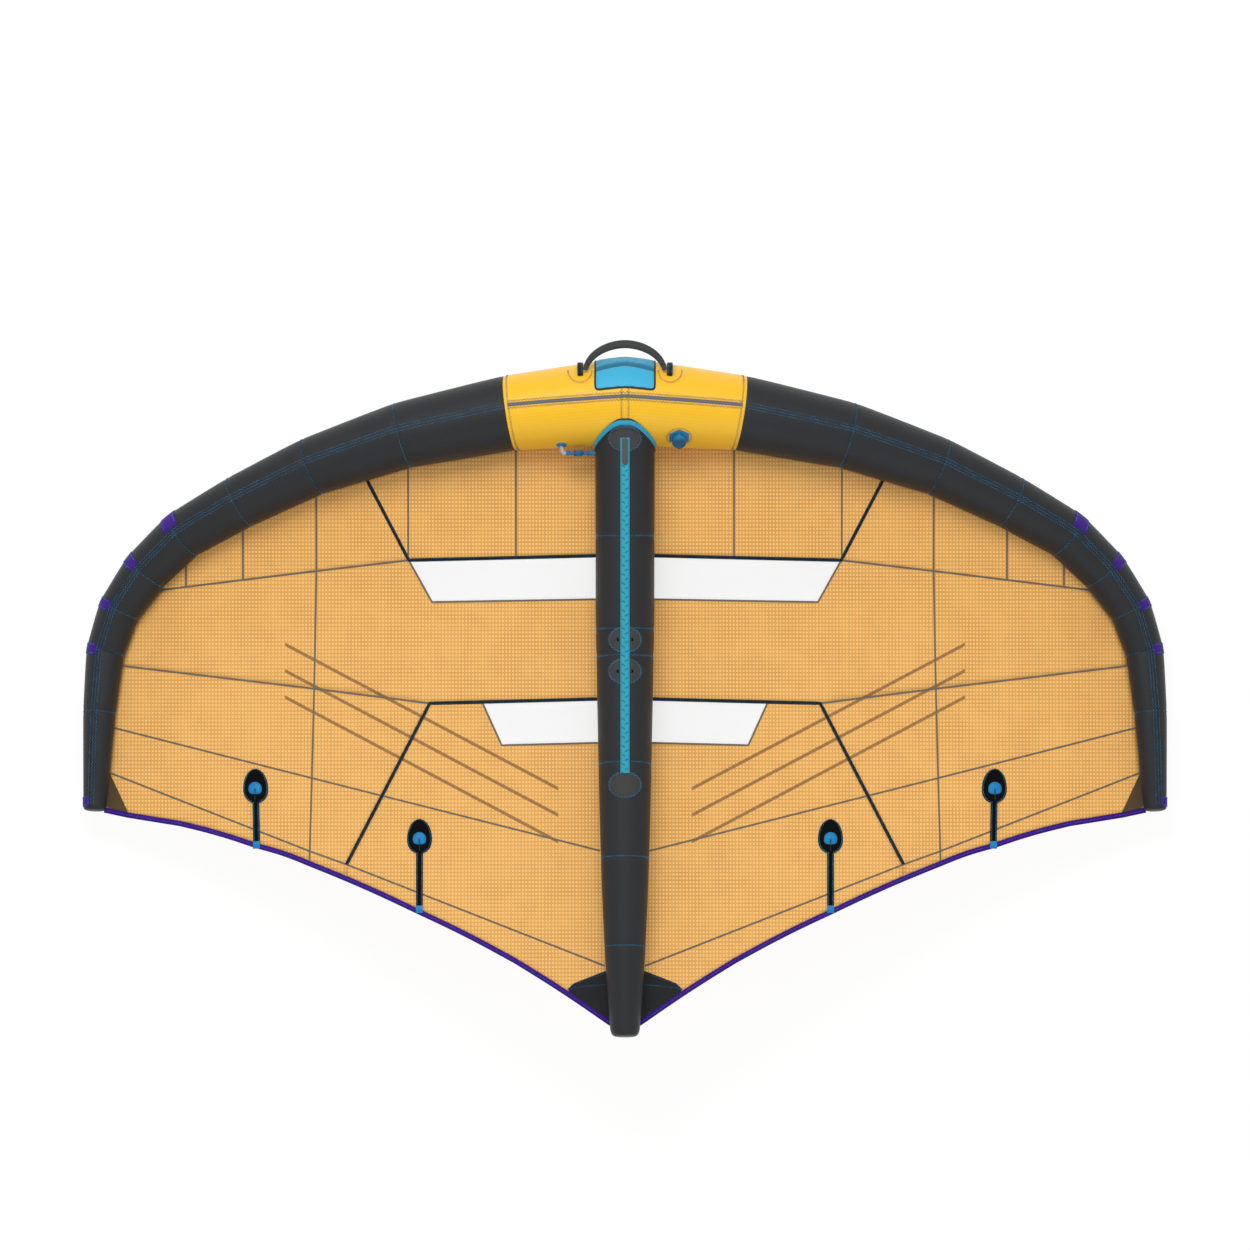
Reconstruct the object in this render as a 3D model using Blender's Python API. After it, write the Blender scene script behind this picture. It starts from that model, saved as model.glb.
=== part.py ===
"""Inflatable wing for wingfoiling, lying strut side up on its two tip tubes.

Metres, +Z up. The leading edge faces +Y, the span runs along X, and the origin is at the
middle of the footprint on the floor. Every piece is one named object with its own material.
"""
import math

import bmesh
import bpy
import numpy as np
from mathutils import Matrix, Vector

# Overall sizes
HALF_SPAN = 1.586
CHORD = 1.899
LE_RADIUS = 0.132
DIHEDRAL_DROP = 0.275
STRUT_RADIUS = 0.0895
STRUT_LIFT = 0.032
STRUT_CAMBER = 0.150
CANOPY_BILLOW = 0.095
TRAILING_LIFT = 0.120
WASHOUT_DROP = 0.345

# Walls and clearances
SLEEVE_WALL = 0.0015
BLADDER_WALL = 0.0006
BLADDER_GAP = 0.0005
JOINT_GAP = 0.0004
SEAM_GAP = 0.0004
SEAT_GAP = 0.0004
CLOTH_SEAT_GAP = 0.0008
CANOPY_THICKNESS = 0.0015
WINDOW_THICKNESS = 0.0010
HEM_THICKNESS = 0.0020
OVERCUT = 0.012
MERGE_DISTANCE = 0.00005

# Leading edge stations from the middle to a tip: reach, sweep, radius and drop
LE_REACH_SHARES = (0.0, 0.218, 0.419, 0.591, 0.729, 0.837, 0.908, 0.958, 0.984, 0.995, 1.0)
LE_SWEEP_SHARES = (0.0, 0.018, 0.053, 0.102, 0.158, 0.210, 0.268, 0.329, 0.395, 0.491, 0.640)
LE_RADIUS_SHARES = (1.0, 0.866, 0.768, 0.675, 0.620, 0.575, 0.545, 0.486, 0.441, 0.386, 0.314)
LE_DROP_SHARES = (0.0, 0.099, 0.253, 0.451, 0.637, 0.813, 0.956, 0.984, 1.0, 0.905, 0.790)
SLEEVE_PANELS = (("inner", 1, 3), ("middle", 3, 5), ("bend", 5, 8), ("tip", 8, 10))
TIP_BULGE_SHARE = 0.34
TUBE_SIDES = 24
DOME_STEPS = 3

# Strut stations from the leading edge to the tail: place, radius and rise
STRUT_PLACE_SHARES = (0.0, 0.212, 0.359, 0.403, 0.572, 0.720, 0.859, 0.981)
STRUT_RADIUS_SHARES = (1.0, 0.997, 0.989, 0.970, 0.896, 0.820, 0.696, 0.510)
STRUT_RISE_SHARES = (0.0, 0.0, 0.050, 0.090, 0.320, 0.600, 0.830, 1.0)
STRUT_TAIL_SHARE = 0.019
STRUT_BLADDER_START_SHARE = 0.077
STRUT_BLADDER_NOSE_SHARE = 0.007

# Canopy: where it leaves the tube, its camber and its washout
ATTACH_DEPTH_SHARE = 0.45
CAMBER_PEAK_SHARE = 0.36
BILLOW_EXPONENT = 0.85
WASHOUT_EXPONENT = 1.3
CELL_WIDTH = 0.105
CELL_LENGTH = 0.110

# Seams as reach and sweep shares, from the middle line outwards
FRONT_SEAM_SHARES = ((0.0, 0.242), (0.409, 0.250), (0.584, 0.267), (0.723, 0.281),
                     (0.831, 0.292), (0.880, 0.297))
REAR_SEAM_SHARES = ((0.0, 0.468), (0.270, 0.474), (0.369, 0.476), (0.588, 0.453),
                    (0.951, 0.417))
FRONT_WINDOW_SHARES = ((0.0, 0.242), (0.409, 0.250), (0.365, 0.316), (0.0, 0.311))
REAR_WINDOW_SHARES = ((0.0, 0.468), (0.270, 0.474), (0.233, 0.542), (0.0, 0.537))
TRAILING_SHARES = ((0.998, 0.640), (0.940, 0.656), (0.842, 0.670), (0.696, 0.705),
                   (0.596, 0.733), (0.388, 0.809), (0.208, 0.885), (0.028, 0.983),
                   (0.0, 0.990))
BRACE_HEM_INDEX = 4
FRONT_SEAM_STATION = 6
REAR_SEAM_STATION = 8
TIP_STATION = 10
HEM_WIDTH = 0.016

# Grab handle on the nose of the leading edge
HANDLE_HALF_SPAN = 0.119
HANDLE_FORWARD = 0.093
HANDLE_REACH = 0.078
HANDLE_WIDTH = 0.025
HANDLE_THICKNESS = 0.015
HANDLE_FOOT_SHARE = 0.50
HANDLE_SWELL_EXPONENT = 0.6
HANDLE_LIFT = 0.0105
HANDLE_POINTS = 18
HANDLE_SIDES = 10
TAB_LENGTH = 0.016
TAB_WIDTH = 0.034
TAB_HEIGHT = 0.019
TAB_GAP = 0.0004
HANDLE_PATCH_RADIUS = 0.039
HANDLE_PATCH_THICKNESS = 0.0010
HANDLE_PATCH_SET = 0.026

# Nose pad
PAD_WIDTH = 0.178
PAD_BACK = 0.044
PAD_THICKNESS = 0.005
PAD_BELOW_SHARE = 0.30
PAD_CORNER = 0.010

# Strut collar, patches and strap
COLLAR_RADIUS = 0.0050
COLLAR_CLEAR = 0.0009
COLLAR_START_DEG = -25.0
COLLAR_POINTS = 31
COLLAR_SIDES = 8
STRUT_PATCH_LENGTH = 0.081
STRUT_PATCH_WIDTH = 0.102
STRUT_PATCH_THICKNESS = 0.0020
STRUT_PATCH_SHARES = (("front", 0.0585), ("middle_front", 0.3753), ("middle_rear", 0.4250),
                      ("rear", 0.6035))
SCREW_HOLE_RADIUS = 0.0040
SCREW_HOLE_PITCH = 0.040
STRAP_WIDTH = 0.0276
STRAP_THICKNESS = 0.0018
STRAP_START = 0.109
STRAP_LENGTH = 1.002
TONGUE_WIDTH = 0.018
TONGUE_LENGTH = 0.081
TONGUE_THICKNESS = 0.0020
TONGUE_CORNER_SHARE = 0.45
ROUND_POINTS = 24
HOLE_POINTS = 10
CORNER_STEPS = 4

# Inflation valve behind the nose, right of the strut
VALVE_REACH = 0.162
VALVE_ANGLE_DEG = 41.0
VALVE_FLANGE_RADIUS = 0.034
VALVE_FLANGE_HEIGHT = 0.005
VALVE_BODY_RADIUS = 0.019
VALVE_BODY_HEIGHT = 0.014
VALVE_STEM_RADIUS = 0.014
VALVE_STEM_DEPTH = 0.012
VALVE_CAP_RADIUS = 0.021
VALVE_CAP_HEIGHT = 0.006
VALVE_CAP_EDGE_SHARE = 0.7
VALVE_CAP_TOP_SHARE = 0.8
VALVE_HINGE_RADIUS = 0.0025
VALVE_HOLE_GAP = 0.0006
HEX_SIDES = 6

# Air hose from the leading edge to the strut, left of the strut
HOSE_STANDOFF = 0.0233
HOSE_RADIUS = 0.0050
HOSE_BORE = 0.0035
LE_PORT_REACH = 0.190
PORT_RADIUS = 0.0075
PORT_FLANGE_RADIUS = 0.016
PORT_FLANGE_HEIGHT = 0.004
PORT_DEPTH = 0.008
PORT_ELBOW_LENGTH = 0.013
STRUT_PORT_LENGTH = 0.016
HOSE_SAG = 0.0016
HOSE_STEPS = 10
ROD_SIDES = 12
ELBOW_RISE_SHARE = 0.8
ELBOW_TURN_SHARE = 0.35
CLIP_REACH = 0.138
CLIP_LENGTH = 0.031
CLIP_WIDTH = 0.019
CLIP_WALL = 0.0035
CLIP_GAP = 0.0005
CLIP_POST = 0.0050

# Battens at the trailing edge: reach and sweep shares of the wide end and of the foot
BATTENS = (("left_outer", -1), ("left_inner", -1), ("right_inner", 1), ("right_outer", 1))
BATTEN_HEAD_SHARES = {"outer": (0.699, 0.580), "inner": (0.388, 0.659)}
BATTEN_FOOT_SHARES = {"outer": (0.696, 0.702), "inner": (0.388, 0.803)}
EGG_WIDTH = 0.075
EGG_LENGTH = 0.102
EGG_WIDEST_SHARE = 0.60
EGG_POINTS = 14
POCKET_WIDTH = 0.020
POCKET_THICKNESS = 0.0012
BATTEN_WIDTH = 0.009
BATTEN_THICKNESS = 0.0010
BATTEN_INSET = 0.012
DOME_RADIUS = 0.0200
DOME_HEIGHT = 0.006
DOME_SIDES = 20
DOME_RINGS = 4

UP = Vector((0.0, 0.0, 1.0))
FRONT_REACH = HANDLE_FORWARD + HANDLE_REACH + HANDLE_WIDTH / 2
LE_Y = (CHORD - FRONT_REACH) / 2


def linear(value):
    """Return one 8-bit sRGB channel as a linear value."""
    share = value / 255.0
    return share / 12.92 if share <= 0.04045 else ((share + 0.055) / 1.055) ** 2.4


def material(name, colour, roughness, metallic=0.0):
    """Return a Principled material of the given 8-bit colour."""
    made = bpy.data.materials.new(name)
    made.use_nodes = True
    shader = made.node_tree.nodes["Principled BSDF"]
    shader.inputs["Base Color"].default_value = (*[linear(part) for part in colour], 1.0)
    shader.inputs["Roughness"].default_value = roughness
    shader.inputs["Metallic"].default_value = metallic
    return made


def make_finishes():
    """Return the materials by name."""
    table = {
        "nose_cloth": ((253, 209, 55), 0.55),
        "tube_cloth": ((52, 54, 57), 0.60),
        "bladder_film": ((205, 214, 216), 0.35),
        "canopy_cloth": ((236, 180, 100), 0.60),
        "window_film": ((240, 243, 245), 0.15),
        "hem_tape": ((55, 5, 120), 0.60),
        "patch_cloth": ((29, 30, 33), 0.65),
        "pad_foam": ((75, 187, 226), 0.60),
        "strap_web": ((41, 169, 199), 0.70),
        "handle_grip": ((60, 61, 61), 0.70),
        "tongue_cloth": ((82, 80, 82), 0.70),
        "blue_plastic": ((26, 128, 185), 0.35),
        "dark_plastic": ((10, 80, 125), 0.35),
        "clear_hose": ((120, 165, 185), 0.25),
        "batten_glass": ((25, 25, 27), 0.40),
    }
    return {name: material(name, colour, rough) for name, (colour, rough) in table.items()}


def add_object(name, mesh, finish=None, origin=(0.0, 0.0, 0.0), carrier=None):
    """Put a mesh in the scene with its own origin, and hang it on its carrier."""
    start = Vector(origin)
    if start.length:
        mesh.transform(Matrix.Translation(-start))
    made = bpy.data.objects.new(name, mesh)
    bpy.context.scene.collection.objects.link(made)
    made.location = start
    if finish:
        mesh.materials.append(finish)
    if carrier:
        made.parent = carrier
    return made


def cutter(name, mesh):
    """Return a hidden cutter."""
    made = add_object(name, mesh)
    made.hide_render = True
    made.display_type = "WIRE"
    return made


def cut(target, tool, operation="DIFFERENCE"):
    """Add a live Boolean to the target."""
    step = target.modifiers.new(tool.name, "BOOLEAN")
    step.operation = operation
    step.solver = "EXACT"
    step.object = tool


def mesh_from(name, points, faces):
    """Return a mesh of points and faces with its normals facing out."""
    mesh = bpy.data.meshes.new(name)
    mesh.from_pydata([tuple(point) for point in points], [], faces)
    shaped = bmesh.new()
    shaped.from_mesh(mesh)
    bmesh.ops.recalc_face_normals(shaped, faces=shaped.faces[:])
    shaped.to_mesh(mesh)
    shaped.free()
    return mesh


def smooth(made, angle_deg=35.0):
    """Shade round faces smooth and keep the crisp edges."""
    made.data.shade_smooth()
    made.data.set_sharp_from_angle(angle=math.radians(angle_deg))
    return made


def circle_angles(sides):
    """Return the corner angles of a ring that has flats at its top and bottom."""
    return [(step + 0.5) * 2.0 * math.pi / sides for step in range(sides)]


def ring(centre, tangent, radius, sides=TUBE_SIDES):
    """Return the corners of one ring square to its tangent."""
    side = UP.cross(tangent).normalized()
    top = tangent.cross(side).normalized()
    return [centre + side * (radius * math.cos(angle)) + top * (radius * math.sin(angle))
            for angle in circle_angles(sides)]


def tangents_of(centres):
    """Return the bisecting direction at each station of a path."""
    made = []
    for index, centre in enumerate(centres):
        before = centre - centres[index - 1] if index else None
        after = centres[index + 1] - centre if index + 1 < len(centres) else None
        parts = [part.normalized() for part in (before, after) if part is not None]
        made.append(sum(parts, Vector()).normalized())
    return made


class Tube:
    """A straight-sided inflated tube: stations, radii and the directions of its rings."""

    def __init__(self, centres, radii, bulge_start=0.0, bulge_end=0.0):
        self.centres = centres
        self.radii = radii
        self.tangents = tangents_of(centres)
        self.bulge_start = bulge_start
        self.bulge_end = bulge_end

    def rings(self, first, last, inset, trim_start=0.0, trim_end=0.0):
        """Return the rings from one station to another, drawn in by an inset."""
        made = []
        for index in range(first, last + 1):
            centre = self.centres[index].copy()
            if index == first and trim_start:
                centre += (self.centres[index + 1] - centre).normalized() * trim_start
            if index == last and trim_end:
                centre += (self.centres[index - 1] - centre).normalized() * trim_end
            made.append(ring(centre, self.tangents[index], self.radii[index] - inset))
        return made

    def dome(self, index, inset, outward):
        """Return the shrinking rings of a rounded end."""
        bulge = (self.bulge_end if outward > 0 else self.bulge_start) - inset
        made = []
        for step in range(1, DOME_STEPS + 1):
            turn = step / (DOME_STEPS + 1) * math.pi / 2
            part = math.sin(turn) / math.sin(DOME_STEPS / (DOME_STEPS + 1) * math.pi / 2)
            centre = self.centres[index] + self.tangents[index] * (outward * bulge * part)
            radius = (self.radii[index] - inset) * math.cos(turn)
            made.append(ring(centre, self.tangents[index], radius))
        return made


def side_faces(base, sides, inward):
    """Return the triangles between one ring and the next, facing out or in."""
    made = []
    for side in range(sides):
        follow = (side + 1) % sides
        corner = base + sides + follow
        halves = ((base + side, base + follow, corner), (base + side, corner, base + sides + side))
        made.extend(half[::-1] if inward else half for half in halves)
    return made


def end_faces(rows, sides, at_end, closed):
    """Return the faces of one end: a cap on each wall, or the rim between two walls."""
    made = []
    if closed or len(rows) == 1:
        for inward, row in enumerate(rows):
            cap = tuple(range(row, row + sides))
            made.append(cap if at_end != bool(inward) else cap[::-1])
        return made
    for side in range(sides):
        follow = (side + 1) % sides
        rim = (rows[0] + side, rows[0] + follow, rows[1] + follow, rows[1] + side)
        made.append(rim if at_end else rim[::-1])
    return made


def loft(name, rings_out, rings_in, close_start, close_end):
    """Return the mesh of the wall between outer rings and inner rings, or of a solid."""
    sides = len(rings_out[0])
    points = []
    faces = []
    starts = []
    walls = [rings for rings in (rings_out, rings_in) if rings]
    for inward, rings in enumerate(walls):
        starts.append(len(points))
        points.extend(corner for one in rings for corner in one)
        for row in range(len(rings) - 1):
            faces += side_faces(starts[-1] + row * sides, sides, bool(inward))
    ends = [start + (len(rings) - 1) * sides for start, rings in zip(starts, walls)]
    faces += end_faces(starts, sides, False, close_start)
    faces += end_faces(ends, sides, True, close_end)
    mesh = bpy.data.meshes.new(name)
    mesh.from_pydata([tuple(point) for point in points], [], faces)
    return mesh


def tube_wall(name, tube, first, last, inset, wall, domes=(False, False), trims=(0.0, 0.0)):
    """Return the mesh of a hollow tube wall, with rounded ends where asked."""
    outer = tube.rings(first, last, inset, *trims)
    inner = tube.rings(first, last, inset + wall, *trims)
    if domes[0]:
        outer = tube.dome(first, inset, -1)[::-1] + outer
        inner = tube.dome(first, inset + wall, -1)[::-1] + inner
    if domes[1]:
        outer = outer + tube.dome(last, inset, 1)
        inner = inner + tube.dome(last, inset + wall, 1)
    return loft(name, outer, inner, domes[0], domes[1])


def tube_solid(name, tube, inset):
    """Return the mesh of the whole tube as one solid, for cutting."""
    rings = tube.rings(0, len(tube.centres) - 1, inset)
    if tube.bulge_start:
        rings = tube.dome(0, inset, -1)[::-1] + rings
    if tube.bulge_end:
        rings = rings + tube.dome(len(tube.centres) - 1, inset, 1)
    return loft(name, rings, [], True, True)


def leading_tube(base_height):
    """Return the leading edge tube from the left tip to the right tip."""
    centres = []
    radii = []
    last = len(LE_REACH_SHARES) - 1
    for index in range(-last, last + 1):
        station = abs(index)
        side = -1 if index < 0 else 1
        centres.append(Vector((side * HALF_SPAN * LE_REACH_SHARES[station],
                               LE_Y - CHORD * LE_SWEEP_SHARES[station],
                               base_height - DIHEDRAL_DROP * LE_DROP_SHARES[station])))
        radii.append(LE_RADIUS * LE_RADIUS_SHARES[station])
    bulge = radii[0] * TIP_BULGE_SHARE
    return Tube(centres, radii, bulge, bulge)


def resting_height():
    """Return the height of the nose axis that sets the lowest tube facet on the floor."""
    tube = leading_tube(0.0)
    rings = tube.rings(0, len(tube.centres) - 1, 0.0)
    return -min(corner.z for one in rings for corner in one)


LE_Z = resting_height()
LE = leading_tube(LE_Z)
MIDDLE = len(LE_REACH_SHARES) - 1
STRUT_Z = LE_Z + STRUT_LIFT


def le_at(reach):
    """Return the axis point and radius of the leading edge at a reach from the middle."""
    shares = np.array(LE_REACH_SHARES) * HALF_SPAN
    away = abs(reach)
    y = LE_Y - CHORD * float(np.interp(away, shares, LE_SWEEP_SHARES))
    z = LE_Z - DIHEDRAL_DROP * float(np.interp(away, shares, LE_DROP_SHARES))
    radius = LE_RADIUS * float(np.interp(away, shares, LE_RADIUS_SHARES))
    return Vector((reach, y, z)), radius


def strut_tube():
    """Return the strut from inside the leading edge to its tail."""
    centres = [Vector((0.0, LE_Y - CHORD * place, STRUT_Z + STRUT_CAMBER * rise))
               for place, rise in zip(STRUT_PLACE_SHARES, STRUT_RISE_SHARES)]
    radii = [STRUT_RADIUS * share for share in STRUT_RADIUS_SHARES]
    return Tube(centres, radii, 0.0, CHORD * STRUT_TAIL_SHARE)


STRUT = strut_tube()


def strut_keel():
    """Return the places and heights of the line along the strut's lowest flat."""
    last = len(STRUT.centres) - 1
    rings = STRUT.rings(0, last, 0.0) + STRUT.dome(last, 0.0, 1)
    corners = [min(one, key=lambda corner: corner.z) for one in rings]
    return [corner.y for corner in corners], [corner.z for corner in corners]


KEEL_PLACES, KEEL_HEIGHTS = strut_keel()


def underside(y):
    """Return the height of the strut's lowest flat at a place along Y."""
    return float(np.interp(y, KEEL_PLACES[::-1], KEEL_HEIGHTS[::-1]))


def plan(share, side=1):
    """Return the plan place of a reach and sweep share."""
    return side * HALF_SPAN * share[0], LE_Y - CHORD * share[1]


def front_edge(away):
    """Return the sweep and height where the canopy leaves the tube at a reach."""
    shares = np.array(LE_REACH_SHARES) * HALF_SPAN
    sweep = CHORD * float(np.interp(away, shares, LE_SWEEP_SHARES))
    drop = DIHEDRAL_DROP * float(np.interp(away, shares, LE_DROP_SHARES))
    radius = LE_RADIUS * float(np.interp(away, shares, LE_RADIUS_SHARES))
    return sweep + radius, LE_Z - drop - ATTACH_DEPTH_SHARE * radius


def rear_edge(away):
    """Return the sweep and height of the trailing edge at a reach."""
    reach = np.array([point[0] for point in TRAILING_SHARES][::-1]) * HALF_SPAN
    sweep = np.array([point[1] for point in TRAILING_SHARES][::-1]) * CHORD
    part = min(away / HALF_SPAN, 1.0)
    height = LE_Z + TRAILING_LIFT - WASHOUT_DROP * part ** WASHOUT_EXPONENT
    return float(np.interp(away, reach, sweep)), height


def base_height(away, sweep):
    """Return the straight line from the tube to the trailing edge, and the place on it."""
    front, front_z = front_edge(away)
    rear, rear_z = rear_edge(away)
    part = (sweep - front) / max(rear - front, LE_RADIUS)
    part = min(max(part, 0.0), 1.0)
    return front_z + (rear_z - front_z) * part, part


def camber(part):
    """Return the share of the billow along the chord, one at its peak."""
    peak = CAMBER_PEAK_SHARE
    if part < peak:
        return 1.0 - (1.0 - part / peak) ** 2
    return 1.0 - ((part - peak) / (1.0 - peak)) ** 2


def canopy_top(x, y):
    """Return the height of the canopy's strut side: chord line, billow and strut curve."""
    away = abs(x)
    sweep = LE_Y - y
    height, part = base_height(away, sweep)
    reach = min(away / HALF_SPAN, 1.0)
    billow = CANOPY_BILLOW * math.sin(math.pi * reach ** BILLOW_EXPONENT) * camber(part)
    middle_change = underside(y) - SEAT_GAP - base_height(0.0, sweep)[0]
    return height - billow + middle_change * (1.0 - reach) ** 2


def grid_places(low, high, cell):
    """Return evenly spaced cutting places between two limits."""
    count = max(int(round((high - low) / cell)), 1)
    return [low + (high - low) * step / count for step in range(1, count)]


def drawn_in(outline, inset):
    """Return a plan outline, running anticlockwise, with every edge moved inwards."""
    made = []
    count = len(outline)
    for index, here in enumerate(outline):
        place = Vector(here)
        before = (place - Vector(outline[index - 1])).normalized()
        after = (Vector(outline[(index + 1) % count]) - place).normalized()
        first = Vector((-before.y, before.x))
        second = Vector((-after.y, after.x))
        moved = place + (first + second) * (inset / (1.0 + first.dot(second)))
        made.append((moved.x, moved.y))
    return made


def cloth_mesh(name, outline, lift, thickness, cells=(CELL_WIDTH, CELL_LENGTH),
               inset=SEAM_GAP / 2):
    """Return a cloth piece: a plan outline, diced and laid on the canopy's height."""
    area = sum(a[0] * b[1] - b[0] * a[1] for a, b in zip(outline, outline[1:] + outline[:1]))
    corners = drawn_in(outline if area > 0 else outline[::-1], inset)
    shaped = bmesh.new()
    shaped.faces.new([shaped.verts.new((x, y, 0.0)) for x, y in corners])
    dice(shaped, cells)
    bmesh.ops.triangulate(shaped, faces=shaped.faces[:])
    return raise_cloth(name, shaped, lift, thickness)


def dice(shaped, cells):
    """Cut a flat shape along even lines of X and Y, and at the strut's stations."""
    xs = [vert.co.x for vert in shaped.verts]
    ys = [vert.co.y for vert in shaped.verts]
    columns = grid_places(min(xs), max(xs), cells[0])
    cuts = [((place, 0.0, 0.0), (1.0, 0.0, 0.0)) for place in columns]
    rows = grid_places(min(ys), max(ys), cells[1])
    if min(abs(x) for x in xs) < STRUT_RADIUS:
        rows += KEEL_PLACES
    cuts += [((0.0, place, 0.0), (0.0, 1.0, 0.0)) for place in rows]
    for place, normal in cuts:
        geometry = shaped.verts[:] + shaped.edges[:] + shaped.faces[:]
        bmesh.ops.bisect_plane(shaped, geom=geometry, dist=MERGE_DISTANCE, plane_co=place,
                               plane_no=normal)


def raise_cloth(name, shaped, lift, thickness):
    """Return the diced shape as a closed sheet over the canopy's height."""
    shaped.verts.index_update()
    count = len(shaped.verts)
    lower = [Vector((v.co.x, v.co.y, canopy_top(v.co.x, v.co.y) + lift)) for v in shaped.verts]
    points = lower + [point + UP * thickness for point in lower]
    faces = []
    for face in shaped.faces:
        corners = [vert.index for vert in face.verts]
        faces.append(tuple(corners[::-1]))
        faces.append(tuple(corner + count for corner in corners))
    for edge in shaped.edges:
        if len(edge.link_faces) == 1:
            first, second = (vert.index for vert in edge.verts)
            faces.append((first, second, second + count, first + count))
    shaped.free()
    return mesh_from(name, points, faces)


def prism_mesh(name, outlines, low, high):
    """Return upright prisms over plan outlines, for cutting."""
    points = []
    faces = []
    for outline in outlines:
        start = len(points)
        count = len(outline)
        points += [(x, y, low) for x, y in outline] + [(x, y, high) for x, y in outline]
        faces.append(tuple(range(start, start + count)))
        faces.append(tuple(range(start + count, start + 2 * count)))
        for side in range(count):
            follow = (side + 1) % count
            faces.append((start + side, start + follow, start + count + follow,
                          start + count + side))
    return mesh_from(name, points, faces)


def ellipse(centre, half_x, half_y, points=ROUND_POINTS, start_deg=0.0, sweep_deg=360.0):
    """Return points round an ellipse or along a part of it."""
    full = sweep_deg >= 360.0
    count = points if full else points + 1
    made = []
    for step in range(count):
        angle = math.radians(start_deg + sweep_deg * step / points)
        made.append((centre[0] + half_x * math.cos(angle), centre[1] + half_y * math.sin(angle)))
    return made


def rounded_box(centre, half_x, half_y, corner, steps=CORNER_STEPS):
    """Return a rectangle with round corners."""
    made = []
    for quarter, (sx, sy) in enumerate(((1, 1), (-1, 1), (-1, -1), (1, -1))):
        middle = (centre[0] + sx * (half_x - corner), centre[1] + sy * (half_y - corner))
        made += ellipse(middle, corner, corner, steps, 90.0 * quarter, 90.0)
    return made


def skin_piece(name, tube, first, last, lift, thickness, prisms, finish, carrier):
    """Return a piece cut to an outline out of a thin skin that lies on a tube."""
    wall = tube_wall(name, tube, first, last, -(lift + thickness), thickness)
    made = add_object(name, wall, finish, carrier=carrier)
    cut(made, cutter(name + "_outline", prisms), "INTERSECT")
    return made


def turned(name, profile, sides, place, axis, turn=0.0):
    """Return a solid turned from a profile of radius and height pairs about an axis."""
    frame = axis.to_track_quat("Z", "Y").to_matrix().to_4x4()
    frame.translation = place
    points = []
    for radius, height in profile:
        for step in range(sides):
            angle = turn + 2.0 * math.pi * step / sides
            across = Vector((radius * math.cos(angle), radius * math.sin(angle), height))
            points.append(frame @ across)
    faces = [tuple(range(sides)), tuple(range(len(points) - sides, len(points)))]
    for row in range(len(profile) - 1):
        for step in range(sides):
            follow = (step + 1) % sides
            base = row * sides
            faces.append((base + step, base + follow, base + sides + follow, base + sides + step))
    return mesh_from(name, points, faces)


def swept(name, path, widths, heights, sides, upright):
    """Return a solid of oval section carried along a path, with flat ends."""
    points = []
    directions = tangents_of(path)
    for centre, direction, width, height in zip(path, directions, widths, heights):
        side = upright.cross(direction).normalized()
        top = direction.cross(side).normalized()
        for step in range(sides):
            angle = (step + 0.5) * 2.0 * math.pi / sides
            points.append(centre + side * (width / 2 * math.cos(angle))
                          + top * (height / 2 * math.sin(angle)))
    faces = [tuple(range(sides)), tuple(range(len(points) - sides, len(points)))]
    for row in range(len(path) - 1):
        for step in range(sides):
            follow = (step + 1) % sides
            base = row * sides
            faces.append((base + step, base + follow, base + sides + follow, base + sides + step))
    return mesh_from(name, points, faces)


def box_mesh(name, centre, half, frame=None):
    """Return a box, turned by a frame where one is given."""
    turn = frame if frame else Matrix.Identity(3)
    points = [Vector(centre) + turn @ Vector((sx * half[0], sy * half[1], sz * half[2]))
              for sx in (-1, 1) for sy in (-1, 1) for sz in (-1, 1)]
    faces = [(0, 1, 3, 2), (4, 5, 7, 6), (0, 1, 5, 4), (2, 3, 7, 6), (0, 2, 6, 4), (1, 3, 7, 5)]
    return mesh_from(name, points, faces)


def nose_surface(reach, forward, lift):
    """Return a point lifted off the front of the nose, and the direction out of the tube there."""
    axis, radius = le_at(reach)
    away = LE_Y + forward - axis.y
    rise = math.sqrt((radius + lift) ** 2 - away ** 2)
    out = Vector((0.0, away, rise)).normalized()
    return Vector((reach, LE_Y + forward, axis.z + rise)), out


def build_leading_edge(finish, carrier):
    """Make the sleeve panels, the bladder and the cutters that follow them."""
    made = {}
    half = JOINT_GAP / 2
    centre = tube_wall("le_sleeve_centre", LE, MIDDLE - 1, MIDDLE + 1, 0.0, SLEEVE_WALL,
                       trims=(half, half))
    made["centre"] = add_object("le_sleeve_centre", centre, finish["nose_cloth"], carrier=carrier)
    for side_name, side in (("left", -1), ("right", 1)):
        for panel, near, far in SLEEVE_PANELS:
            first, last = sorted((MIDDLE + side * near, MIDDLE + side * far))
            is_tip = far == MIDDLE
            domes = (is_tip and side < 0, is_tip and side > 0)
            trims = (0.0 if domes[0] else half, 0.0 if domes[1] else half)
            name = f"le_sleeve_{side_name}_{panel}"
            wall = tube_wall(name, LE, first, last, 0.0, SLEEVE_WALL, domes, trims)
            add_object(name, wall, finish["tube_cloth"], carrier=carrier)
    inset = SLEEVE_WALL + BLADDER_GAP
    bladder = tube_wall("le_bladder", LE, 0, 2 * MIDDLE, inset, BLADDER_WALL, (True, True))
    made["bladder"] = add_object("le_bladder", bladder, finish["bladder_film"], carrier=carrier)
    made["cutter"] = cutter("le_space", tube_solid("le_space", LE, -SEAT_GAP))
    return made


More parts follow.
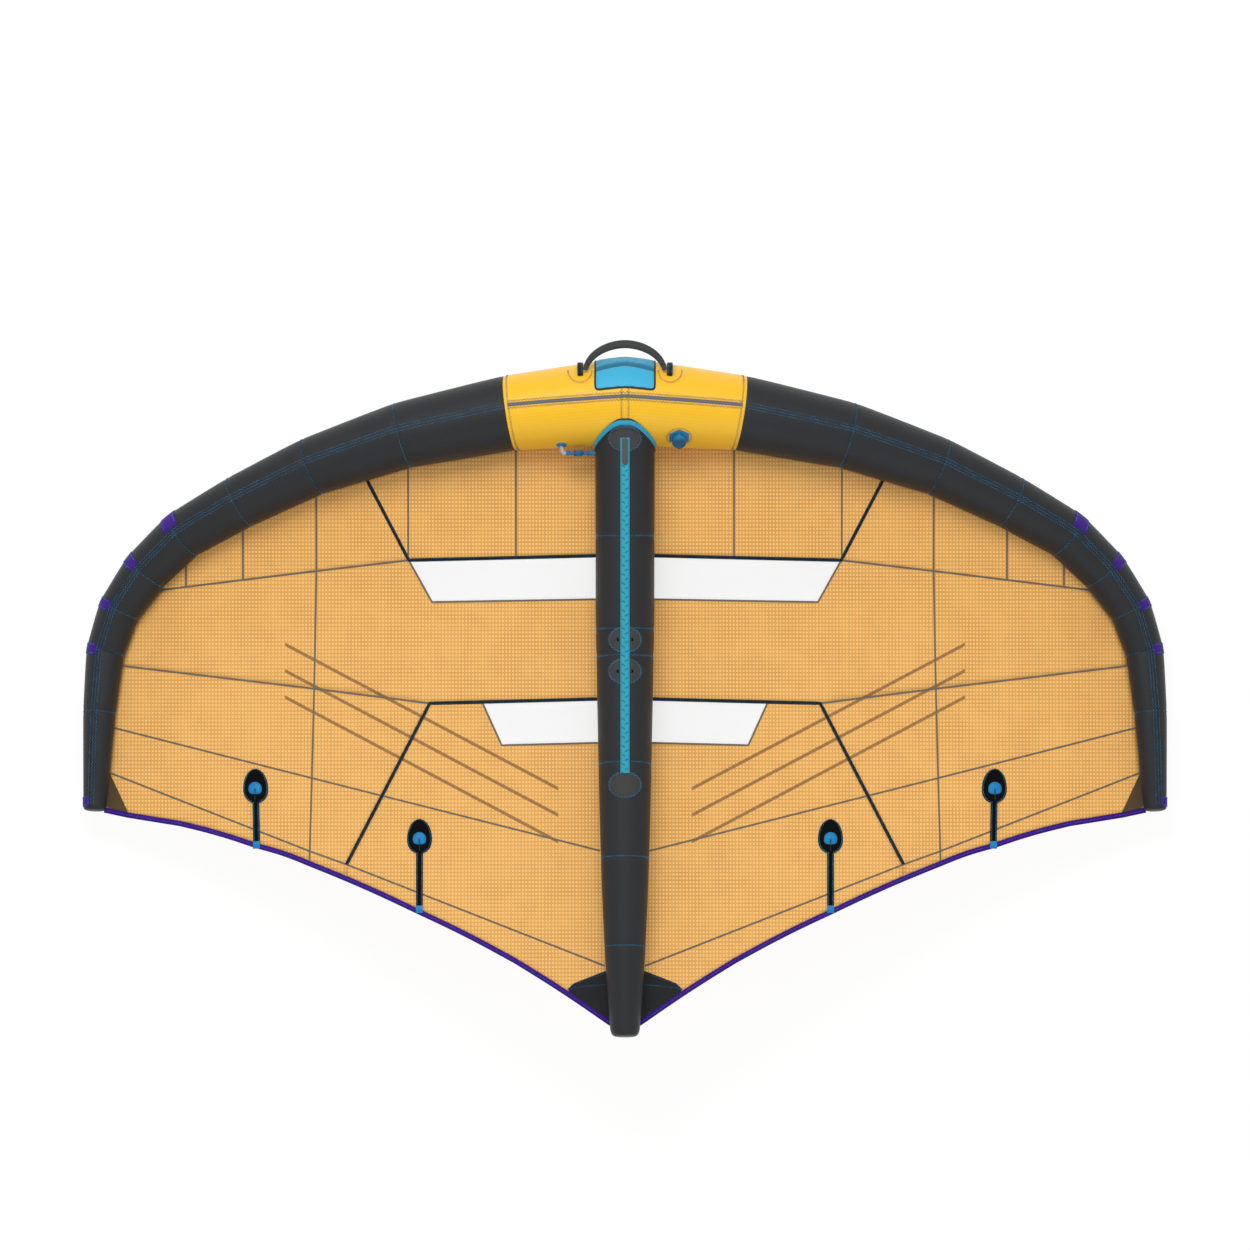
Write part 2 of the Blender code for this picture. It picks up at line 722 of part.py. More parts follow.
def build_strut(finish, carrier, le_space):
    """Make the strut's sleeve and bladder."""
    made = {}
    last = len(STRUT.centres) - 1
    sleeve = tube_wall("strut_sleeve", STRUT, 0, last, 0.0, SLEEVE_WALL, (False, True))
    made["sleeve"] = add_object("strut_sleeve", sleeve, finish["tube_cloth"], carrier=carrier)
    cut(made["sleeve"], le_space)
    start = LE_Y - CHORD * STRUT_BLADDER_START_SHARE
    nose = Vector((0.0, start, STRUT_Z))
    inner = Tube([nose] + STRUT.centres[1:], STRUT.radii, CHORD * STRUT_BLADDER_NOSE_SHARE,
                 CHORD * STRUT_TAIL_SHARE)
    inset = SLEEVE_WALL + BLADDER_GAP
    bladder = tube_wall("strut_bladder", inner, 0, last, inset, BLADDER_WALL, (True, True))
    made["bladder"] = add_object("strut_bladder", bladder, finish["bladder_film"], carrier=carrier)
    return made


def axis_line(first, last, side):
    """Return plan points along the tube's axis between two stations."""
    step = 1 if last >= first else -1
    return [plan((LE_REACH_SHARES[i], LE_SWEEP_SHARES[i]), side)
            for i in range(first, last + step, step)]


def seam(shares, side):
    """Return plan points of a seam."""
    return [plan(share, side) for share in shares]


def hem_line(side):
    """Return the upper edge of the hem, one hem width in front of the trailing edge."""
    return [(x, y + HEM_WIDTH) for x, y in seam(TRAILING_SHARES, side)]


def canopy_outlines(side):
    """Return the plan outline of each canopy panel and window of one side."""
    front = seam(FRONT_SEAM_SHARES, side)
    rear = seam(REAR_SEAM_SHARES, side)
    hem = hem_line(side)
    brace = hem[BRACE_HEM_INDEX]
    front_window = seam(FRONT_WINDOW_SHARES, side)
    rear_window = seam(REAR_WINDOW_SHARES, side)
    front_panel = axis_line(0, FRONT_SEAM_STATION, side) + front[::-1]
    side_edge = axis_line(FRONT_SEAM_STATION, REAR_SEAM_STATION, side)
    middle_panel = (front[1:] + side_edge + rear[::-1]
                    + [front_window[3], front_window[2]])
    inner = [rear_window[3], rear_window[2], rear_window[1], rear[2], brace]
    inner += hem[BRACE_HEM_INDEX + 1:]
    tip_edge = axis_line(REAR_SEAM_STATION, TIP_STATION, side)
    outer = rear[2:] + tip_edge + hem[:BRACE_HEM_INDEX + 1]
    return {"front": front_panel, "middle": middle_panel, "rear_inner": inner,
            "rear_outer": outer, "front_window": front_window, "rear_window": rear_window}


def build_canopy(finish, carrier, le_space):
    """Make the cloth panels, windows and hems."""
    for side_name, side in (("left", -1), ("right", 1)):
        for panel, outline in canopy_outlines(side).items():
            is_window = panel.endswith("window")
            thickness = WINDOW_THICKNESS if is_window else CANOPY_THICKNESS
            name = f"{panel}_{side_name}" if is_window else f"canopy_{side_name}_{panel}"
            mesh = cloth_mesh(name, outline, -thickness, thickness)
            look = finish["window_film"] if is_window else finish["canopy_cloth"]
            made = add_object(name, mesh, look, carrier=carrier)
            if panel in ("front", "middle", "rear_outer"):
                cut(made, le_space)
        trailing = seam(TRAILING_SHARES, side)
        name = f"trailing_hem_{side_name}"
        mesh = cloth_mesh(name, trailing + hem_line(side)[::-1], -HEM_THICKNESS, HEM_THICKNESS)
        made = add_object(name, mesh, finish["hem_tape"], carrier=carrier)
        cut(made, le_space)


def handle_arc():
    """Return the radius of the handle's arc and half of the angle that it turns through."""
    radius = (HANDLE_HALF_SPAN ** 2 + HANDLE_REACH ** 2) / (2 * HANDLE_REACH)
    half_turn = math.asin(HANDLE_HALF_SPAN / radius)
    return radius, math.pi - half_turn if HANDLE_REACH > radius else half_turn


def build_handle(finish, carrier, holder):
    """Make the grab handle, its sewn tabs and the patches under them."""
    foot = nose_surface(HANDLE_HALF_SPAN, HANDLE_FORWARD,
                        HANDLE_PATCH_THICKNESS + SEAT_GAP + HANDLE_LIFT)[0]
    axis_height = foot.z
    holder.location = (0.0, foot.y, axis_height)
    radius, limit = handle_arc()
    path = []
    widths = []
    heights = []
    for step in range(HANDLE_POINTS + 1):
        turn = -limit + 2 * limit * step / HANDLE_POINTS
        path.append(Vector((radius * math.sin(turn),
                            foot.y + HANDLE_REACH - radius * (1 - math.cos(turn)), axis_height)))
        rise = math.cos(turn / limit * math.pi / 2) ** HANDLE_SWELL_EXPONENT
        swell = HANDLE_FOOT_SHARE + (1 - HANDLE_FOOT_SHARE) * rise
        widths.append(HANDLE_WIDTH * swell)
        heights.append(HANDLE_THICKNESS * swell)
    grip = swept("le_handle", path, widths, heights, HANDLE_SIDES, UP)
    made = smooth(add_object("le_handle", grip, finish["handle_grip"],
                             origin=(0.0, foot.y, axis_height)))
    made.parent = holder
    made.location = (0.0, 0.0, 0.0)
    build_handle_seats(finish, carrier)


def build_handle_seats(finish, carrier):
    """Make the two tabs that hold the handle's feet and the half-round patches below them."""
    seat = tube_solid("seat", LE, -(HANDLE_PATCH_THICKNESS + 2 * SEAT_GAP))
    tab_seat = cutter("handle_tab_seat", seat)
    foot_half = HANDLE_WIDTH * HANDLE_FOOT_SHARE / 2 * math.cos(math.pi / HANDLE_SIDES)
    edge = HANDLE_HALF_SPAN + foot_half * math.sin(handle_arc()[1]) + TAB_GAP
    for side_name, side in (("left", -1), ("right", 1)):
        reach = side * (edge + TAB_LENGTH / 2)
        centre, away = nose_surface(reach, HANDLE_FORWARD,
                                    HANDLE_PATCH_THICKNESS + 3 * SEAT_GAP + TAB_HEIGHT / 2)
        slope = Vector((0.0, -away.z, away.y))
        frame = Matrix((Vector((1.0, 0.0, 0.0)), slope, away)).transposed()
        name = f"handle_tab_{side_name}"
        mesh = box_mesh(name, centre, (TAB_LENGTH / 2, TAB_WIDTH / 2, TAB_HEIGHT / 2), frame)
        tab = add_object(name, mesh, finish["patch_cloth"], carrier=carrier)
        cut(tab, tab_seat)
        middle = (side * (edge + HANDLE_PATCH_SET - TAB_LENGTH), LE_Y + HANDLE_FORWARD)
        outline = ellipse(middle, HANDLE_PATCH_RADIUS, HANDLE_PATCH_RADIUS, ROUND_POINTS,
                          180.0, 180.0)
        name = f"handle_patch_{side_name}"
        prism = prism_mesh(name, [outline], LE_Z, LE_Z + 2 * LE_RADIUS)
        skin_piece(name, LE, MIDDLE - 2, MIDDLE + 2, SEAT_GAP, HANDLE_PATCH_THICKNESS, prism,
                   finish["nose_cloth"], carrier)


def build_pad(finish, carrier):
    """Make the padded cover on the nose between the handle's feet."""
    front = LE_RADIUS + PAD_THICKNESS + OVERCUT
    centre = (0.0, LE_Y + PAD_BACK + (front - PAD_BACK) / 2)
    outline = rounded_box(centre, PAD_WIDTH / 2, (front - PAD_BACK) / 2, PAD_CORNER)
    prism = prism_mesh("pad_block", [outline], LE_Z - LE_RADIUS * PAD_BELOW_SHARE,
                       LE_Z + 2 * LE_RADIUS)
    skin_piece("nose_pad", LE, MIDDLE - 1, MIDDLE + 1, SEAT_GAP, PAD_THICKNESS, prism,
               finish["pad_foam"], carrier)


def build_collar(finish, carrier):
    """Make the piping along the line where the strut meets the leading edge."""
    away = COLLAR_RADIUS + COLLAR_CLEAR
    strut_reach = STRUT_RADIUS + away
    sweep = 180.0 - 2 * COLLAR_START_DEG
    path = []
    for step in range(COLLAR_POINTS):
        angle = math.radians(COLLAR_START_DEG + sweep * step / (COLLAR_POINTS - 1))
        x = strut_reach * math.cos(angle)
        z = STRUT_Z + strut_reach * math.sin(angle)
        axis, radius = le_at(x)
        depth = max((radius + away) ** 2 - (z - axis.z) ** 2, 0.0)
        path.append(Vector((x, axis.y - math.sqrt(depth), z)))
    size = [2 * COLLAR_RADIUS] * COLLAR_POINTS
    mesh = swept("strut_collar", path, size, size, COLLAR_SIDES, Vector((0.0, 1.0, 0.0)))
    smooth(add_object("strut_collar", mesh, finish["strap_web"], carrier=carrier))


def strut_prism(name, outlines):
    """Return prisms that cut the upper side of the strut and not its underside."""
    low = STRUT_Z + STRUT_RADIUS / 2
    return prism_mesh(name, outlines, low, low + STRUT_CAMBER + 3 * STRUT_RADIUS)


def build_strut_patches(finish, carrier):
    """Make the four patches on the strut, the strap that runs over them and its tongue."""
    last = len(STRUT.centres) - 1
    for label, share in STRUT_PATCH_SHARES:
        y = LE_Y - CHORD * share
        outline = ellipse((0.0, y), STRUT_PATCH_WIDTH / 2, STRUT_PATCH_LENGTH / 2)
        name = f"strut_patch_{label}"
        made = skin_piece(name, STRUT, 0, last, SEAT_GAP, STRUT_PATCH_THICKNESS,
                          strut_prism(name + "_disc", [outline]), finish["patch_cloth"], carrier)
        if label.startswith("middle"):
            holes = [ellipse((side * SCREW_HOLE_PITCH / 2, y), SCREW_HOLE_RADIUS,
                             SCREW_HOLE_RADIUS, HOLE_POINTS) for side in (-1, 1)]
            cut(made, cutter(name + "_holes", strut_prism(name + "_holes", holes)))
    lift = STRUT_PATCH_THICKNESS + 2 * SEAT_GAP
    start = LE_Y - STRAP_START
    centre = (0.0, start - STRAP_LENGTH / 2)
    strap = rounded_box(centre, STRAP_WIDTH / 2, STRAP_LENGTH / 2, STRAP_THICKNESS)
    skin_piece("strut_strap", STRUT, 0, last, lift, STRAP_THICKNESS,
               strut_prism("strap_line", [strap]), finish["strap_web"], carrier)
    centre = (0.0, start - TONGUE_LENGTH / 2)
    tongue = rounded_box(centre, TONGUE_WIDTH / 2, TONGUE_LENGTH / 2,
                         TONGUE_WIDTH * TONGUE_CORNER_SHARE)
    skin_piece("strap_tongue", STRUT, 0, last, lift + STRAP_THICKNESS + SEAT_GAP,
               TONGUE_THICKNESS, strut_prism("tongue_line", [tongue]), finish["tongue_cloth"],
               carrier)


def build_valve(finish, carrier, holder, leading):
    """Make the inflation valve: flange, body with stem, and the hinged cap."""
    axis, radius = le_at(VALVE_REACH)
    angle = math.radians(VALVE_ANGLE_DEG)
    out = Vector((0.0, -math.cos(angle), math.sin(angle)))
    seat = axis + out * radius
    along = Vector((1.0, 0.0, 0.0))
    flange = turned("valve_flange", [(VALVE_FLANGE_RADIUS, -OVERCUT),
                                     (VALVE_FLANGE_RADIUS, VALVE_FLANGE_HEIGHT)],
                    HEX_SIDES, seat, out)
    hole_radius = VALVE_STEM_RADIUS + VALVE_HOLE_GAP
    base = add_object("valve_flange", flange, finish["blue_plastic"], carrier=carrier)
    cut(base, leading["cutter"])
    hole = cutter("valve_hole", turned("valve_hole", [
        (hole_radius, -VALVE_STEM_DEPTH - OVERCUT), (hole_radius, VALVE_FLANGE_HEIGHT + OVERCUT)],
        ROUND_POINTS, seat, out))
    for piece in (base, leading["centre"], leading["bladder"]):
        cut(piece, hole)
    top = VALVE_FLANGE_HEIGHT + SEAT_GAP
    body = turned("valve_body", [(VALVE_STEM_RADIUS, -VALVE_STEM_DEPTH),
                                 (VALVE_STEM_RADIUS, top),
                                 (VALVE_BODY_RADIUS, top),
                                 (VALVE_BODY_RADIUS, top + VALVE_BODY_HEIGHT)],
                  ROUND_POINTS, seat, out)
    smooth(add_object("valve_body", body, finish["blue_plastic"], carrier=carrier))
    cap_low = top + VALVE_BODY_HEIGHT + SEAT_GAP
    cap = turned("valve_cap", [(VALVE_CAP_RADIUS, cap_low),
                               (VALVE_CAP_RADIUS, cap_low + VALVE_CAP_HEIGHT * VALVE_CAP_EDGE_SHARE),
                               (VALVE_CAP_RADIUS * VALVE_CAP_TOP_SHARE, cap_low + VALVE_CAP_HEIGHT)],
                 ROUND_POINTS, seat, out)
    beside = along * (VALVE_CAP_RADIUS + VALVE_HINGE_RADIUS)
    hinge = seat + out * (cap_low + VALVE_HINGE_RADIUS) + beside
    holder.location = hinge
    lid = smooth(add_object("valve_cap", cap, finish["dark_plastic"], origin=tuple(hinge)))
    lid.parent = holder
    lid.location = (0.0, 0.0, 0.0)


def hose_line(start, end):
    """Return the hose's path, sagging a little between its two ends."""
    made = []
    for step in range(HOSE_STEPS + 1):
        part = step / HOSE_STEPS
        dip = HOSE_SAG * math.sin(math.pi * part) ** 2
        made.append(start.lerp(end, part) - UP * dip)
    return made


def round_rod(name, path, radius, sides=ROD_SIDES):
    """Return a round rod along a path."""
    size = [2 * radius] * len(path)
    return swept(name, path, size, size, sides, UP)


def build_le_port(finish, carrier, leading):
    """Make the hose's port and elbow on the leading edge, and return the elbow's mouth."""
    axis, radius = le_at(LE_PORT_REACH)
    reach = math.sqrt(radius ** 2 - (STRUT_Z - axis.z) ** 2)
    out = Vector((0.0, -reach / radius, (STRUT_Z - axis.z) / radius))
    seat = Vector((-LE_PORT_REACH, axis.y - reach, STRUT_Z))
    corner = Vector((-LE_PORT_REACH, seat.y - HOSE_STANDOFF, STRUT_Z))
    along = Vector((PORT_ELBOW_LENGTH, 0.0, 0.0))
    flange = turned("le_port_flange", [(PORT_FLANGE_RADIUS, -OVERCUT),
                                       (PORT_FLANGE_RADIUS, PORT_FLANGE_HEIGHT)],
                    ROD_SIDES, seat, out)
    port = smooth(add_object("le_port_flange", flange, finish["blue_plastic"], carrier=carrier))
    cut(port, leading["cutter"])
    middle = seat + out * (PORT_FLANGE_HEIGHT / 2)
    rise = seat + (corner - seat) * ELBOW_RISE_SHARE
    elbow_path = [seat - out * PORT_DEPTH, middle, rise, corner + along * ELBOW_TURN_SHARE,
                  corner + along]
    elbow = round_rod("le_port_elbow", elbow_path, PORT_RADIUS)
    smooth(add_object("le_port_elbow", elbow, finish["clear_hose"], carrier=carrier))
    hole_path = [seat - out * (PORT_DEPTH + OVERCUT), middle, rise]
    hole = cutter("le_port_hole", round_rod("le_port_hole", hole_path,
                                            PORT_RADIUS + VALVE_HOLE_GAP))
    for piece in (port, leading["centre"], leading["bladder"]):
        cut(piece, hole)
    return corner + along


def build_strut_port(finish, carrier, strut, y):
    """Make the hose's port on the strut, and return its mouth."""
    inner = Vector((PORT_DEPTH - STRUT_RADIUS, y, STRUT_Z))
    outer = Vector((-STRUT_PORT_LENGTH - STRUT_RADIUS, y, STRUT_Z))
    port = round_rod("strut_port", [inner, outer], PORT_RADIUS)
    smooth(add_object("strut_port", port, finish["blue_plastic"], carrier=carrier))
    past = Vector((OVERCUT, 0.0, 0.0))
    entry = cutter("strut_port_hole", round_rod("strut_port_hole", [inner + past, outer],
                                                PORT_RADIUS + VALVE_HOLE_GAP))
    for piece in (strut["sleeve"], strut["bladder"]):
        cut(piece, entry)
    return outer


def build_hose(finish, carrier, holder, leading, strut):
    """Make the air hose, its two ports and the pinch clip on it."""
    start = build_le_port(finish, carrier, leading)
    end = build_strut_port(finish, carrier, strut, start.y)
    gap = Vector((SEAT_GAP, 0.0, 0.0))
    past = Vector((OVERCUT, 0.0, 0.0))
    path = hose_line(start + gap, end - gap)
    hose = smooth(add_object("air_hose", round_rod("air_hose", path, HOSE_RADIUS),
                             finish["clear_hose"], carrier=carrier))
    bore = [path[0] - past] + path + [path[-1] + past]
    cut(hose, cutter("air_hose_bore", round_rod("air_hose_bore", bore, HOSE_BORE)))
    build_clip(finish, carrier, holder, path)


def build_clip(finish, carrier, holder, path):
    """Make the pinch clip: a base with a post that the hose runs through, and a lever."""
    middle = min(path, key=lambda point: abs(point.x + CLIP_REACH))
    hose_z = middle.z
    y = middle.y
    left = -CLIP_REACH - CLIP_LENGTH / 2
    clear = HOSE_RADIUS + CLIP_GAP + HOSE_SAG / 2
    low = hose_z - clear - CLIP_WALL
    pin_z = hose_z + clear + CLIP_WALL / 2
    base = box_mesh("clip_base", (-CLIP_REACH, y, low + CLIP_WALL / 2),
                    (CLIP_LENGTH / 2, CLIP_WIDTH / 2, CLIP_WALL / 2))
    made = add_object("clip_base", base, finish["dark_plastic"], carrier=carrier)
    top = pin_z + CLIP_WALL / 2
    post = box_mesh("clip_post", (left + CLIP_POST / 2, y, (low + top) / 2),
                    (CLIP_POST / 2, CLIP_WIDTH / 2, (top - low) / 2))
    tool = cutter("clip_post", post)
    cut(made, tool, "UNION")
    bore = round_rod("clip_bore", path, HOSE_RADIUS + CLIP_GAP)
    cut(made, cutter("clip_bore", bore))
    start = left + CLIP_POST + CLIP_GAP
    hinge = (start, y, top)
    holder.location = hinge
    length = CLIP_LENGTH - CLIP_POST - CLIP_GAP
    lever = box_mesh("clip_lever", (start + length / 2, y, pin_z),
                     (length / 2, CLIP_WIDTH / 2, CLIP_WALL / 2))
    arm = add_object("clip_lever", lever, finish["dark_plastic"], origin=hinge)
    arm.parent = holder
    arm.location = (0.0, 0.0, 0.0)
    edge = arm.modifiers.new("round", "BEVEL")
    edge.width = CLIP_WALL / 4
    edge.segments = 1


def egg_outline(head, foot):
    """Return the egg-shaped patch with the pocket that runs from it to the trailing edge."""
    widest = head[1] - EGG_LENGTH * EGG_WIDEST_SHARE
    half = EGG_WIDTH / 2
    upper = ellipse((head[0], widest), half, EGG_LENGTH * EGG_WIDEST_SHARE, EGG_POINTS,
                    0.0, 180.0)
    low_length = EGG_LENGTH * (1.0 - EGG_WIDEST_SHARE)
    lower = ellipse((head[0], widest), half, low_length, EGG_POINTS, 180.0, 180.0)
    narrow = POCKET_WIDTH / 2
    left = [point for point in lower[1:-1] if point[0] < head[0] - narrow]
    right = [point for point in lower[1:-1] if point[0] > head[0] + narrow]
    strap = [(foot[0] - narrow, foot[1]), (foot[0] + narrow, foot[1])]
    return upper + left + strap + right


def build_battens(finish, carrier):
    """Make the four batten pockets with their battens and heel domes."""
    layer = CLOTH_SEAT_GAP + BATTEN_THICKNESS + CLOTH_SEAT_GAP
    half = BATTEN_WIDTH / 2
    for name, side in BATTENS:
        kind = name.split("_")[1]
        head = plan(BATTEN_HEAD_SHARES[kind], side)
        foot = plan(BATTEN_FOOT_SHARES[kind], side)
        pocket = cloth_mesh(f"batten_pocket_{name}", egg_outline(head, foot), layer,
                            POCKET_THICKNESS, (EGG_WIDTH / 2, EGG_LENGTH / 3), 0.0)
        add_object(f"batten_pocket_{name}", pocket, finish["patch_cloth"], carrier=carrier)
        start = head[1] - EGG_LENGTH * EGG_WIDEST_SHARE
        line = [(head[0] - half, start), (foot[0] - half, foot[1] + BATTEN_INSET),
                (foot[0] + half, foot[1] + BATTEN_INSET), (head[0] + half, start)]
        rod = cloth_mesh(f"batten_{name}", line, CLOTH_SEAT_GAP, BATTEN_THICKNESS,
                         (EGG_WIDTH, EGG_LENGTH / 3), 0.0)
        add_object(f"batten_{name}", rod, finish["batten_glass"], carrier=carrier)
        place = (head[0], head[1] - EGG_LENGTH / 2)
        build_dome(name, finish, carrier, place, layer + POCKET_THICKNESS + CLOTH_SEAT_GAP)


def surface_normal(x, y):
    """Return the direction square to the canopy at a plan place."""
    step = EGG_WIDTH / 4
    slope_x = (canopy_top(x + step, y) - canopy_top(x - step, y)) / (2 * step)
    slope_y = (canopy_top(x, y + step) - canopy_top(x, y - step)) / (2 * step)
    return Vector((-slope_x, -slope_y, 1.0)).normalized()


def build_dome(name, finish, carrier, plan_place, lift):
    """Make the low dome on the wide end of one batten pocket."""
    x, y = plan_place
    profile = []
    for step in range(DOME_RINGS):
        turn = step / DOME_RINGS * math.pi / 2
        profile.append((DOME_RADIUS * math.cos(turn), DOME_HEIGHT * math.sin(turn)))
    place = Vector((x, y, canopy_top(x, y) + lift))
    mesh = turned(f"batten_dome_{name}", profile, DOME_SIDES, place, surface_normal(x, y))
    smooth(add_object(f"batten_dome_{name}", mesh, finish["blue_plastic"], carrier=carrier))


def empty(name, carrier=None):
    """Return an empty that carries other pieces."""
    made = bpy.data.objects.new(name, None)
    bpy.context.scene.collection.objects.link(made)
    if carrier:
        made.parent = carrier
    return made


def main():
    """Clear the scene and build the wing."""
    for old in list(bpy.data.objects):
        bpy.data.objects.remove(old, do_unlink=True)
    finish = make_finishes()
    wing = empty("wing")
    leading = build_leading_edge(finish, wing)
    strut = build_strut(finish, wing, leading["cutter"])
    build_canopy(finish, wing, leading["cutter"])
    build_handle(finish, wing, empty("handle_axis", wing))
    build_pad(finish, wing)
    build_collar(finish, wing)
    build_strut_patches(finish, wing)
    build_valve(finish, wing, empty("valve_hinge", wing), leading)
    build_hose(finish, wing, empty("clip_hinge", wing), leading, strut)
    build_battens(finish, wing)


main()
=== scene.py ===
"""Looks of an inflatable wing for wingfoiling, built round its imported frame.

Metres, +Z up. The wing lies strut side up on its two tip tubes, the leading edge faces +Y and
the span runs along X. Every new piece is a surface worked out on a grid, and rides on a body.
"""

import logging
import math
from dataclasses import dataclass, field
from enum import Enum
from typing import Any, Callable, Sequence

import bmesh
import bpy
import numpy as np
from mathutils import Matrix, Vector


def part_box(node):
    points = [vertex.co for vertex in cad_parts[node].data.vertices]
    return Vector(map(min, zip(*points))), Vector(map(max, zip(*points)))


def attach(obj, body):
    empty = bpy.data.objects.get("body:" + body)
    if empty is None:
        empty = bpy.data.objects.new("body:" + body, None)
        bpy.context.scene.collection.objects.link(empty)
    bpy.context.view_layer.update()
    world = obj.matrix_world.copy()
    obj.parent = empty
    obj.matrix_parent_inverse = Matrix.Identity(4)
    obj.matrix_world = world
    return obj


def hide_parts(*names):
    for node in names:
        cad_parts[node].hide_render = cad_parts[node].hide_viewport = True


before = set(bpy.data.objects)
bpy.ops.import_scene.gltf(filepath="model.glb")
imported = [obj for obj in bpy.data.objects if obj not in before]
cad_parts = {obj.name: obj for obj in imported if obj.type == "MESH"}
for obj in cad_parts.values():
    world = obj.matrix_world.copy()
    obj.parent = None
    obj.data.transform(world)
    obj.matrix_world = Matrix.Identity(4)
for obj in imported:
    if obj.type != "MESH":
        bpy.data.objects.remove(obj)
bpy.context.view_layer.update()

LOG = logging.getLogger("wing")
Array = np.ndarray
Height = Callable[[Array, Array], Array]
UP = np.array((0.0, 0.0, 1.0))
SIDES = {"left": -1.0, "right": 1.0}
DOME_TURNS = np.pi / 2.0 * (1.0 - (1.0 - np.linspace(0.0, 1.0, 17)[1:]) ** 1.6)
SEAM_ROWS = (-0.019, -0.012, -0.007, -0.003, 0.0, 0.003, 0.007, 0.012, 0.019)


def unit(vectors: Array) -> Array:
    """Vectors divided by their own lengths."""
    return vectors / np.maximum(np.linalg.norm(vectors, axis=-1, keepdims=True), 1e-12)


def run_of(line: Array) -> Array:
    """The distance along a line at each of its points."""
    return np.concatenate([[0.0], np.cumsum(np.linalg.norm(np.diff(line, axis=0), axis=1))])


def read_at(values: Array, line: Array, shares: Array) -> Array:
    """Values given at a line's points, read at shares of its whole length.

    Args:
        values: One row for each point of the line.
        line: The points that measure the length.
        shares: Places from 0 at the start to 1 at the end.

    Returns:
        One row for each share, straight between the points.
    """
    run = run_of(line)
    at = shares * run[-1]
    return np.stack([np.interp(at, run, values[:, part]) for part in range(values.shape[1])], axis=1)


def smooth_read(at: Array, places: Array, values: Array) -> Array:
    """A cubic Hermite curve through values at given places.

    At each place the slope is that of the chord between its two neighbours, and between two
    places the value is the cubic with those end values and end slopes.

    Args:
        at: Where to read the curve, of any shape.
        places: Rising places of the stations.
        values: One row for each station.

    Returns:
        The values, with one more axis than at.
    """
    gaps = np.diff(places)
    slopes = np.empty_like(values)
    slopes[1:-1] = (values[2:] - values[:-2]) / (places[2:] - places[:-2])[:, None]
    slopes[0] = (values[1] - values[0]) / gaps[0]
    slopes[-1] = (values[-1] - values[-2]) / gaps[-1]
    index = np.clip(np.searchsorted(places, at, side="right") - 1, 0, len(gaps) - 1)
    gap = gaps[index][..., None]
    part = (at[..., None] - places[index][..., None]) / gap
    start = (2.0 * part ** 3 - 3.0 * part ** 2 + 1.0) * values[index]
    start_slope = (part ** 3 - 2.0 * part ** 2 + part) * gap * slopes[index]
    end = (3.0 * part ** 2 - 2.0 * part ** 3) * values[index + 1]
    end_slope = (part ** 3 - part ** 2) * gap * slopes[index + 1]
    return start + start_slope + end + end_slope


def eased(at: Array, low: float, high: float) -> Array:
    """A soft step: 0 below low, 1 above high and 3p squared less 2p cubed between."""
    part = np.clip((at - low) / (high - low), 0.0, 1.0)
    return part * part * (3.0 - 2.0 * part)


def grid_faces(rows: int, cols: int, wrap: bool = False) -> list[list[int]]:
    """The four-sided faces of a grid of points, row by row, closed round its columns if asked."""
    index = np.arange(rows * cols).reshape(rows, cols)
    if wrap:
        index = np.concatenate([index, index[:, :1]], axis=1)
    faces = np.stack([index[:-1, :-1], index[:-1, 1:], index[1:, 1:], index[1:, :-1]], axis=-1)
    return faces.reshape(-1, 4).tolist()


def grid_normals(grid: Array) -> Array:
    """The direction square to a grid of points, pointing up."""
    down = np.gradient(grid, axis=0)
    across = np.gradient(grid, axis=1)
    normals = unit(np.cross(across, down))
    return np.where(normals[..., 2:] < 0.0, -normals, normals)


class Stock:
    """Points and faces that are gathered into one mesh."""

    def __init__(self) -> None:
        """Start with nothing."""
        self.points: list[Array] = []
        self.faces: list[list[int]] = []
        self.uvs: list[Array] = []
        self.count = 0

    def add(self, points: Array, faces: list[list[int]], uvs: Array | None = None) -> None:
        """Add points of any grid shape, the faces between them and their cloth places.

        Args:
            points: Positions, with three values on the last axis.
            faces: Faces that count from this batch's first point.
            uvs: Cloth places in metres, with two values on the last axis.
        """
        flat = points.reshape(-1, 3)
        self.points.append(flat)
        self.faces.extend([corner + self.count for corner in face] for face in faces)
        self.uvs.append(np.zeros((len(flat), 2)) if uvs is None else uvs.reshape(-1, 2))
        self.count += len(flat)

    def mesh(self, name: str, closed: bool = True, weld: float = 1e-6) -> bpy.types.Mesh:
        """Make the mesh, merge its doubles and turn its faces out.

        Args:
            name: The mesh's name.
            closed: Whether each body is closed, so that its faces can be turned out.
            weld: How near two points merge.

        Returns:
            The mesh, with its cloth places in the UV map named Cloth.
        """
        mesh = bpy.data.meshes.new(name)
        mesh.from_pydata(np.concatenate(self.points).tolist(), [], self.faces)
        corners = np.zeros(len(mesh.loops), np.int32)
        mesh.loops.foreach_get("vertex_index", corners)
        layer = mesh.uv_layers.new(name="Cloth")
        layer.data.foreach_set("uv", np.concatenate(self.uvs)[corners].astype(np.float32).ravel())
        shaped = bmesh.new()
        shaped.from_mesh(mesh)
        bmesh.ops.remove_doubles(shaped, verts=shaped.verts[:], dist=weld)
        if closed:
            bmesh.ops.recalc_face_normals(shaped, faces=shaped.faces[:])
        shaped.to_mesh(mesh)
        shaped.free()
        return mesh


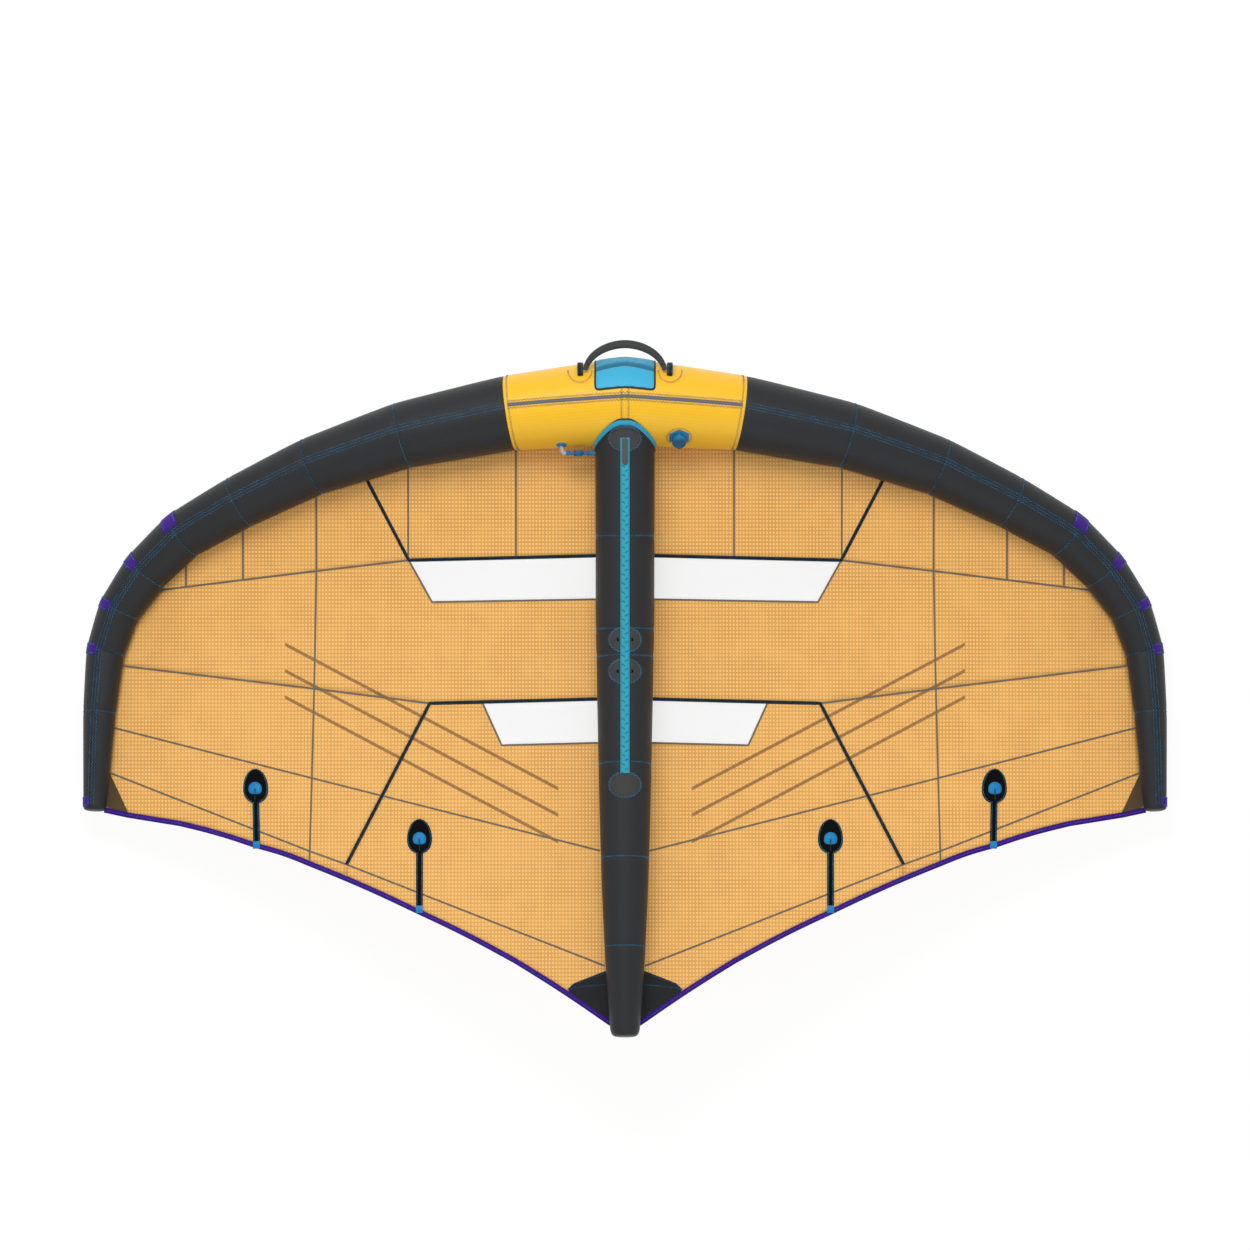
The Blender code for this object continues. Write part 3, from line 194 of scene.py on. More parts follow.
def shell(stock: Stock, low: Array, top: Array, wrap: bool = False,
          uvs: Array | None = None) -> None:
    """Add the closed body between a lower grid and an upper grid.

    Args:
        stock: What the body is added to.
        low: Points of the under side, in rows and columns.
        top: Points of the upper side, in the same rows and columns.
        wrap: Whether the columns close round.
        uvs: Cloth places of the points.
    """
    rows, cols = low.shape[:2]
    size = rows * cols
    faces = [face[::-1] for face in grid_faces(rows, cols, wrap)]
    faces += [[corner + size for corner in face] for face in grid_faces(rows, cols, wrap)]
    index = np.arange(size).reshape(rows, cols)
    rims = [index[0], index[-1]]
    if wrap:
        rims = [np.append(rim, rim[0]) for rim in rims]
    else:
        rims += [index[:, 0], index[:, -1]]
    for rim in rims:
        faces += np.stack([rim[:-1], rim[1:], rim[1:] + size, rim[:-1] + size], axis=1).tolist()
    both = None if uvs is None else np.concatenate([uvs.reshape(-1, 2)] * 2)
    stock.add(np.concatenate([low.reshape(-1, 3), top.reshape(-1, 3)]), faces, both)


def carried(stock: Stock, line: Array, sides: Array, tops: Array, profile: Array,
            scales: Array | None = None) -> None:
    """Add the solid that a closed profile sweeps along a line.

    A point is the line's point, plus the profile's first value along its side direction and
    the second along its top direction.

    Args:
        stock: What the solid is added to.
        line: The path.
        sides: The side direction at each point of the path.
        tops: The top direction at each point of the path.
        profile: Closed outline of the section, in metres.
        scales: The section's size at each point of the path.
    """
    size = np.ones(len(line)) if scales is None else scales
    section = profile[None, :, :] * size[:, None, None]
    points = (line[:, None, :] + sides[:, None, :] * section[..., :1]
              + tops[:, None, :] * section[..., 1:])
    rows, cols = points.shape[:2]
    faces = grid_faces(rows, cols, True)
    faces.append(list(range(cols)))
    faces.append(list(range((rows - 1) * cols, rows * cols))[::-1])
    along = np.repeat(run_of(line)[:, None], cols, axis=1)
    across = np.repeat(np.linspace(0.0, 1.0, cols)[None, :], rows, axis=0)
    spread = np.ptp(profile[:, 0]) * 2.0
    stock.add(points, faces, np.stack([along, across * spread], axis=-1))


def oval(width: float, height: float, sides: int = 16, squareness: float = 1.0) -> Array:
    """A closed oval outline: the cosine and sine of each angle, raised to the squareness."""
    angle = np.linspace(0.0, 2.0 * math.pi, sides, endpoint=False)
    across = np.sign(np.cos(angle)) * np.abs(np.cos(angle)) ** squareness
    rise = np.sign(np.sin(angle)) * np.abs(np.sin(angle)) ** squareness
    return np.stack([across * width / 2.0, rise * height / 2.0], axis=1)


def frames_of(line: Array, tops: Array) -> tuple[Array, Array]:
    """The side and top directions of a line that lies on a surface with the given normals."""
    tangents = unit(np.gradient(line, axis=0))
    sides = unit(np.cross(tangents, tops))
    return sides, np.cross(sides, tangents)


def tape_profile(width: float, thickness: float, edge: float) -> Array:
    """The section of a flat tape that lies on a surface, with sloping edges."""
    half = width / 2.0
    return np.array([(-half, -thickness * 0.3), (-half, thickness * 0.4), (-half + edge, thickness),
                     (0.0, thickness * 1.12), (half - edge, thickness), (half, thickness * 0.4),
                     (half, -thickness * 0.3), (0.0, -thickness * 0.3)])


@dataclass(frozen=True)
class Stitch:
    """A zigzag stitch: its width across, its pitch along and its thread's diameter."""

    width: float = 0.0050
    pitch: float = 0.0062
    thread: float = 0.0016

    def sew(self, stock: Stock, line: Array, normals: Array, offset: float = 0.0,
            lift: float = 0.0) -> None:
        """Add the thread of one run along a line on a surface.

        The thread's points step half a pitch along the line and swing from one side of it to
        the other, and the thread has four sides.

        Args:
            stock: What the thread is added to.
            line: The run's path.
            normals: The surface's directions along the path.
            offset: How far the run lies beside the path.
            lift: How far it lies above the surface.
        """
        count = max(int(round(run_of(line)[-1] / self.pitch * 2.0)), 2)
        shares = np.linspace(0.0, 1.0, count + 1)
        place = read_at(line, line, shares)
        normal = unit(read_at(normals, line, shares))
        tangent = unit(np.gradient(place, axis=0))
        side = unit(np.cross(tangent, normal))
        swing = np.where(np.arange(count + 1) % 2, 1.0, -1.0) * self.width / 2.0 + offset
        centre = place + side * swing[:, None] + normal * (lift + self.thread * 0.2)
        half = self.thread / 2.0
        along = tangent if self.width > self.thread else side
        points = np.stack([centre + along * half, centre + normal * half,
                           centre - along * half, centre - normal * half], axis=1)
        faces = grid_faces(count + 1, 4, True) + [[0, 1, 2, 3]]
        faces.append([count * 4 + corner for corner in (3, 2, 1, 0)])
        stock.add(points, faces)


def linear(value: float) -> float:
    """One 8-bit sRGB channel as a linear value."""
    share = value / 255.0
    return share / 12.92 if share <= 0.04045 else ((share + 0.055) / 1.055) ** 2.4


@dataclass(frozen=True)
class Colour:
    """A colour as 8-bit sRGB values."""

    red: float
    green: float
    blue: float

    @property
    def value(self) -> tuple[float, float, float, float]:
        """The colour as a socket holds it."""
        return (linear(self.red), linear(self.green), linear(self.blue), 1.0)


class Pattern(Enum):
    """Where a material's pattern lies: in the object's own space, or along the cloth."""

    SPACE = "Object"
    CLOTH = "Cloth"


class Nodes:
    """A material with short ways to fill its node tree."""

    def __init__(self, name: str) -> None:
        """Make the material with its Principled shader."""
        self.material = bpy.data.materials.new(name)
        self.material.use_nodes = True
        self.tree = self.material.node_tree
        self.shader = self.tree.nodes["Principled BSDF"]

    def new(self, kind: str, inputs: dict[Any, Any] | None = None, **settings: Any) -> Any:
        """Add a node.

        Args:
            kind: The node's type after ShaderNode.
            inputs: Values or sockets by the input's name or number.
            **settings: The node's own settings.

        Returns:
            The node.
        """
        node = self.tree.nodes.new("ShaderNode" + kind)
        for key, value in settings.items():
            setattr(node, key, value)
        for key, value in (inputs or {}).items():
            self.put(node.inputs[key], value)
        return node

    def put(self, socket: Any, value: Any) -> None:
        """Link a socket to an input, or set the input's own value."""
        if isinstance(value, bpy.types.NodeSocket):
            self.tree.links.new(value, socket)
        else:
            socket.default_value = value

    def math(self, operation: str, *values: Any) -> Any:
        """The result of a sum on sockets and numbers."""
        return self.new("Math", dict(enumerate(values)), operation=operation).outputs[0]

    def place(self, pattern: Pattern) -> Any:
        """The coordinates that a pattern reads."""
        if pattern is Pattern.CLOTH:
            return self.new("UVMap", uv_map="Cloth").outputs[0]
        return self.new("TexCoord").outputs["Object"]

    def split(self, vector: Any) -> tuple[Any, Any, Any]:
        """The three parts of a vector."""
        node = self.new("SeparateXYZ", {0: vector})
        return node.outputs[0], node.outputs[1], node.outputs[2]

    def noise(self, vector: Any, size: float, detail: float = 3.0) -> Any:
        """Soft noise from 0 to 1 with features of the given size in metres."""
        return self.new("TexNoise", {"Vector": vector, "Scale": 1.0 / size,
                                     "Detail": detail}).outputs[0]

    def spread(self, value: Any, low: float, high: float, new_low: float = 0.0,
               new_high: float = 1.0) -> Any:
        """A value carried from one range to another, softly and within its limits."""
        node = self.new("MapRange", {0: value, 1: low, 2: high, 3: new_low, 4: new_high},
                        interpolation_type="SMOOTHSTEP")
        return node.outputs[0]

    def blend(self, share: Any, first: Any, second: Any) -> Any:
        """A colour between two, by a share."""
        node = self.new("Mix", {0: share, 6: first, 7: second}, data_type="RGBA")
        return node.outputs[2]

    def ribs(self, at: Any, pitch: float, share: float) -> Any:
        """Soft lines that repeat: 1 on a line and 0 between, where share is a line's width."""
        turn = self.math("FRACT", self.math("DIVIDE", at, pitch))
        away = self.math("MULTIPLY", self.math("ABSOLUTE", self.math("SUBTRACT", turn, 0.5)), 2.0)
        return self.spread(away, 1.0 - share * 1.5, 1.0 - share * 0.5)

    def wave(self, at: Any, pitch: float) -> Any:
        """A sine of the given pitch."""
        return self.math("SINE", self.math("MULTIPLY", at, 2.0 * math.pi / pitch))

    def bump(self, height: Any, distance: float, strength: float = 1.0) -> None:
        """Give the shader a bump of the given depth in metres."""
        node = self.new("Bump", {"Strength": strength, "Distance": distance, "Height": height})
        self.put(self.shader.inputs["Normal"], node.outputs[0])

    def finish(self, colour: Any, roughness: Any, **constants: Any) -> bpy.types.Material:
        """Set the shader's colour, roughness and constant values, and return the material."""
        self.put(self.shader.inputs["Base Color"], colour)
        self.put(self.shader.inputs["Roughness"], roughness)
        for key, value in constants.items():
            self.shader.inputs[key.replace("_", " ")].default_value = value
        return self.material


@dataclass(frozen=True)
class Woven:
    """Woven cloth: fine threads, a coarser ripstop grid, uneven dye and a soft sheen."""

    name: str
    colour: Colour
    grid_colour: Colour
    pattern: Pattern = Pattern.CLOTH
    weave: float = 0.0011
    weave_depth: float = 0.00010
    grid: float = 0.0
    grid_length: float = 0.0
    grid_share: float = 0.30
    grid_strength: float = 0.6
    roughness: float = 0.58
    sheen: float = 0.10
    mottle: float = 0.06
    gloss: float = 0.35

    def coat(self, nodes: Nodes, x: Any, y: Any, colour: Any) -> Any:
        """Change the colour before it reaches the shader. A plain cloth leaves it."""
        return colour

    def build(self) -> bpy.types.Material:
        """Make the cloth's material.

        Returns:
            A material whose threads are the product of two sines, with the grid's lines
            raised above them, and whose colour and gloss vary by soft noise.
        """
        nodes = Nodes(self.name)
        place = nodes.place(self.pattern)
        x, y, _ = nodes.split(place)
        threads = nodes.math("MULTIPLY", nodes.wave(x, self.weave), nodes.wave(y, self.weave))
        cloud = nodes.noise(place, 0.09)
        fine = nodes.noise(place, 0.006, 2.0)
        colour: Any = self.colour.value
        height = nodes.math("MULTIPLY", threads, 0.5)
        if self.grid:
            warp = nodes.ribs(x, self.grid, self.grid_share)
            weft = nodes.ribs(y, self.grid_length or self.grid, self.grid_share)
            lines = nodes.math("MAXIMUM", warp, weft)
            drift = nodes.spread(cloud, 0.3, 0.7, 0.75, 1.0)
            share = nodes.math("MULTIPLY", nodes.math("MULTIPLY", lines, drift),
                               self.grid_strength)
            colour = nodes.blend(nodes.math("MINIMUM", share, 1.0), colour, self.grid_colour.value)
            height = nodes.math("ADD", height, lines)
        colour = self.coat(nodes, x, y, colour)
        dark = nodes.new("HueSaturation", {
            "Color": colour, "Value": nodes.math("ADD", nodes.math(
                "MULTIPLY", nodes.math("ADD", cloud, fine), self.mottle), 1.0 - self.mottle)})
        nodes.bump(height, self.weave_depth)
        gloss = nodes.spread(fine, 0.2, 0.8, self.roughness - 0.06, self.roughness + 0.06)
        return nodes.finish(dark.outputs[0], gloss, Sheen_Weight=self.sheen,
                            Sheen_Roughness=0.45, Specular_IOR_Level=self.gloss)


@dataclass(frozen=True)
class Striped(Woven):
    """Ripstop with plain brown stripes that run beside the trailing edge of each half."""

    stripe_colour: Colour = Colour(152, 110, 58)
    slope: float = 0.527
    first: float = -0.500
    pitch: float = 0.070
    width: float = 0.0100
    count: int = 3
    inner: float = 0.20
    outer: float = 1.02

    def coat(self, nodes: Nodes, x: Any, y: Any, colour: Any) -> Any:
        """Lay the stripes over the cloth's colour.

        A place's distance is measured square to lines that fall by the slope towards the
        middle of the wing. A stripe shows within half a width of its own distance, and
        between its inner and outer reach.
        """
        reach = nodes.math("ABSOLUTE", x)
        fall = nodes.math("SUBTRACT", y, nodes.math("MULTIPLY", reach, self.slope))
        away = nodes.math("DIVIDE", fall, math.hypot(1.0, self.slope))
        within = nodes.math("MULTIPLY", nodes.math("GREATER_THAN", reach, self.inner),
                            nodes.math("LESS_THAN", reach, self.outer))
        for number in range(self.count):
            centre = self.first + number * self.pitch
            gap = nodes.math("ABSOLUTE", nodes.math("SUBTRACT", away, centre))
            share = nodes.math("MULTIPLY", nodes.spread(gap, self.width * 0.55, self.width * 0.4),
                               within)
            colour = nodes.blend(share, colour, self.stripe_colour.value)
        return colour


@dataclass(frozen=True)
class Chevroned(Woven):
    """Webbing with small dark chevrons that alternate from edge to edge."""

    mark_colour: Colour = Colour(28, 104, 126)
    step: float = 0.0135
    half_width: float = 0.0138

    def coat(self, nodes: Nodes, x: Any, y: Any, colour: Any) -> Any:
        """Lay the chevrons: a slanting bar on the left half, then one on the right half."""
        lean = nodes.math("MULTIPLY", nodes.math("ABSOLUTE", y), 0.55)
        turn = nodes.math("FRACT", nodes.math("DIVIDE", nodes.math("ADD", x, lean),
                                              self.step * 2.0))
        bar = nodes.spread(nodes.math("ABSOLUTE", nodes.math("SUBTRACT", turn, 0.25)), 0.09, 0.06)
        other = nodes.spread(nodes.math("ABSOLUTE", nodes.math("SUBTRACT", turn, 0.75)), 0.09,
                             0.06)
        left = nodes.math("MULTIPLY", bar, nodes.math("LESS_THAN", y, 0.0))
        right = nodes.math("MULTIPLY", other, nodes.math("GREATER_THAN", y, 0.0))
        inside = nodes.math("LESS_THAN", nodes.math("ABSOLUTE", y), self.half_width * 0.72)
        share = nodes.math("MULTIPLY", nodes.math("MAXIMUM", left, right), inside)
        return nodes.blend(share, colour, self.mark_colour.value)


@dataclass(frozen=True)
class CreaseShaded(Woven):
    """Cloth with painted shade at a fold, in small specks that grow dense towards it."""

    # Painted shade: the colour that the cloth darkens to in front of and in the fold.
    crease_shade_colour: Colour = Colour(24, 96, 122)

    def coat(self, nodes: Nodes, x: Any, y: Any, colour: Any) -> Any:
        """Paint the fold's shade: darken the cloth where the fold's share is above the specks' noise."""
        # Painted shade of the fold, read from the mesh's Crease attribute.
        near = nodes.new("Attribute", attribute_name="Crease").outputs["Fac"]
        speck = nodes.noise(nodes.place(Pattern.SPACE), 0.0022, 1.0)
        share = nodes.spread(nodes.math("SUBTRACT", near, nodes.math(
            "MULTIPLY", speck, 0.9)), -0.25, 0.35, 0.0, 0.9)
        return nodes.blend(share, colour, self.crease_shade_colour.value)


@dataclass(frozen=True)
class Moulded:
    """Moulded plastic or rubber: a fine grain, faint scuffs and an even gloss."""

    name: str
    colour: Colour
    roughness: float = 0.35
    grain: float = 0.0010
    grain_depth: float = 0.00004
    coat: float = 0.0
    alpha: float = 1.0
    shine: float = 0.5

    def build(self) -> bpy.types.Material:
        """Make the material, whose gloss is broken by two sizes of noise."""
        nodes = Nodes(self.name)
        place = nodes.place(Pattern.SPACE)
        grain = nodes.noise(place, self.grain, 3.0)
        scuff = nodes.noise(place, 0.012, 5.0)
        lighter = Colour(min(self.colour.red * 1.25 + 8, 255), min(self.colour.green * 1.25 + 8, 255),
                         min(self.colour.blue * 1.25 + 8, 255))
        colour = nodes.blend(nodes.spread(scuff, 0.55, 0.75, 0.0, 0.35), self.colour.value,
                             lighter.value)
        gloss = nodes.spread(scuff, 0.3, 0.7, self.roughness, self.roughness + 0.14)
        nodes.bump(grain, self.grain_depth)
        return nodes.finish(colour, gloss, Coat_Weight=self.coat, Alpha=self.alpha,
                            Specular_IOR_Level=self.shine)


@dataclass(frozen=True)
class Thread:
    """Sewing thread: a twisted bump and small changes of shade."""

    name: str
    colour: Colour
    twist: float = 0.0009

    def build(self) -> bpy.types.Material:
        """Make the thread's material."""
        nodes = Nodes(self.name)
        place = nodes.place(Pattern.SPACE)
        fibre = nodes.noise(place, self.twist, 2.0)
        shade = nodes.noise(place, 0.02, 2.0)
        deep = Colour(self.colour.red * 0.72, self.colour.green * 0.72, self.colour.blue * 0.72)
        colour = nodes.blend(nodes.spread(shade, 0.35, 0.65), deep.value, self.colour.value)
        nodes.bump(fibre, 0.0002)
        return nodes.finish(colour, 0.55, Sheen_Weight=0.1, Specular_IOR_Level=0.4)


class Finishes:
    """Every material of the wing, made once."""

    def __init__(self) -> None:
        """Build the materials."""
        self.canopy = Striped("canopy_ripstop", Colour(255, 197, 108), Colour(206, 150, 82),
                              pattern=Pattern.SPACE, grid=0.01002, grid_length=0.01150,
                              grid_share=0.42, grid_strength=0.95, roughness=0.60, weave_depth=0.00012).build()
        self.tube = Woven("tube_cloth", Colour(30, 32, 35), Colour(38, 40, 43), grid=0.0060,
                          grid_share=0.25, roughness=0.46, sheen=0.03, mottle=0.10,
                          gloss=0.22).build()
        self.nose = Woven("nose_cloth", Colour(241, 187, 24), Colour(231, 173, 24), grid=0.0060,
                          grid_share=0.25, roughness=0.36, mottle=0.05, gloss=0.38).build()
        self.disc = Woven("disc_cloth", Colour(47, 47, 49), Colour(58, 58, 60), grid=0.0036,
                          grid_share=0.35, roughness=0.6, sheen=0.05, gloss=0.3,
                          weave_depth=0.00018).build()
        # Near black: the insert's own black and the painted shade of its screw hole.
        self.bush = Woven("bush_black_and_hole_shade", Colour(2, 2, 2), Colour(4, 4, 4), grid=0.0020,
                          roughness=0.75, sheen=0.0, gloss=0.05).build()
        self.patch = Woven("patch_cloth", Colour(18, 19, 21), Colour(28, 29, 32), grid=0.0042,
                           grid_share=0.35, roughness=0.62, weave_depth=0.00018,
                           sheen=0.03, gloss=0.2).build()
        self.tip_patch = Woven("tip_patch_cloth", Colour(84, 65, 39), Colour(66, 52, 34),
                               grid=0.0042, grid_share=0.35, roughness=0.62, sheen=0.03,
                               gloss=0.2).build()
        self.pocket = Woven("pocket_cloth", Colour(2, 3, 4), Colour(7, 9, 11), grid=0.0050,
                            grid_share=0.30, roughness=0.7, sheen=0.0, gloss=0.06).build()
        # The pad's cloth has painted shade in and in front of its fold.
        self.pad = CreaseShaded("pad_cloth", Colour(62, 178, 216), Colour(46, 156, 196), grid=0.0034,
                           grid_share=0.35, roughness=0.56, weave_depth=0.00016).build()
        self.piping = Woven("piping_cloth", Colour(18, 19, 21), Colour(32, 33, 35), grid=0.0030,
                            roughness=0.6).build()
        self.collar = Woven("collar_cloth", Colour(32, 152, 184), Colour(22, 122, 152),
                            grid=0.0030, roughness=0.58).build()
        self.strap = Chevroned("strap_web", Colour(34, 166, 192), Colour(28, 138, 164),
                               weave=0.0018, weave_depth=0.0003, grid=0.0030, grid_share=0.35,
                               grid_strength=0.5, roughness=0.65, sheen=0.15).build()
        self.tongue = Woven("tongue_cloth", Colour(76, 75, 78), Colour(58, 57, 60), grid=0.0028,
                            roughness=0.7, sheen=0.2).build()
        self.handle = Woven("handle_cover", Colour(58, 59, 59), Colour(38, 39, 40), grid=0.0032,
                            grid_share=0.45, roughness=0.68, weave_depth=0.0002).build()
        self.hem = Woven("hem_tape", Colour(58, 2, 134), Colour(44, 0, 104), grid=0.0032,
                         roughness=0.6, sheen=0.02, gloss=0.15).build()
        self.bumper = Woven("bumper_cloth", Colour(60, 22, 132), Colour(46, 14, 106), grid=0.0038,
                            grid_share=0.4, roughness=0.62, sheen=0.03, gloss=0.2).build()
        self.seam = Woven("seam_tape", Colour(116, 106, 88), Colour(100, 92, 76), grid=0.0028,
                          roughness=0.6).build()
        self.brace = Woven("brace_tape", Colour(6, 8, 10), Colour(14, 18, 22), grid=0.0030,
                           roughness=0.6, sheen=0.02, gloss=0.15).build()
        self.nose_tape = Woven("nose_tape", Colour(98, 98, 104), Colour(78, 80, 92), grid=0.0028,
                               roughness=0.58).build()
        self.blue_thread = Thread("blue_thread", Colour(14, 140, 190)).build()
        self.grey_thread = Thread("grey_thread", Colour(158, 134, 124)).build()
        self.seam_thread = Thread("seam_thread", Colour(88, 80, 66)).build()
        self.black_thread = Thread("black_thread", Colour(20, 21, 23)).build()
        self.blue_plastic = Moulded("blue_plastic", Colour(20, 110, 156), shine=0.3).build()
        self.dome_plastic = Moulded("dome_plastic", Colour(14, 122, 178), roughness=0.45,
                                    shine=0.25).build()
        self.dark_plastic = Moulded("dark_plastic", Colour(14, 84, 122), shine=0.3).build()
        self.rod = Moulded("batten_rod", Colour(28, 29, 32), roughness=0.4).build()
        self.bladder = Moulded("bladder_film", Colour(205, 214, 216), roughness=0.3).build()
        self.hose = Moulded("clear_hose", Colour(168, 182, 184), roughness=0.18, coat=0.3,
                            alpha=0.62).build()
        self.blue_hose = Moulded("blue_hose", Colour(20, 92, 158), roughness=0.22, coat=0.2,
                                 alpha=0.85).build()
        self.film = Moulded("window_film", Colour(244, 247, 249), roughness=0.10,
                            grain=0.05, grain_depth=0.0004, alpha=0.20).build()


def dress(name: str, mesh: bpy.types.Mesh, finish: bpy.types.Material,
          replaces: Sequence[str] = (), body: str = "wing", angle: float = 40.0,
          wall: float = 0.0) -> bpy.types.Object:
    """Put a piece in the scene, finish it and let it ride.

    Args:
        name: The piece's name.
        mesh: Its mesh, already in place.
        finish: Its material.
        replaces: The frame's nodes that it stands for.
        body: The body that carries it.
        angle: Edges sharper than this many degrees stay crisp.
        wall: The thickness that an open sheet gets, inwards.

    Returns:
        The piece.
    """
    piece = bpy.data.objects.new(name, mesh)
    bpy.context.scene.collection.objects.link(piece)
    mesh.materials.append(finish)
    mesh.shade_smooth()
    mesh.set_sharp_from_angle(angle=math.radians(angle))
    if wall:
        solid = piece.modifiers.new("wall", "SOLIDIFY")
        solid.thickness = wall
        solid.offset = -1.0
        solid.use_rim = True
    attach(piece, body)
    if replaces:
        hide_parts(*replaces)
    LOG.info("%s: %d points on body %s", name, len(mesh.vertices), body)
    return piece


class TubeLine:
    """A round inflated tube along stations, with seams that draw it in.

    A place on it is a station number u and an angle v, which is 0 at the side and a quarter
    turn at the top.
    """

    def __init__(self, centres: Array, radii: Array, rounding: float, seams: Array,
                 pinch: float, crease: float, bulge: float, squareness: float) -> None:
        """Keep the stations and measure the line.

        Args:
            centres: The axis at each station.
            radii: The radius at each station.
            rounding: How far the axis leaves the straight lines for a smooth curve, as a share.
            seams: Station numbers of the cross seams.
            pinch: How deep a seam draws the tube in.
            crease: The height of the creases beside a seam on the inner side of a bend.
            bulge: How far a rounded end stands out past its station.
            squareness: The power of the end's cosine, which is flatter the smaller it is.
        """
        self.squareness = squareness
        self.centres = centres
        self.radii = radii
        self.rounding = rounding
        self.pinch = pinch
        self.crease = crease
        self.bulge = bulge
        self.stations = np.arange(len(centres), dtype=float)
        self.lengths = run_of(centres)
        self.legs = unit(np.diff(centres, axis=0))
        self.mitres = unit(np.concatenate([self.legs[:1], self.legs[:-1] + self.legs[1:],
                                           self.legs[-1:]]))
        self.seam_runs = np.interp(seams, self.stations, self.lengths)

    def centre(self, u: Array) -> Array:
        """The axis: straight between stations, moved by a share towards the smooth curve."""
        straight = np.stack([np.interp(u, self.stations, self.centres[:, part])
                             for part in range(3)], axis=-1)
        curve = smooth_read(u, self.stations, self.centres)
        return straight + (curve - straight) * self.rounding

    def axes(self, u: Array) -> tuple[Array, Array, Array]:
        """The directions along, to the side and to the top.

        The direction along is a leg's own in its middle third, and eases to the mean of two
        legs at the station where they meet.
        """
        leg = np.clip(np.floor(u).astype(int), 0, len(self.legs) - 1)
        part = (u - leg)[..., None]
        lead, tail = eased(part, 0.0, 1.0 / 3.0), eased(part, 2.0 / 3.0, 1.0)
        along = unit(self.mitres[leg] * (1.0 - lead) + self.legs[leg] * (lead - tail)
                     + self.mitres[leg + 1] * tail)
        side = unit(np.cross(UP, along))
        return along, side, np.cross(along, side)

    def seam_gap(self, u: Array) -> Array:
        """The distance along the tube to the nearest cross seam."""
        run = np.interp(u, self.stations, self.lengths)
        return np.min(np.abs(run[..., None] - self.seam_runs), axis=-1)

    def radius(self, u: Array, v: Array) -> Array:
        """The radius: straight between stations, drawn in at seams and creased beside them.

        The seam's part falls off as a bell curve. The creases are cosines round the tube that
        fade with distance, and lie where the cosine of the angle is below zero.
        """
        plain = np.interp(u, self.stations, self.radii)
        gap = self.seam_gap(u)
        seam = -self.pinch * np.exp(-(gap / 0.010) ** 2)
        swell = plain * 0.006 * (1.0 - np.exp(-gap / 0.08))
        inner = np.clip(-np.cos(v), 0.0, 1.0) ** 1.5
        turn = np.round(u) * 1.7
        waves = np.cos(17.0 * v + turn) + 0.6 * np.cos(29.0 * v - 2.0 * turn)
        crease = self.crease * inner * waves * np.exp(-gap / 0.045) * (1.0 - np.exp(-gap / 0.012))
        return plain - plain * 0.006 + swell + seam + crease

    def surface(self, u: Array, v: Array, lift: float = 0.0) -> Array:
        """The point at station u and angle v: the axis, plus the radius along its direction."""
        u, v = np.broadcast_arrays(u, v)
        return self.centre(u) + self.normal(u, v) * (self.radius(u, v) + lift)[..., None]

    def normal(self, u: Array, v: Array) -> Array:
        """The direction out of the tube: cosine of v along the side and sine of v to the top."""
        u, v = np.broadcast_arrays(u, v)
        _, side, top = self.axes(u)
        return side * np.cos(v)[..., None] + top * np.sin(v)[..., None]

    def dome(self, end: int, turns: Array, v: Array, inset: float = 0.0) -> Array:
        """Rows of a rounded end, from a turn of 0 at the station to a quarter turn at the pole.

        A row's centre stands out by the bulge times the sine, and its radius is the tube's
        times the cosine to the power of the squareness.
        """
        u = np.full((len(turns), len(v)), self.stations[-1] if end > 0 else 0.0)
        along, _, _ = self.axes(u)
        shrink = np.clip(np.cos(turns), 0.0, 1.0) ** self.squareness * (turns < 1.5707)
        radius = (self.radius(u, v[None, :]) - inset) * shrink[:, None]
        out = (self.bulge - inset) * np.sin(turns)[:, None] * (1.0 if end > 0 else -1.0)
        return self.centre(u) + along * out[..., None] + self.normal(u, v[None, :]) * radius[..., None]

    def rows(self, first: float, last: float, step: float) -> Array:
        """Distances along the tube from first to last, closer together beside each seam."""
        marks = (self.seam_runs[:, None] + np.array(SEAM_ROWS)).ravel()
        marks = marks[(marks > first) & (marks < last)]
        even = np.linspace(first, last, max(int(round((last - first) / step)), 2) + 1)
        rows = np.unique(np.concatenate([even, marks]))
        rows = rows[np.append(True, np.diff(rows) > 0.0015)]
        rows[-1] = last
        return rows

    def panel(self, first: float, last: float, step: float, sides: int,
              domes: tuple[bool, bool] = (False, False), inset: float = 0.0) -> Stock:
        """The sleeve between two stations as one grid round the tube.

        Args:
            first: The station where it starts.
            last: The station where it ends.
            step: The length of a face.
            sides: The faces round the tube.
            domes: Whether each end is rounded and closed.
            inset: How far inside the outer surface it lies.

        Returns:
            The grid with its cloth places: the distances along and round the tube.
        """
        runs = np.interp([first, last], self.stations, self.lengths)
        rows = self.rows(*runs, step)
        u = np.interp(rows, self.lengths, self.stations)
        v = np.linspace(0.0, 2.0 * math.pi, sides + 1)
        grid = self.surface(u[:, None], v[None, :], -inset)
        turns = DOME_TURNS
        reach = self.bulge
        if domes[0]:
            grid = np.concatenate([self.dome(-1, turns, v, inset)[::-1], grid])
            rows = np.concatenate([runs[0] - reach * np.sin(turns)[::-1], rows])
        if domes[1]:
            grid = np.concatenate([grid, self.dome(1, turns, v, inset)])
            rows = np.concatenate([rows, runs[1] + reach * np.sin(turns)])
        round_it = v[None, :] * np.mean(self.radii)
        uvs = np.stack(np.broadcast_arrays(rows[:, None], round_it), axis=-1)
        stock = Stock()
        stock.add(grid, grid_faces(*grid.shape[:2]), uvs)
        return stock

    def hoop(self, u: float, points: int = 120, start: float = 0.0,
             sweep: float = 360.0) -> tuple[Array, Array]:
        """The line round the tube at a station, and the surface's directions along it."""
        v = np.radians(np.linspace(start, start + sweep, points))
        at = np.full_like(v, u)
        return self.surface(at, v), self.normal(at, v)

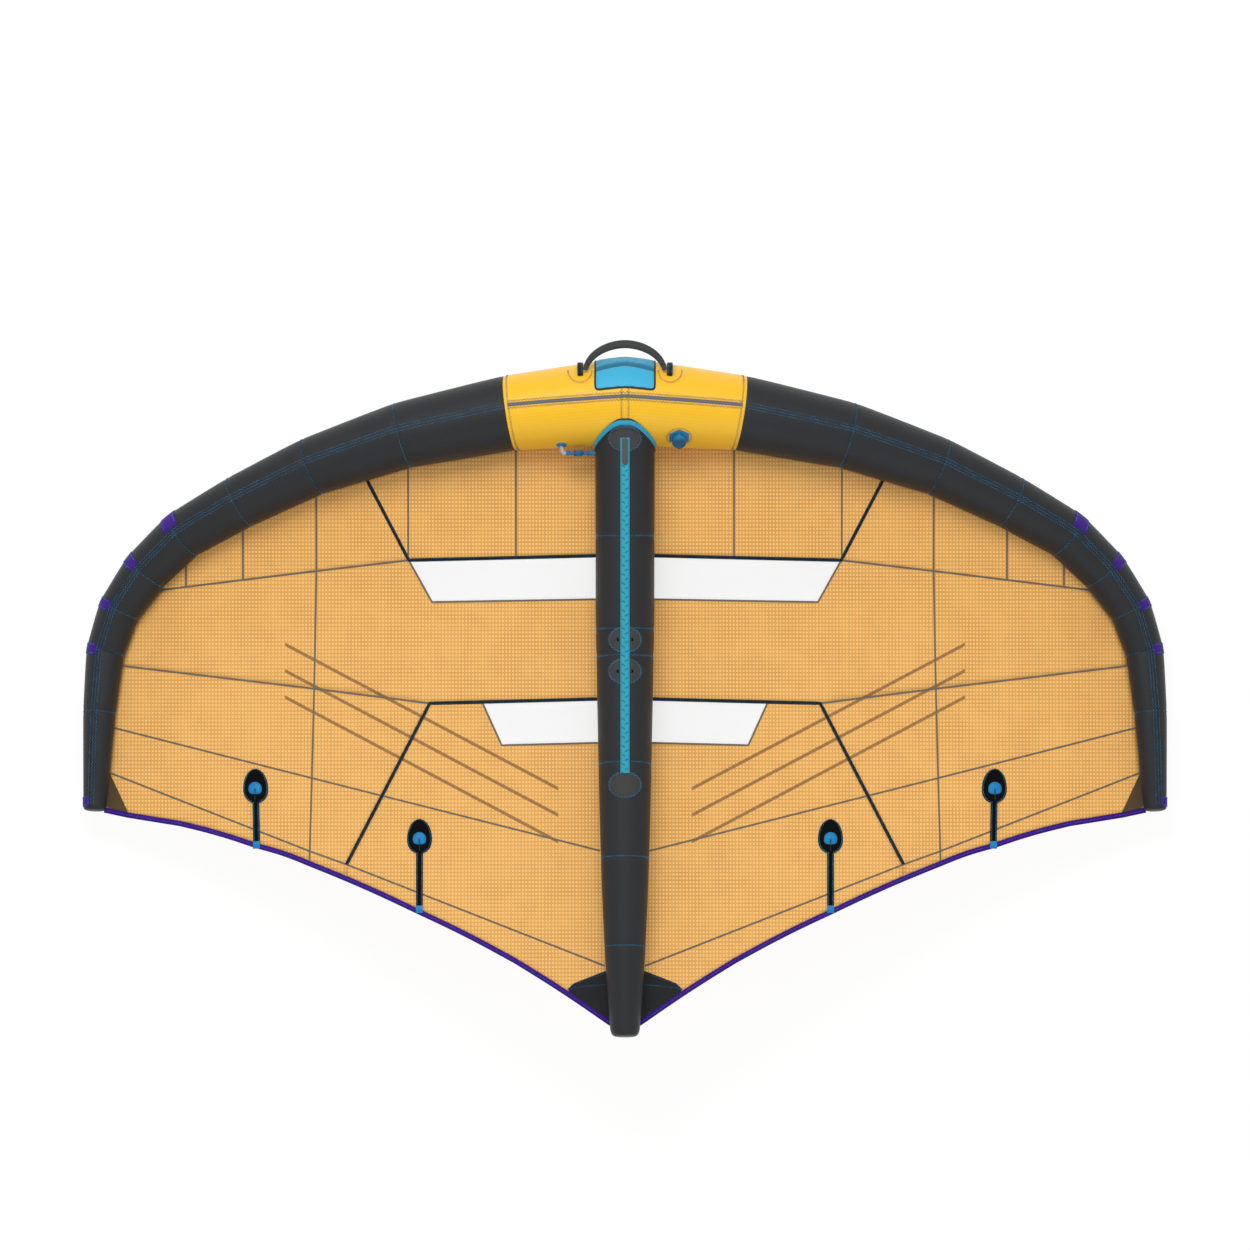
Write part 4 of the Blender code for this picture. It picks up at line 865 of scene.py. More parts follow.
    def rail(self, first: float, last: float, angle: Array | float,
             step: float = 0.02) -> tuple[Array, Array]:
        """The line along the tube at an angle in degrees, and the surface's directions."""
        runs = np.interp([first, last], self.stations, self.lengths)
        count = max(int(abs(runs[1] - runs[0]) / step), 4)
        u = np.interp(np.linspace(*runs, count + 1), self.lengths, self.stations)
        v = np.radians(np.broadcast_to(angle, u.shape).astype(float))
        return self.surface(u, v), self.normal(u, v)


@dataclass
class WingForm:
    """The shapes that all the pieces share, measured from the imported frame."""

    half_span: float = 1.586
    chord: float = 1.899
    nose_radius: float = 0.132
    dihedral_drop: float = 0.275
    strut_radius: float = 0.0895
    strut_lift: float = 0.032
    strut_camber: float = 0.150
    strut_tail: float = 0.0361
    billow: float = 0.095
    trailing_lift: float = 0.120
    washout: float = 0.345
    flat_share: float = math.cos(math.pi / 24.0)
    reach_shares: tuple[float, ...] = (0.0, 0.218, 0.419, 0.591, 0.729, 0.837, 0.908, 0.958,
                                       0.984, 0.995, 1.0032)
    sweep_shares: tuple[float, ...] = (0.0, 0.018, 0.053, 0.102, 0.158, 0.210, 0.268, 0.329,
                                       0.395, 0.491, 0.640)
    radius_shares: tuple[float, ...] = (1.0, 0.866, 0.768, 0.675, 0.620, 0.575, 0.545, 0.486,
                                        0.441, 0.376, 0.266)
    drop_shares: tuple[float, ...] = (0.0, 0.099, 0.253, 0.451, 0.637, 0.813, 0.956, 0.984, 1.0,
                                      0.905, 0.790)
    strut_place_shares: tuple[float, ...] = (0.0, 0.212, 0.359, 0.403, 0.572, 0.720, 0.859, 0.981)
    strut_radius_shares: tuple[float, ...] = (1.0, 0.997, 0.989, 0.970, 0.896, 0.820, 0.696, 0.510)
    strut_rise_shares: tuple[float, ...] = (0.0, 0.0, 0.050, 0.090, 0.320, 0.600, 0.830, 1.0)
    strut_seam_shares: tuple[float, ...] = (0.212, 0.359, 0.403, 0.572, 0.720, 0.859)
    trailing_shares: tuple[tuple[float, float], ...] = (
        (0.0, 0.990), (0.028, 0.983), (0.208, 0.885), (0.388, 0.809), (0.596, 0.733),
        (0.696, 0.705), (0.842, 0.670), (0.940, 0.657), (0.985, 0.649))
    attach_depth: float = 0.45
    camber_peak: float = 0.36
    seat_gap: float = 0.0004
    tip_bulge_share: float = 0.34

    def __post_init__(self) -> None:
        """Find the nose from its sleeve in the frame, and make the two tubes."""
        _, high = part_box("le_sleeve_centre")
        flat = self.nose_radius * self.flat_share
        self.nose_y = high.y - flat
        self.nose_z = high.z - flat
        self.tip = len(self.reach_shares) - 1
        self.leading = self.leading_line()
        self.strut = self.strut_line()
        keel = np.linspace(0.0, self.strut.stations[-1], 160)
        below = self.strut.surface(keel, np.full_like(keel, -math.pi / 2.0))
        self.keel_y = below[::-1, 1]
        self.keel_z = below[::-1, 2]

    def leading_line(self) -> TubeLine:
        """The leading edge from the left tip to the right tip, its middle station at zero."""
        order = np.arange(-self.tip, self.tip + 1)
        near = np.abs(order)
        reach = np.sign(order) * np.array(self.reach_shares)[near] * self.half_span
        sweep = self.nose_y - np.array(self.sweep_shares)[near] * self.chord
        height = self.nose_z - np.array(self.drop_shares)[near] * self.dihedral_drop
        radii = np.array(self.radius_shares)[near] * self.nose_radius * self.flat_share
        seams = np.array([number for number in range(1, 2 * self.tip)], float)
        return TubeLine(np.stack([reach, sweep, height], axis=1), radii, 0.07, seams, 0.0012,
                        0.0009, radii[0] * self.tip_bulge_share, 0.38)

    def strut_line(self) -> TubeLine:
        """The strut from inside the leading edge to its tail."""
        place = self.nose_y - np.array(self.strut_place_shares) * self.chord
        height = (self.nose_z + self.strut_lift
                  + np.array(self.strut_rise_shares) * self.strut_camber)
        radii = np.array(self.strut_radius_shares) * self.strut_radius * self.flat_share
        stations = np.arange(len(place), dtype=float)
        seams = np.interp(self.strut_seam_shares, self.strut_place_shares, stations)
        return TubeLine(np.stack([np.zeros_like(place), place, height], axis=1), radii, 0.5,
                        seams, 0.0009, 0.0, self.strut_tail, 0.3)

    def plan(self, shares: Sequence[Sequence[float]]) -> Array:
        """Plan places of the right half from reach and sweep shares."""
        table = np.array(shares, float)
        return np.stack([table[:, 0] * self.half_span,
                         self.nose_y - table[:, 1] * self.chord], axis=1)

    def axis_at(self, x: Array) -> tuple[Array, Array, Array]:
        """The place, height and radius of the leading edge's axis at a reach near the nose."""
        u = np.linspace(self.tip - 4.0, self.tip + 4.0, 161)
        line = self.leading.centre(u)
        radii = np.interp(u, self.leading.stations, self.leading.radii)
        return (np.interp(x, line[:, 0], line[:, 1]), np.interp(x, line[:, 0], line[:, 2]),
                np.interp(x, line[:, 0], radii))

    def nose_height(self, lift: float) -> Height:
        """The height over a plan place of the leading edge's upper side, moved out by a lift.

        It is the root of the radius squared less the distance squared, with the distance
        shortened by the sweep and the rise stretched by the slope of the axis.
        """
        def height(x: Array, y: Array) -> Array:
            axis_y, axis_z, radius = self.axis_at(x)
            step = 0.01
            ahead_y, ahead_z, _ = self.axis_at(x + step)
            behind_y, behind_z, _ = self.axis_at(x - step)
            sweep = np.hypot(1.0, (ahead_y - behind_y) / (2.0 * step))
            slope = np.hypot(1.0, (ahead_z - behind_z) / (2.0 * step))
            rise = (radius + lift) ** 2 - ((y - axis_y) / sweep) ** 2
            return axis_z + np.sqrt(np.maximum(rise, 1e-8)) * slope
        return height

    def strut_height(self, lift: float) -> Height:
        """The height over a plan place of the strut's upper side, moved out by a lift."""
        stations = np.linspace(0.0, self.strut.stations[-1], 400)
        line = self.strut.centre(stations)
        radii = self.strut.radius(stations, np.full_like(stations, math.pi / 2.0))

        def height(x: Array, y: Array) -> Array:
            axis_z = np.interp(y, line[::-1, 1], line[::-1, 2])
            radius = np.interp(y, line[::-1, 1], radii[::-1]) + lift
            return axis_z + np.sqrt(np.maximum(radius ** 2 - x ** 2, 1e-8))
        return height

    def canopy_height(self, x: Array, y: Array) -> Array:
        """The canopy's strut side: a chord line, less its billow, plus the strut's curve.

        The chord line runs straight from the tube to the trailing edge. The billow is the
        sine of the reach share to the power 0.85, times a camber that is one less a square
        on both sides of its peak. The strut's curve fades as the square of one less the
        reach share. Two long faint waves make the cloth uneven.
        """
        away = np.abs(x)
        sweep = self.nose_y - y
        height, part = self.chord_line(away, sweep)
        reach = np.minimum(away / self.half_span, 1.0)
        peak = self.camber_peak
        before = 1.0 - (1.0 - part / peak) ** 2
        after = 1.0 - ((part - peak) / (1.0 - peak)) ** 2
        sag = self.billow * np.sin(math.pi * reach ** 0.85) * np.where(part < peak, before, after)
        under = np.interp(y, self.keel_y, self.keel_z) - 3.0 * self.seat_gap
        change = under - self.chord_line(np.zeros_like(away), sweep)[0]
        fade = np.sin(math.pi * np.clip(part, 0.0, 1.0)) * np.sin(math.pi * reach)
        waves = np.sin(away * 21.0 + sweep * 9.0) + 0.7 * np.sin(away * 33.0 - sweep * 17.0)
        return height - sag + change * (1.0 - reach) ** 2 + 0.0016 * fade * waves

    def chord_line(self, away: Array, sweep: Array) -> tuple[Array, Array]:
        """The straight line from the tube to the trailing edge, and the share along it."""
        reach = np.array(self.reach_shares) * self.half_span
        radius = np.interp(away, reach, self.radius_shares) * self.nose_radius
        front = np.interp(away, reach, self.sweep_shares) * self.chord + radius
        drop = np.interp(away, reach, self.drop_shares) * self.dihedral_drop
        front_z = self.nose_z - drop - self.attach_depth * radius
        edge = np.array(self.trailing_shares)
        rear = np.interp(away, edge[:, 0] * self.half_span, edge[:, 1] * self.chord)
        share = np.minimum(away / self.half_span, 1.0)
        rear_z = self.nose_z + self.trailing_lift - self.washout * share ** 1.3
        part = np.clip((sweep - front) / np.maximum(rear - front, self.nose_radius), 0.0, 1.0)
        return front_z + (rear_z - front_z) * part, part

    def attach_line(self, u: Array) -> Array:
        """Plan places of the right half where the canopy meets the leading edge.

        From the axis, each place moves square to the tube in plan until the canopy's point
        there is as far from the axis as the tube's radius. The distance is halved 30 times.
        """
        centre = self.leading.centre(u)
        along, side, _ = self.leading.axes(u)
        inward = unit(-side[..., :2])
        radius = np.interp(u, self.leading.stations, self.leading.radii) + self.seat_gap
        low = radius * 0.3
        high = radius * 1.3
        for _ in range(30):
            middle = (low + high) / 2.0
            plan = centre[..., :2] + inward * middle[..., None]
            point = np.concatenate([plan, self.canopy_height(plan[..., 0], plan[..., 1])[..., None]],
                                   axis=-1)
            away = point - centre
            away -= np.sum(away * along, axis=-1, keepdims=True) * along
            inside = np.linalg.norm(away, axis=-1) < radius
            low = np.where(inside, middle, low)
            high = np.where(inside, high, middle)
        return centre[..., :2] + inward * high[..., None]

    def meeting(self, place: Array) -> float:
        """The station of the leading edge whose meeting line passes nearest a plan place."""
        u = np.linspace(self.tip, 2.0 * self.tip, 1001)
        return float(u[np.argmin(np.linalg.norm(self.attach_line(u) - place, axis=1))])

    def on_canopy(self, plan: Array, lift: float = 0.0) -> tuple[Array, Array]:
        """Points of the canopy over plan places, moved up by a lift, with their directions."""
        step = 0.004
        x, y = plan[..., 0], plan[..., 1]
        height = self.canopy_height(x, y)
        slope_x = (self.canopy_height(x + step, y) - self.canopy_height(x - step, y)) / (2 * step)
        slope_y = (self.canopy_height(x, y + step) - self.canopy_height(x, y - step)) / (2 * step)
        normal = unit(np.stack([-slope_x, -slope_y, np.ones_like(x)], axis=-1))
        return np.stack([x, y, height], axis=-1) + normal * lift, normal


def filled(line: Array, step: float) -> Array:
    """A line with points added so that none lie further apart than a step, corners kept."""
    parts = [line[:1]]
    for first, second in zip(line[:-1], line[1:]):
        count = max(int(math.ceil(np.linalg.norm(second - first) / step)), 1)
        share = np.linspace(0.0, 1.0, count + 1)[1:, None]
        parts.append(first + (second - first) * share)
    return np.concatenate(parts)


def marks_of(line: Array) -> Array:
    """The shares of a line's length at its own points."""
    run = run_of(line)
    return run / run[-1] if run[-1] > 1e-9 else np.linspace(0.0, 1.0, len(line))


def coons(front: Array, rear: Array, inner: Array, outer: Array, step: float) -> Array:
    """A plan grid that fills four edges.

    A place is the blend of front and rear across, plus the blend of inner and outer along,
    less the blend of the four corners.

    Args:
        front: The front edge from the inner end to the outer end.
        rear: The rear edge from the inner end to the outer end.
        inner: The inner edge from the front to the rear.
        outer: The outer edge from the front to the rear.
        step: The length of a face.

    Returns:
        Rows from front to rear and columns from the inner to the outer end.
    """
    width = max(run_of(front)[-1], run_of(rear)[-1])
    depth = max(run_of(inner)[-1], run_of(outer)[-1])
    s = np.linspace(0.0, 1.0, max(int(width / step), 2) + 1)
    t = np.linspace(0.0, 1.0, max(int(depth / step), 2) + 1)
    corners = np.concatenate([marks_of(front), marks_of(rear)])
    nearest = np.abs(s[:, None] - corners[None, :]).argmin(axis=0)
    s[nearest] = corners
    s = np.sort(s)
    f, r = read_at(front, front, s), read_at(rear, rear, s)
    i = read_at(inner, inner, t)
    o = read_at(outer, outer, t)
    s2, t2 = s[None, :, None], t[:, None, None]
    across = f[None] * (1.0 - t2) + r[None] * t2
    along = i[:, None] * (1.0 - s2) + o[:, None] * s2
    ends = (front[0] * (1 - s2) * (1 - t2) + front[-1] * s2 * (1 - t2)
            + rear[0] * (1 - s2) * t2 + rear[-1] * s2 * t2)
    return across + along - ends


def disc_plan(half_x: Array | float, half_y: Array | float, rings: int = 10,
              spokes: int = 48) -> tuple[Array, Array, Array]:
    """Rings and spokes of a round patch about its middle.

    Args:
        half_x: Half its width, for each spoke or for all.
        half_y: Half its length, for each spoke or for all.
        rings: How many rings it has.
        spokes: How many spokes it has.

    Returns:
        The plan offsets across and along, and each point's share of the way to the rim.
    """
    share = np.linspace(0.0, 1.0, rings + 1)
    share[0] = 0.02
    angle = np.linspace(0.0, 2.0 * math.pi, spokes, endpoint=False)
    x = share[:, None] * (np.cos(angle) * half_x)[None, :]
    y = share[:, None] * (np.sin(angle) * half_y)[None, :]
    return x, y, np.broadcast_to(share[:, None], x.shape)


def laid_disc(stock: Stock, height: Height, centre: tuple[float, float], x: Array, y: Array,
              share: Array, thickness: float, crown: float = 0.0) -> None:
    """Add a round patch that lies on a surface.

    Its thickness falls to two fifths at the rim and rises to the crown in the middle.

    Args:
        stock: What the patch is added to.
        height: The surface's height over a plan place.
        centre: The patch's middle in plan.
        x: Plan offsets of its points.
        y: Plan offsets of its points.
        share: Each point's share of the way to the rim.
        thickness: How thick it is.
        crown: How much more it rises in the middle.
    """
    px, py = x + centre[0], y + centre[1]
    low = np.stack([px, py, height(px, py)], axis=-1)
    step = 0.003
    slope_x = (height(px + step, py) - height(px - step, py)) / (2.0 * step)
    slope_y = (height(px, py + step) - height(px, py - step)) / (2.0 * step)
    normal = unit(np.stack([-slope_x, -slope_y, np.ones_like(px)], axis=-1))
    rise = thickness * (1.0 - 0.6 * eased(share, 0.93, 1.0)) + crown * (1.0 - share ** 2)
    top = low + normal * rise[..., None]
    uvs = np.stack([px, py], axis=-1)
    shell(stock, low, top, True, uvs)
    middle = np.arange(x.shape[1])
    size = x.size
    base = stock.count - 2 * size
    stock.faces.append([int(corner) + base for corner in middle][::-1])
    stock.faces.append([int(corner) + base + size for corner in middle])


def ring_on(height: Height, centre: tuple[float, float], half_x: float, half_y: float,
            points: int = 72) -> tuple[Array, Array]:
    """A closed oval line on a surface, and the surface's directions along it."""
    angle = np.linspace(0.0, 2.0 * math.pi, points + 1)
    return line_on(height, np.stack([centre[0] + half_x * np.cos(angle),
                                     centre[1] + half_y * np.sin(angle)], axis=1))


def line_on(height: Height, plan: Array) -> tuple[Array, Array]:
    """A plan line laid on a surface, and the surface's directions along it."""
    x, y = plan[:, 0], plan[:, 1]
    step = 0.002
    slope_x = (height(x + step, y) - height(x - step, y)) / (2.0 * step)
    slope_y = (height(x, y + step) - height(x, y - step)) / (2.0 * step)
    normal = unit(np.stack([-slope_x, -slope_y, np.ones_like(x)], axis=-1))
    return np.stack([x, y, height(x, y)], axis=-1), normal


@dataclass
class LeadingEdge:
    """The leading edge: sleeve panels, bladder, long seam, cross seams and tip bumpers."""

    form: WingForm
    finishes: Finishes
    wall: float = 0.0010
    step: float = 0.014
    sides: int = 88
    bladder_inset: float = 0.0042
    panels: tuple[tuple[str, int, int], ...] = (("inner", 1, 3), ("middle", 3, 5),
                                                ("bend", 5, 8), ("tip", 8, 10))
    seam_angle: float = 77.0
    nose_seam_angle: float = 83.0
    seam_rows: tuple[float, ...] = (-0.0088, 0.0, 0.0088)
    seam_stitch: Stitch = Stitch(0.0042, 0.0120, 0.0014)
    nose_stitch: Stitch = Stitch(0.0058, 0.0100, 0.0020)
    tape_width: float = 0.0115
    nose_edge: float = 0.975
    bumper_stations: tuple[float, ...] = (5.0, 6.0, 7.0, 8.0)
    bumper_lengths: tuple[float, ...] = (0.048, 0.037, 0.030, 0.032)
    bumper_angles: tuple[float, float] = (-28.0, 61.0)
    bumper_thickness: float = 0.0016

    def build(self) -> None:
        """Make every piece of the leading edge."""
        self.build_sleeves()
        self.build_bladder()
        self.build_seams()
        self.build_nose_trim()
        self.build_bumpers()

    def build_sleeves(self) -> None:
        """Make the yellow middle panel and the four black panels of each side."""
        tube, tip = self.form.leading, self.form.tip
        middle = tube.panel(tip - 1.0, tip + 1.0, self.step, self.sides)
        dress("sleeve_centre", middle.mesh("sleeve_centre", False), self.finishes.nose,
              ["le_sleeve_centre"], wall=self.wall)
        for side, sign in SIDES.items():
            for name, near, far in self.panels:
                first, last = sorted((tip + sign * near, tip + sign * far))
                is_tip = far == tip
                stock = tube.panel(first, last, self.step, self.sides,
                                   (is_tip and sign < 0, is_tip and sign > 0))
                piece = f"sleeve_{side}_{name}"
                dress(piece, stock.mesh(piece, False), self.finishes.tube,
                      [f"le_sleeve_{side}_{name}"], wall=self.wall)

    def build_bladder(self) -> None:
        """Make the film bladder just inside the sleeve."""
        stock = self.form.leading.panel(0.0, 2.0 * self.form.tip, 0.05, 32, (True, True),
                                        self.bladder_inset)
        dress("leading_bladder", stock.mesh("leading_bladder", False), self.finishes.bladder,
              ["le_bladder"], wall=0.0006)

    def long_seam(self, sign: float, first: float, last: float) -> tuple[Array, Array]:
        """The long seam's line on one side: its angle drifts outwards from nose to tip."""
        tip = self.form.tip
        tube = self.form.leading
        runs = np.interp([tip + sign * first, tip + sign * last], tube.stations, tube.lengths)
        u = np.interp(np.linspace(*runs, 260), tube.lengths, tube.stations)
        angle = np.interp(np.abs(u - tip), (0.0, 1.0, 5.0, 10.0),
                          (self.nose_seam_angle, self.seam_angle, 72.0, 70.0))
        v = np.radians(angle)
        return tube.surface(u, v), tube.normal(u, v)

    def build_seams(self) -> None:
        """Sew the three long runs and the hoops on the black panels."""
        tube, tip = self.form.leading, self.form.tip
        stock = Stock()
        for sign in SIDES.values():
            line, normals = self.long_seam(sign, 1.02, 9.98)
            for offset in self.seam_rows:
                self.seam_stitch.sew(stock, line, normals, offset)
            for station in range(2, tip):
                line, normals = tube.hoop(tip + sign * station)
                self.seam_stitch.sew(stock, line, normals, 0.0, 0.0004)
        dress("leading_thread", stock.mesh("leading_thread"), self.finishes.blue_thread)

    def build_nose_trim(self) -> None:
        """Make the grey tape and the pale stitching on the yellow panel."""
        tube, tip = self.form.leading, self.form.tip
        tape, thread = Stock(), Stock()
        u = np.linspace(tip - self.nose_edge, tip + self.nose_edge, 121)
        angle = np.interp(np.abs(u - tip), (0.0, 1.0), (self.nose_seam_angle, self.seam_angle))
        v = np.radians(angle)
        line, normals = tube.surface(u, v), tube.normal(u, v)
        sides, tops = frames_of(line, normals)
        carried(tape, line, sides, tops, tape_profile(self.tape_width, 0.0009, 0.0015))
        for offset in (-0.0108, 0.0108):
            self.nose_stitch.sew(thread, line, normals, offset)
        for sign in SIDES.values():
            hoop, out = tube.hoop(tip + sign * 0.968)
            self.nose_stitch.sew(thread, hoop, out)
        for offset in (-0.0105, 0.0105):
            hoop, out = tube.hoop(float(tip), 90, 70.0, 130.0)
            self.nose_stitch.sew(thread, hoop, out, offset)
        dress("nose_seam_tape", tape.mesh("nose_seam_tape"), self.finishes.nose_tape)
        dress("nose_thread", thread.mesh("nose_thread"), self.finishes.grey_thread)

    def build_bumpers(self) -> None:
        """Make the purple patches that guard the outer side of each bend, and sew their rims."""
        tube, tip = self.form.leading, self.form.tip
        thread = Stock()
        for side, sign in SIDES.items():
            for number, (station, length) in enumerate(zip(self.bumper_stations,
                                                           self.bumper_lengths), 1):
                self.bumper(f"bumper_{side}_{number}", tip + sign * station, length, thread)
            self.bumper(f"bumper_{side}_end", tip + sign * 9.95, 0.029, thread)
        dress("bumper_thread", thread.mesh("bumper_thread"), self.finishes.blue_thread)

    def bumper(self, name: str, station: float, length: float, thread: Stock) -> None:
        """Make one patch on the outer side of the tube, thinner at its rim.

        Args:
            name: The piece's name.
            station: The station at its middle.
            length: Its length along the tube.
            thread: Where its stitching goes.
        """
        tube = self.form.leading
        middle = np.interp(station, tube.stations, tube.lengths)
        share = np.linspace(-1.0, 1.0, 13)
        u = np.interp(middle + share * length / 2.0, tube.lengths, tube.stations)
        v = np.radians(np.linspace(*self.bumper_angles, 25))
        turn = np.linspace(-1.0, 1.0, 25)
        rim = np.maximum(np.abs(share)[:, None], np.abs(turn)[None, :])
        rise = self.bumper_thickness * (1.0 - 0.6 * eased(rim, 0.85, 1.0))
        low = tube.surface(u[:, None], v[None, :], 0.0002)
        top = low + tube.normal(u[:, None], v[None, :]) * rise[..., None]
        stock = Stock()
        uvs = np.stack(np.broadcast_arrays((share * length / 2.0)[:, None],
                                           (v * 0.07)[None, :]), axis=-1)
        shell(stock, low, top, False, uvs)
        dress(name, stock.mesh(name), self.finishes.bumper)
        inset = 0.82
        u_in = np.interp(middle + np.array((-inset, inset)) * length / 2.0, tube.lengths,
                         tube.stations)
        for at in u_in:
            line = tube.surface(np.full(20, at), v[2:-2][:20], self.bumper_thickness)
            out = tube.normal(np.full(20, at), v[2:-2][:20])
            Stitch(0.0026, 0.0050, 0.0010).sew(thread, line, out)


@dataclass
class Strut:
    """The centre strut: sleeve, bladder, seams, collar, patches, strap and tongue."""

    form: WingForm
    finishes: Finishes
    wall: float = 0.0010
    step: float = 0.012
    sides: int = 88
    bladder_inset: float = 0.0042
    collar_radius: float = 0.0058
    patch_shares: tuple[tuple[str, float], ...] = (
        ("front", 0.0585), ("middle_front", 0.3753), ("middle_rear", 0.4250), ("rear", 0.6035))
    patch_half: tuple[float, float] = (0.051, 0.0405)
    patch_thickness: float = 0.0020
    strap_width: float = 0.0276
    strap_thickness: float = 0.0018
    strap_start: float = 0.109
    strap_length: float = 1.002
    tongue_width: float = 0.018
    tongue_length: float = 0.081
    screw_pitch: float = 0.040
    screw_radius: float = 0.0050

    def build(self) -> None:
        """Make every piece of the strut."""
        self.build_sleeve()
        self.build_seams()
        self.build_collar()
        self.build_patches()
        self.build_strap()

    def front_station(self, v: Array, lift: float = 0.0) -> Array:
        """The station where the strut's surface comes out of the leading edge at each angle.

        The gap is a point's distance from the leading edge's axis, square to the span, less
        its radius. The station is halved towards the place where the gap is nothing.
        """
        low, high = np.zeros_like(v), np.full_like(v, 0.9)
        for _ in range(30):
            middle = (low + high) / 2.0
            point = self.form.strut.surface(middle, v)
            axis_y, axis_z, radius = self.form.axis_at(point[..., 0])
            gap = np.hypot(point[..., 1] - axis_y, point[..., 2] - axis_z) - radius - lift
            low = np.where(gap < 0.0, middle, low)
            high = np.where(gap < 0.0, high, middle)
        return high

    def build_sleeve(self) -> None:
        """Make the black sleeve from the leading edge to its rounded tail, and the bladder."""
        tube = self.form.strut
        v = np.linspace(0.0, 2.0 * math.pi, self.sides + 1)
        start = self.front_station(v, 0.0006)
        begin = np.interp(start, tube.stations, tube.lengths)
        end = tube.lengths[-1]
        even = begin.max() + self.step
        share = np.linspace(0.0, 1.0, 17)[:-1]
        rows = np.broadcast_to(tube.rows(even, end, self.step)[:, None],
                               (len(tube.rows(even, end, self.step)), len(v)))
        runs = np.concatenate([begin + (even - begin) * share[:, None], rows])
        u = np.interp(runs, tube.lengths, tube.stations)
        grid = tube.surface(u, np.broadcast_to(v, u.shape))
        turns = DOME_TURNS
        grid = np.concatenate([grid, tube.dome(1, turns, v)])
        tail = end + tube.bulge * np.sin(turns)
        runs = np.concatenate([runs, np.broadcast_to(tail[:, None], (len(turns), len(v)))])
        uvs = np.stack(np.broadcast_arrays(runs, v[None, :] * self.form.strut_radius), axis=-1)
        stock = Stock()
        stock.add(grid, grid_faces(*grid.shape[:2]), uvs)
        dress("strut_cloth", stock.mesh("strut_cloth", False), self.finishes.tube,
              ["strut_sleeve"], wall=self.wall)
        inner = tube.panel(0.75, tube.stations[-1], 0.05, 32, (False, True), self.bladder_inset)
        dress("strut_inner_bladder", inner.mesh("strut_inner_bladder", False),
              self.finishes.bladder, ["strut_bladder"], wall=0.0006)

    def build_seams(self) -> None:
        """Sew a hoop at each cross seam."""
        stock = Stock()
        stitch = Stitch(0.0050, 0.0120, 0.0017)
        tube = self.form.strut
        for share in self.form.strut_seam_shares:
            station = float(np.interp(share, self.form.strut_place_shares, tube.stations))
            line, normals = tube.hoop(station)
            stitch.sew(stock, line, normals)
        dress("strut_thread", stock.mesh("strut_thread"), self.finishes.blue_thread)

    def build_collar(self) -> None:
        """Make the turquoise band that joins the strut to the leading edge, and its binding.

        Each row is the line where the strut comes out of a leading edge grown by a lift, so
        the band follows both tubes.
        """
        v = np.radians(np.linspace(-25.0, 205.0, 97))
        tube = self.form.strut
        for name, rise, radius, finish, node in (
                ("collar", 0.0060, self.collar_radius, self.finishes.collar, ["strut_collar"]),
                ("collar_binding", 0.0165, 0.0030, self.finishes.piping, [])):
            lift = 0.0022 if node else 0.0010
            start = self.front_station(v, rise)
            line = tube.surface(start, v, lift)
            out = tube.normal(start, v)
            sides, tops = frames_of(line, out)
            stock = Stock()
            flat = oval(radius * (2.6 if node else 2.0), radius * (1.1 if node else 1.4), 14)
            carried(stock, line, sides, tops, flat)
            dress(name, stock.mesh(name), finish, node)

    def build_patches(self) -> None:
        """Make the four round patches with their scalloped stitching and screw bushes."""
        thread = Stock()
        bushes = Stock()
        half_x, half_y = self.patch_half
        for label, share in self.patch_shares:
            centre = (0.0, self.form.nose_y - self.form.chord * share)
            lie = self.form.strut_height(0.0004)
            x, y, rim = disc_plan(half_x, half_y, 12, 64)
            stock = Stock()
            laid_disc(stock, lie, centre, x, y, rim, self.patch_thickness, 0.0006)
            name = f"round_patch_{label}"
            dress(name, stock.mesh(name), self.finishes.disc,
                  [f"strut_patch_{label}"])
            over = self.form.strut_height(0.0004 + self.patch_thickness)
            line, normals = ring_on(over, centre, half_x * 0.93, half_y * 0.93)
            Stitch(0.0060, 0.0120, 0.0017).sew(thread, line, normals)
            if label.startswith("middle"):
                for side in SIDES.values():
                    self.bush(bushes, (side * self.screw_pitch / 2.0, centre[1]))
        dress("patch_thread", thread.mesh("patch_thread"), self.finishes.blue_thread)
        dress("screw_bushes", bushes.mesh("screw_bushes"), self.finishes.bush)

    def bush(self, stock: Stock, centre: tuple[float, float]) -> None:
        """Add one screw bush: a low collar with a shallow near-black floor in its hollow, as painted shade for
        a deep screw hole.
        """
        place, normal = line_on(self.form.strut_height(0.0004 + self.patch_thickness),
                                np.array([centre, (centre[0] + 0.001, centre[1])]))
        radius = self.screw_radius
        # The hollow's floor sits just under the lip; with the near-black finish it stands in for the painted
        # shade of a deep hole as well as the insert's own black.
        profile = np.array([(radius, -0.0006), (radius, 0.0007), (radius * 0.85, 0.0012),
                            (radius * 0.62, 0.0011), (radius * 0.50, 0.0006),
                            (radius * 0.05, 0.0005)])
        side = unit(np.cross(UP, np.cross(normal[0], np.array((1.0, 0.0, 0.0)))))
        other = np.cross(normal[0], side)
        angle = np.linspace(0.0, 2.0 * math.pi, 20, endpoint=False)
        spin = side[None, :] * np.cos(angle)[:, None] + other[None, :] * np.sin(angle)[:, None]
        points = (place[0] + spin[:, None, :] * profile[None, :, :1]
                  + normal[0] * profile[None, :, 1:])
        stock.add(np.concatenate([points, points[:1]]), grid_faces(21, len(profile), True))

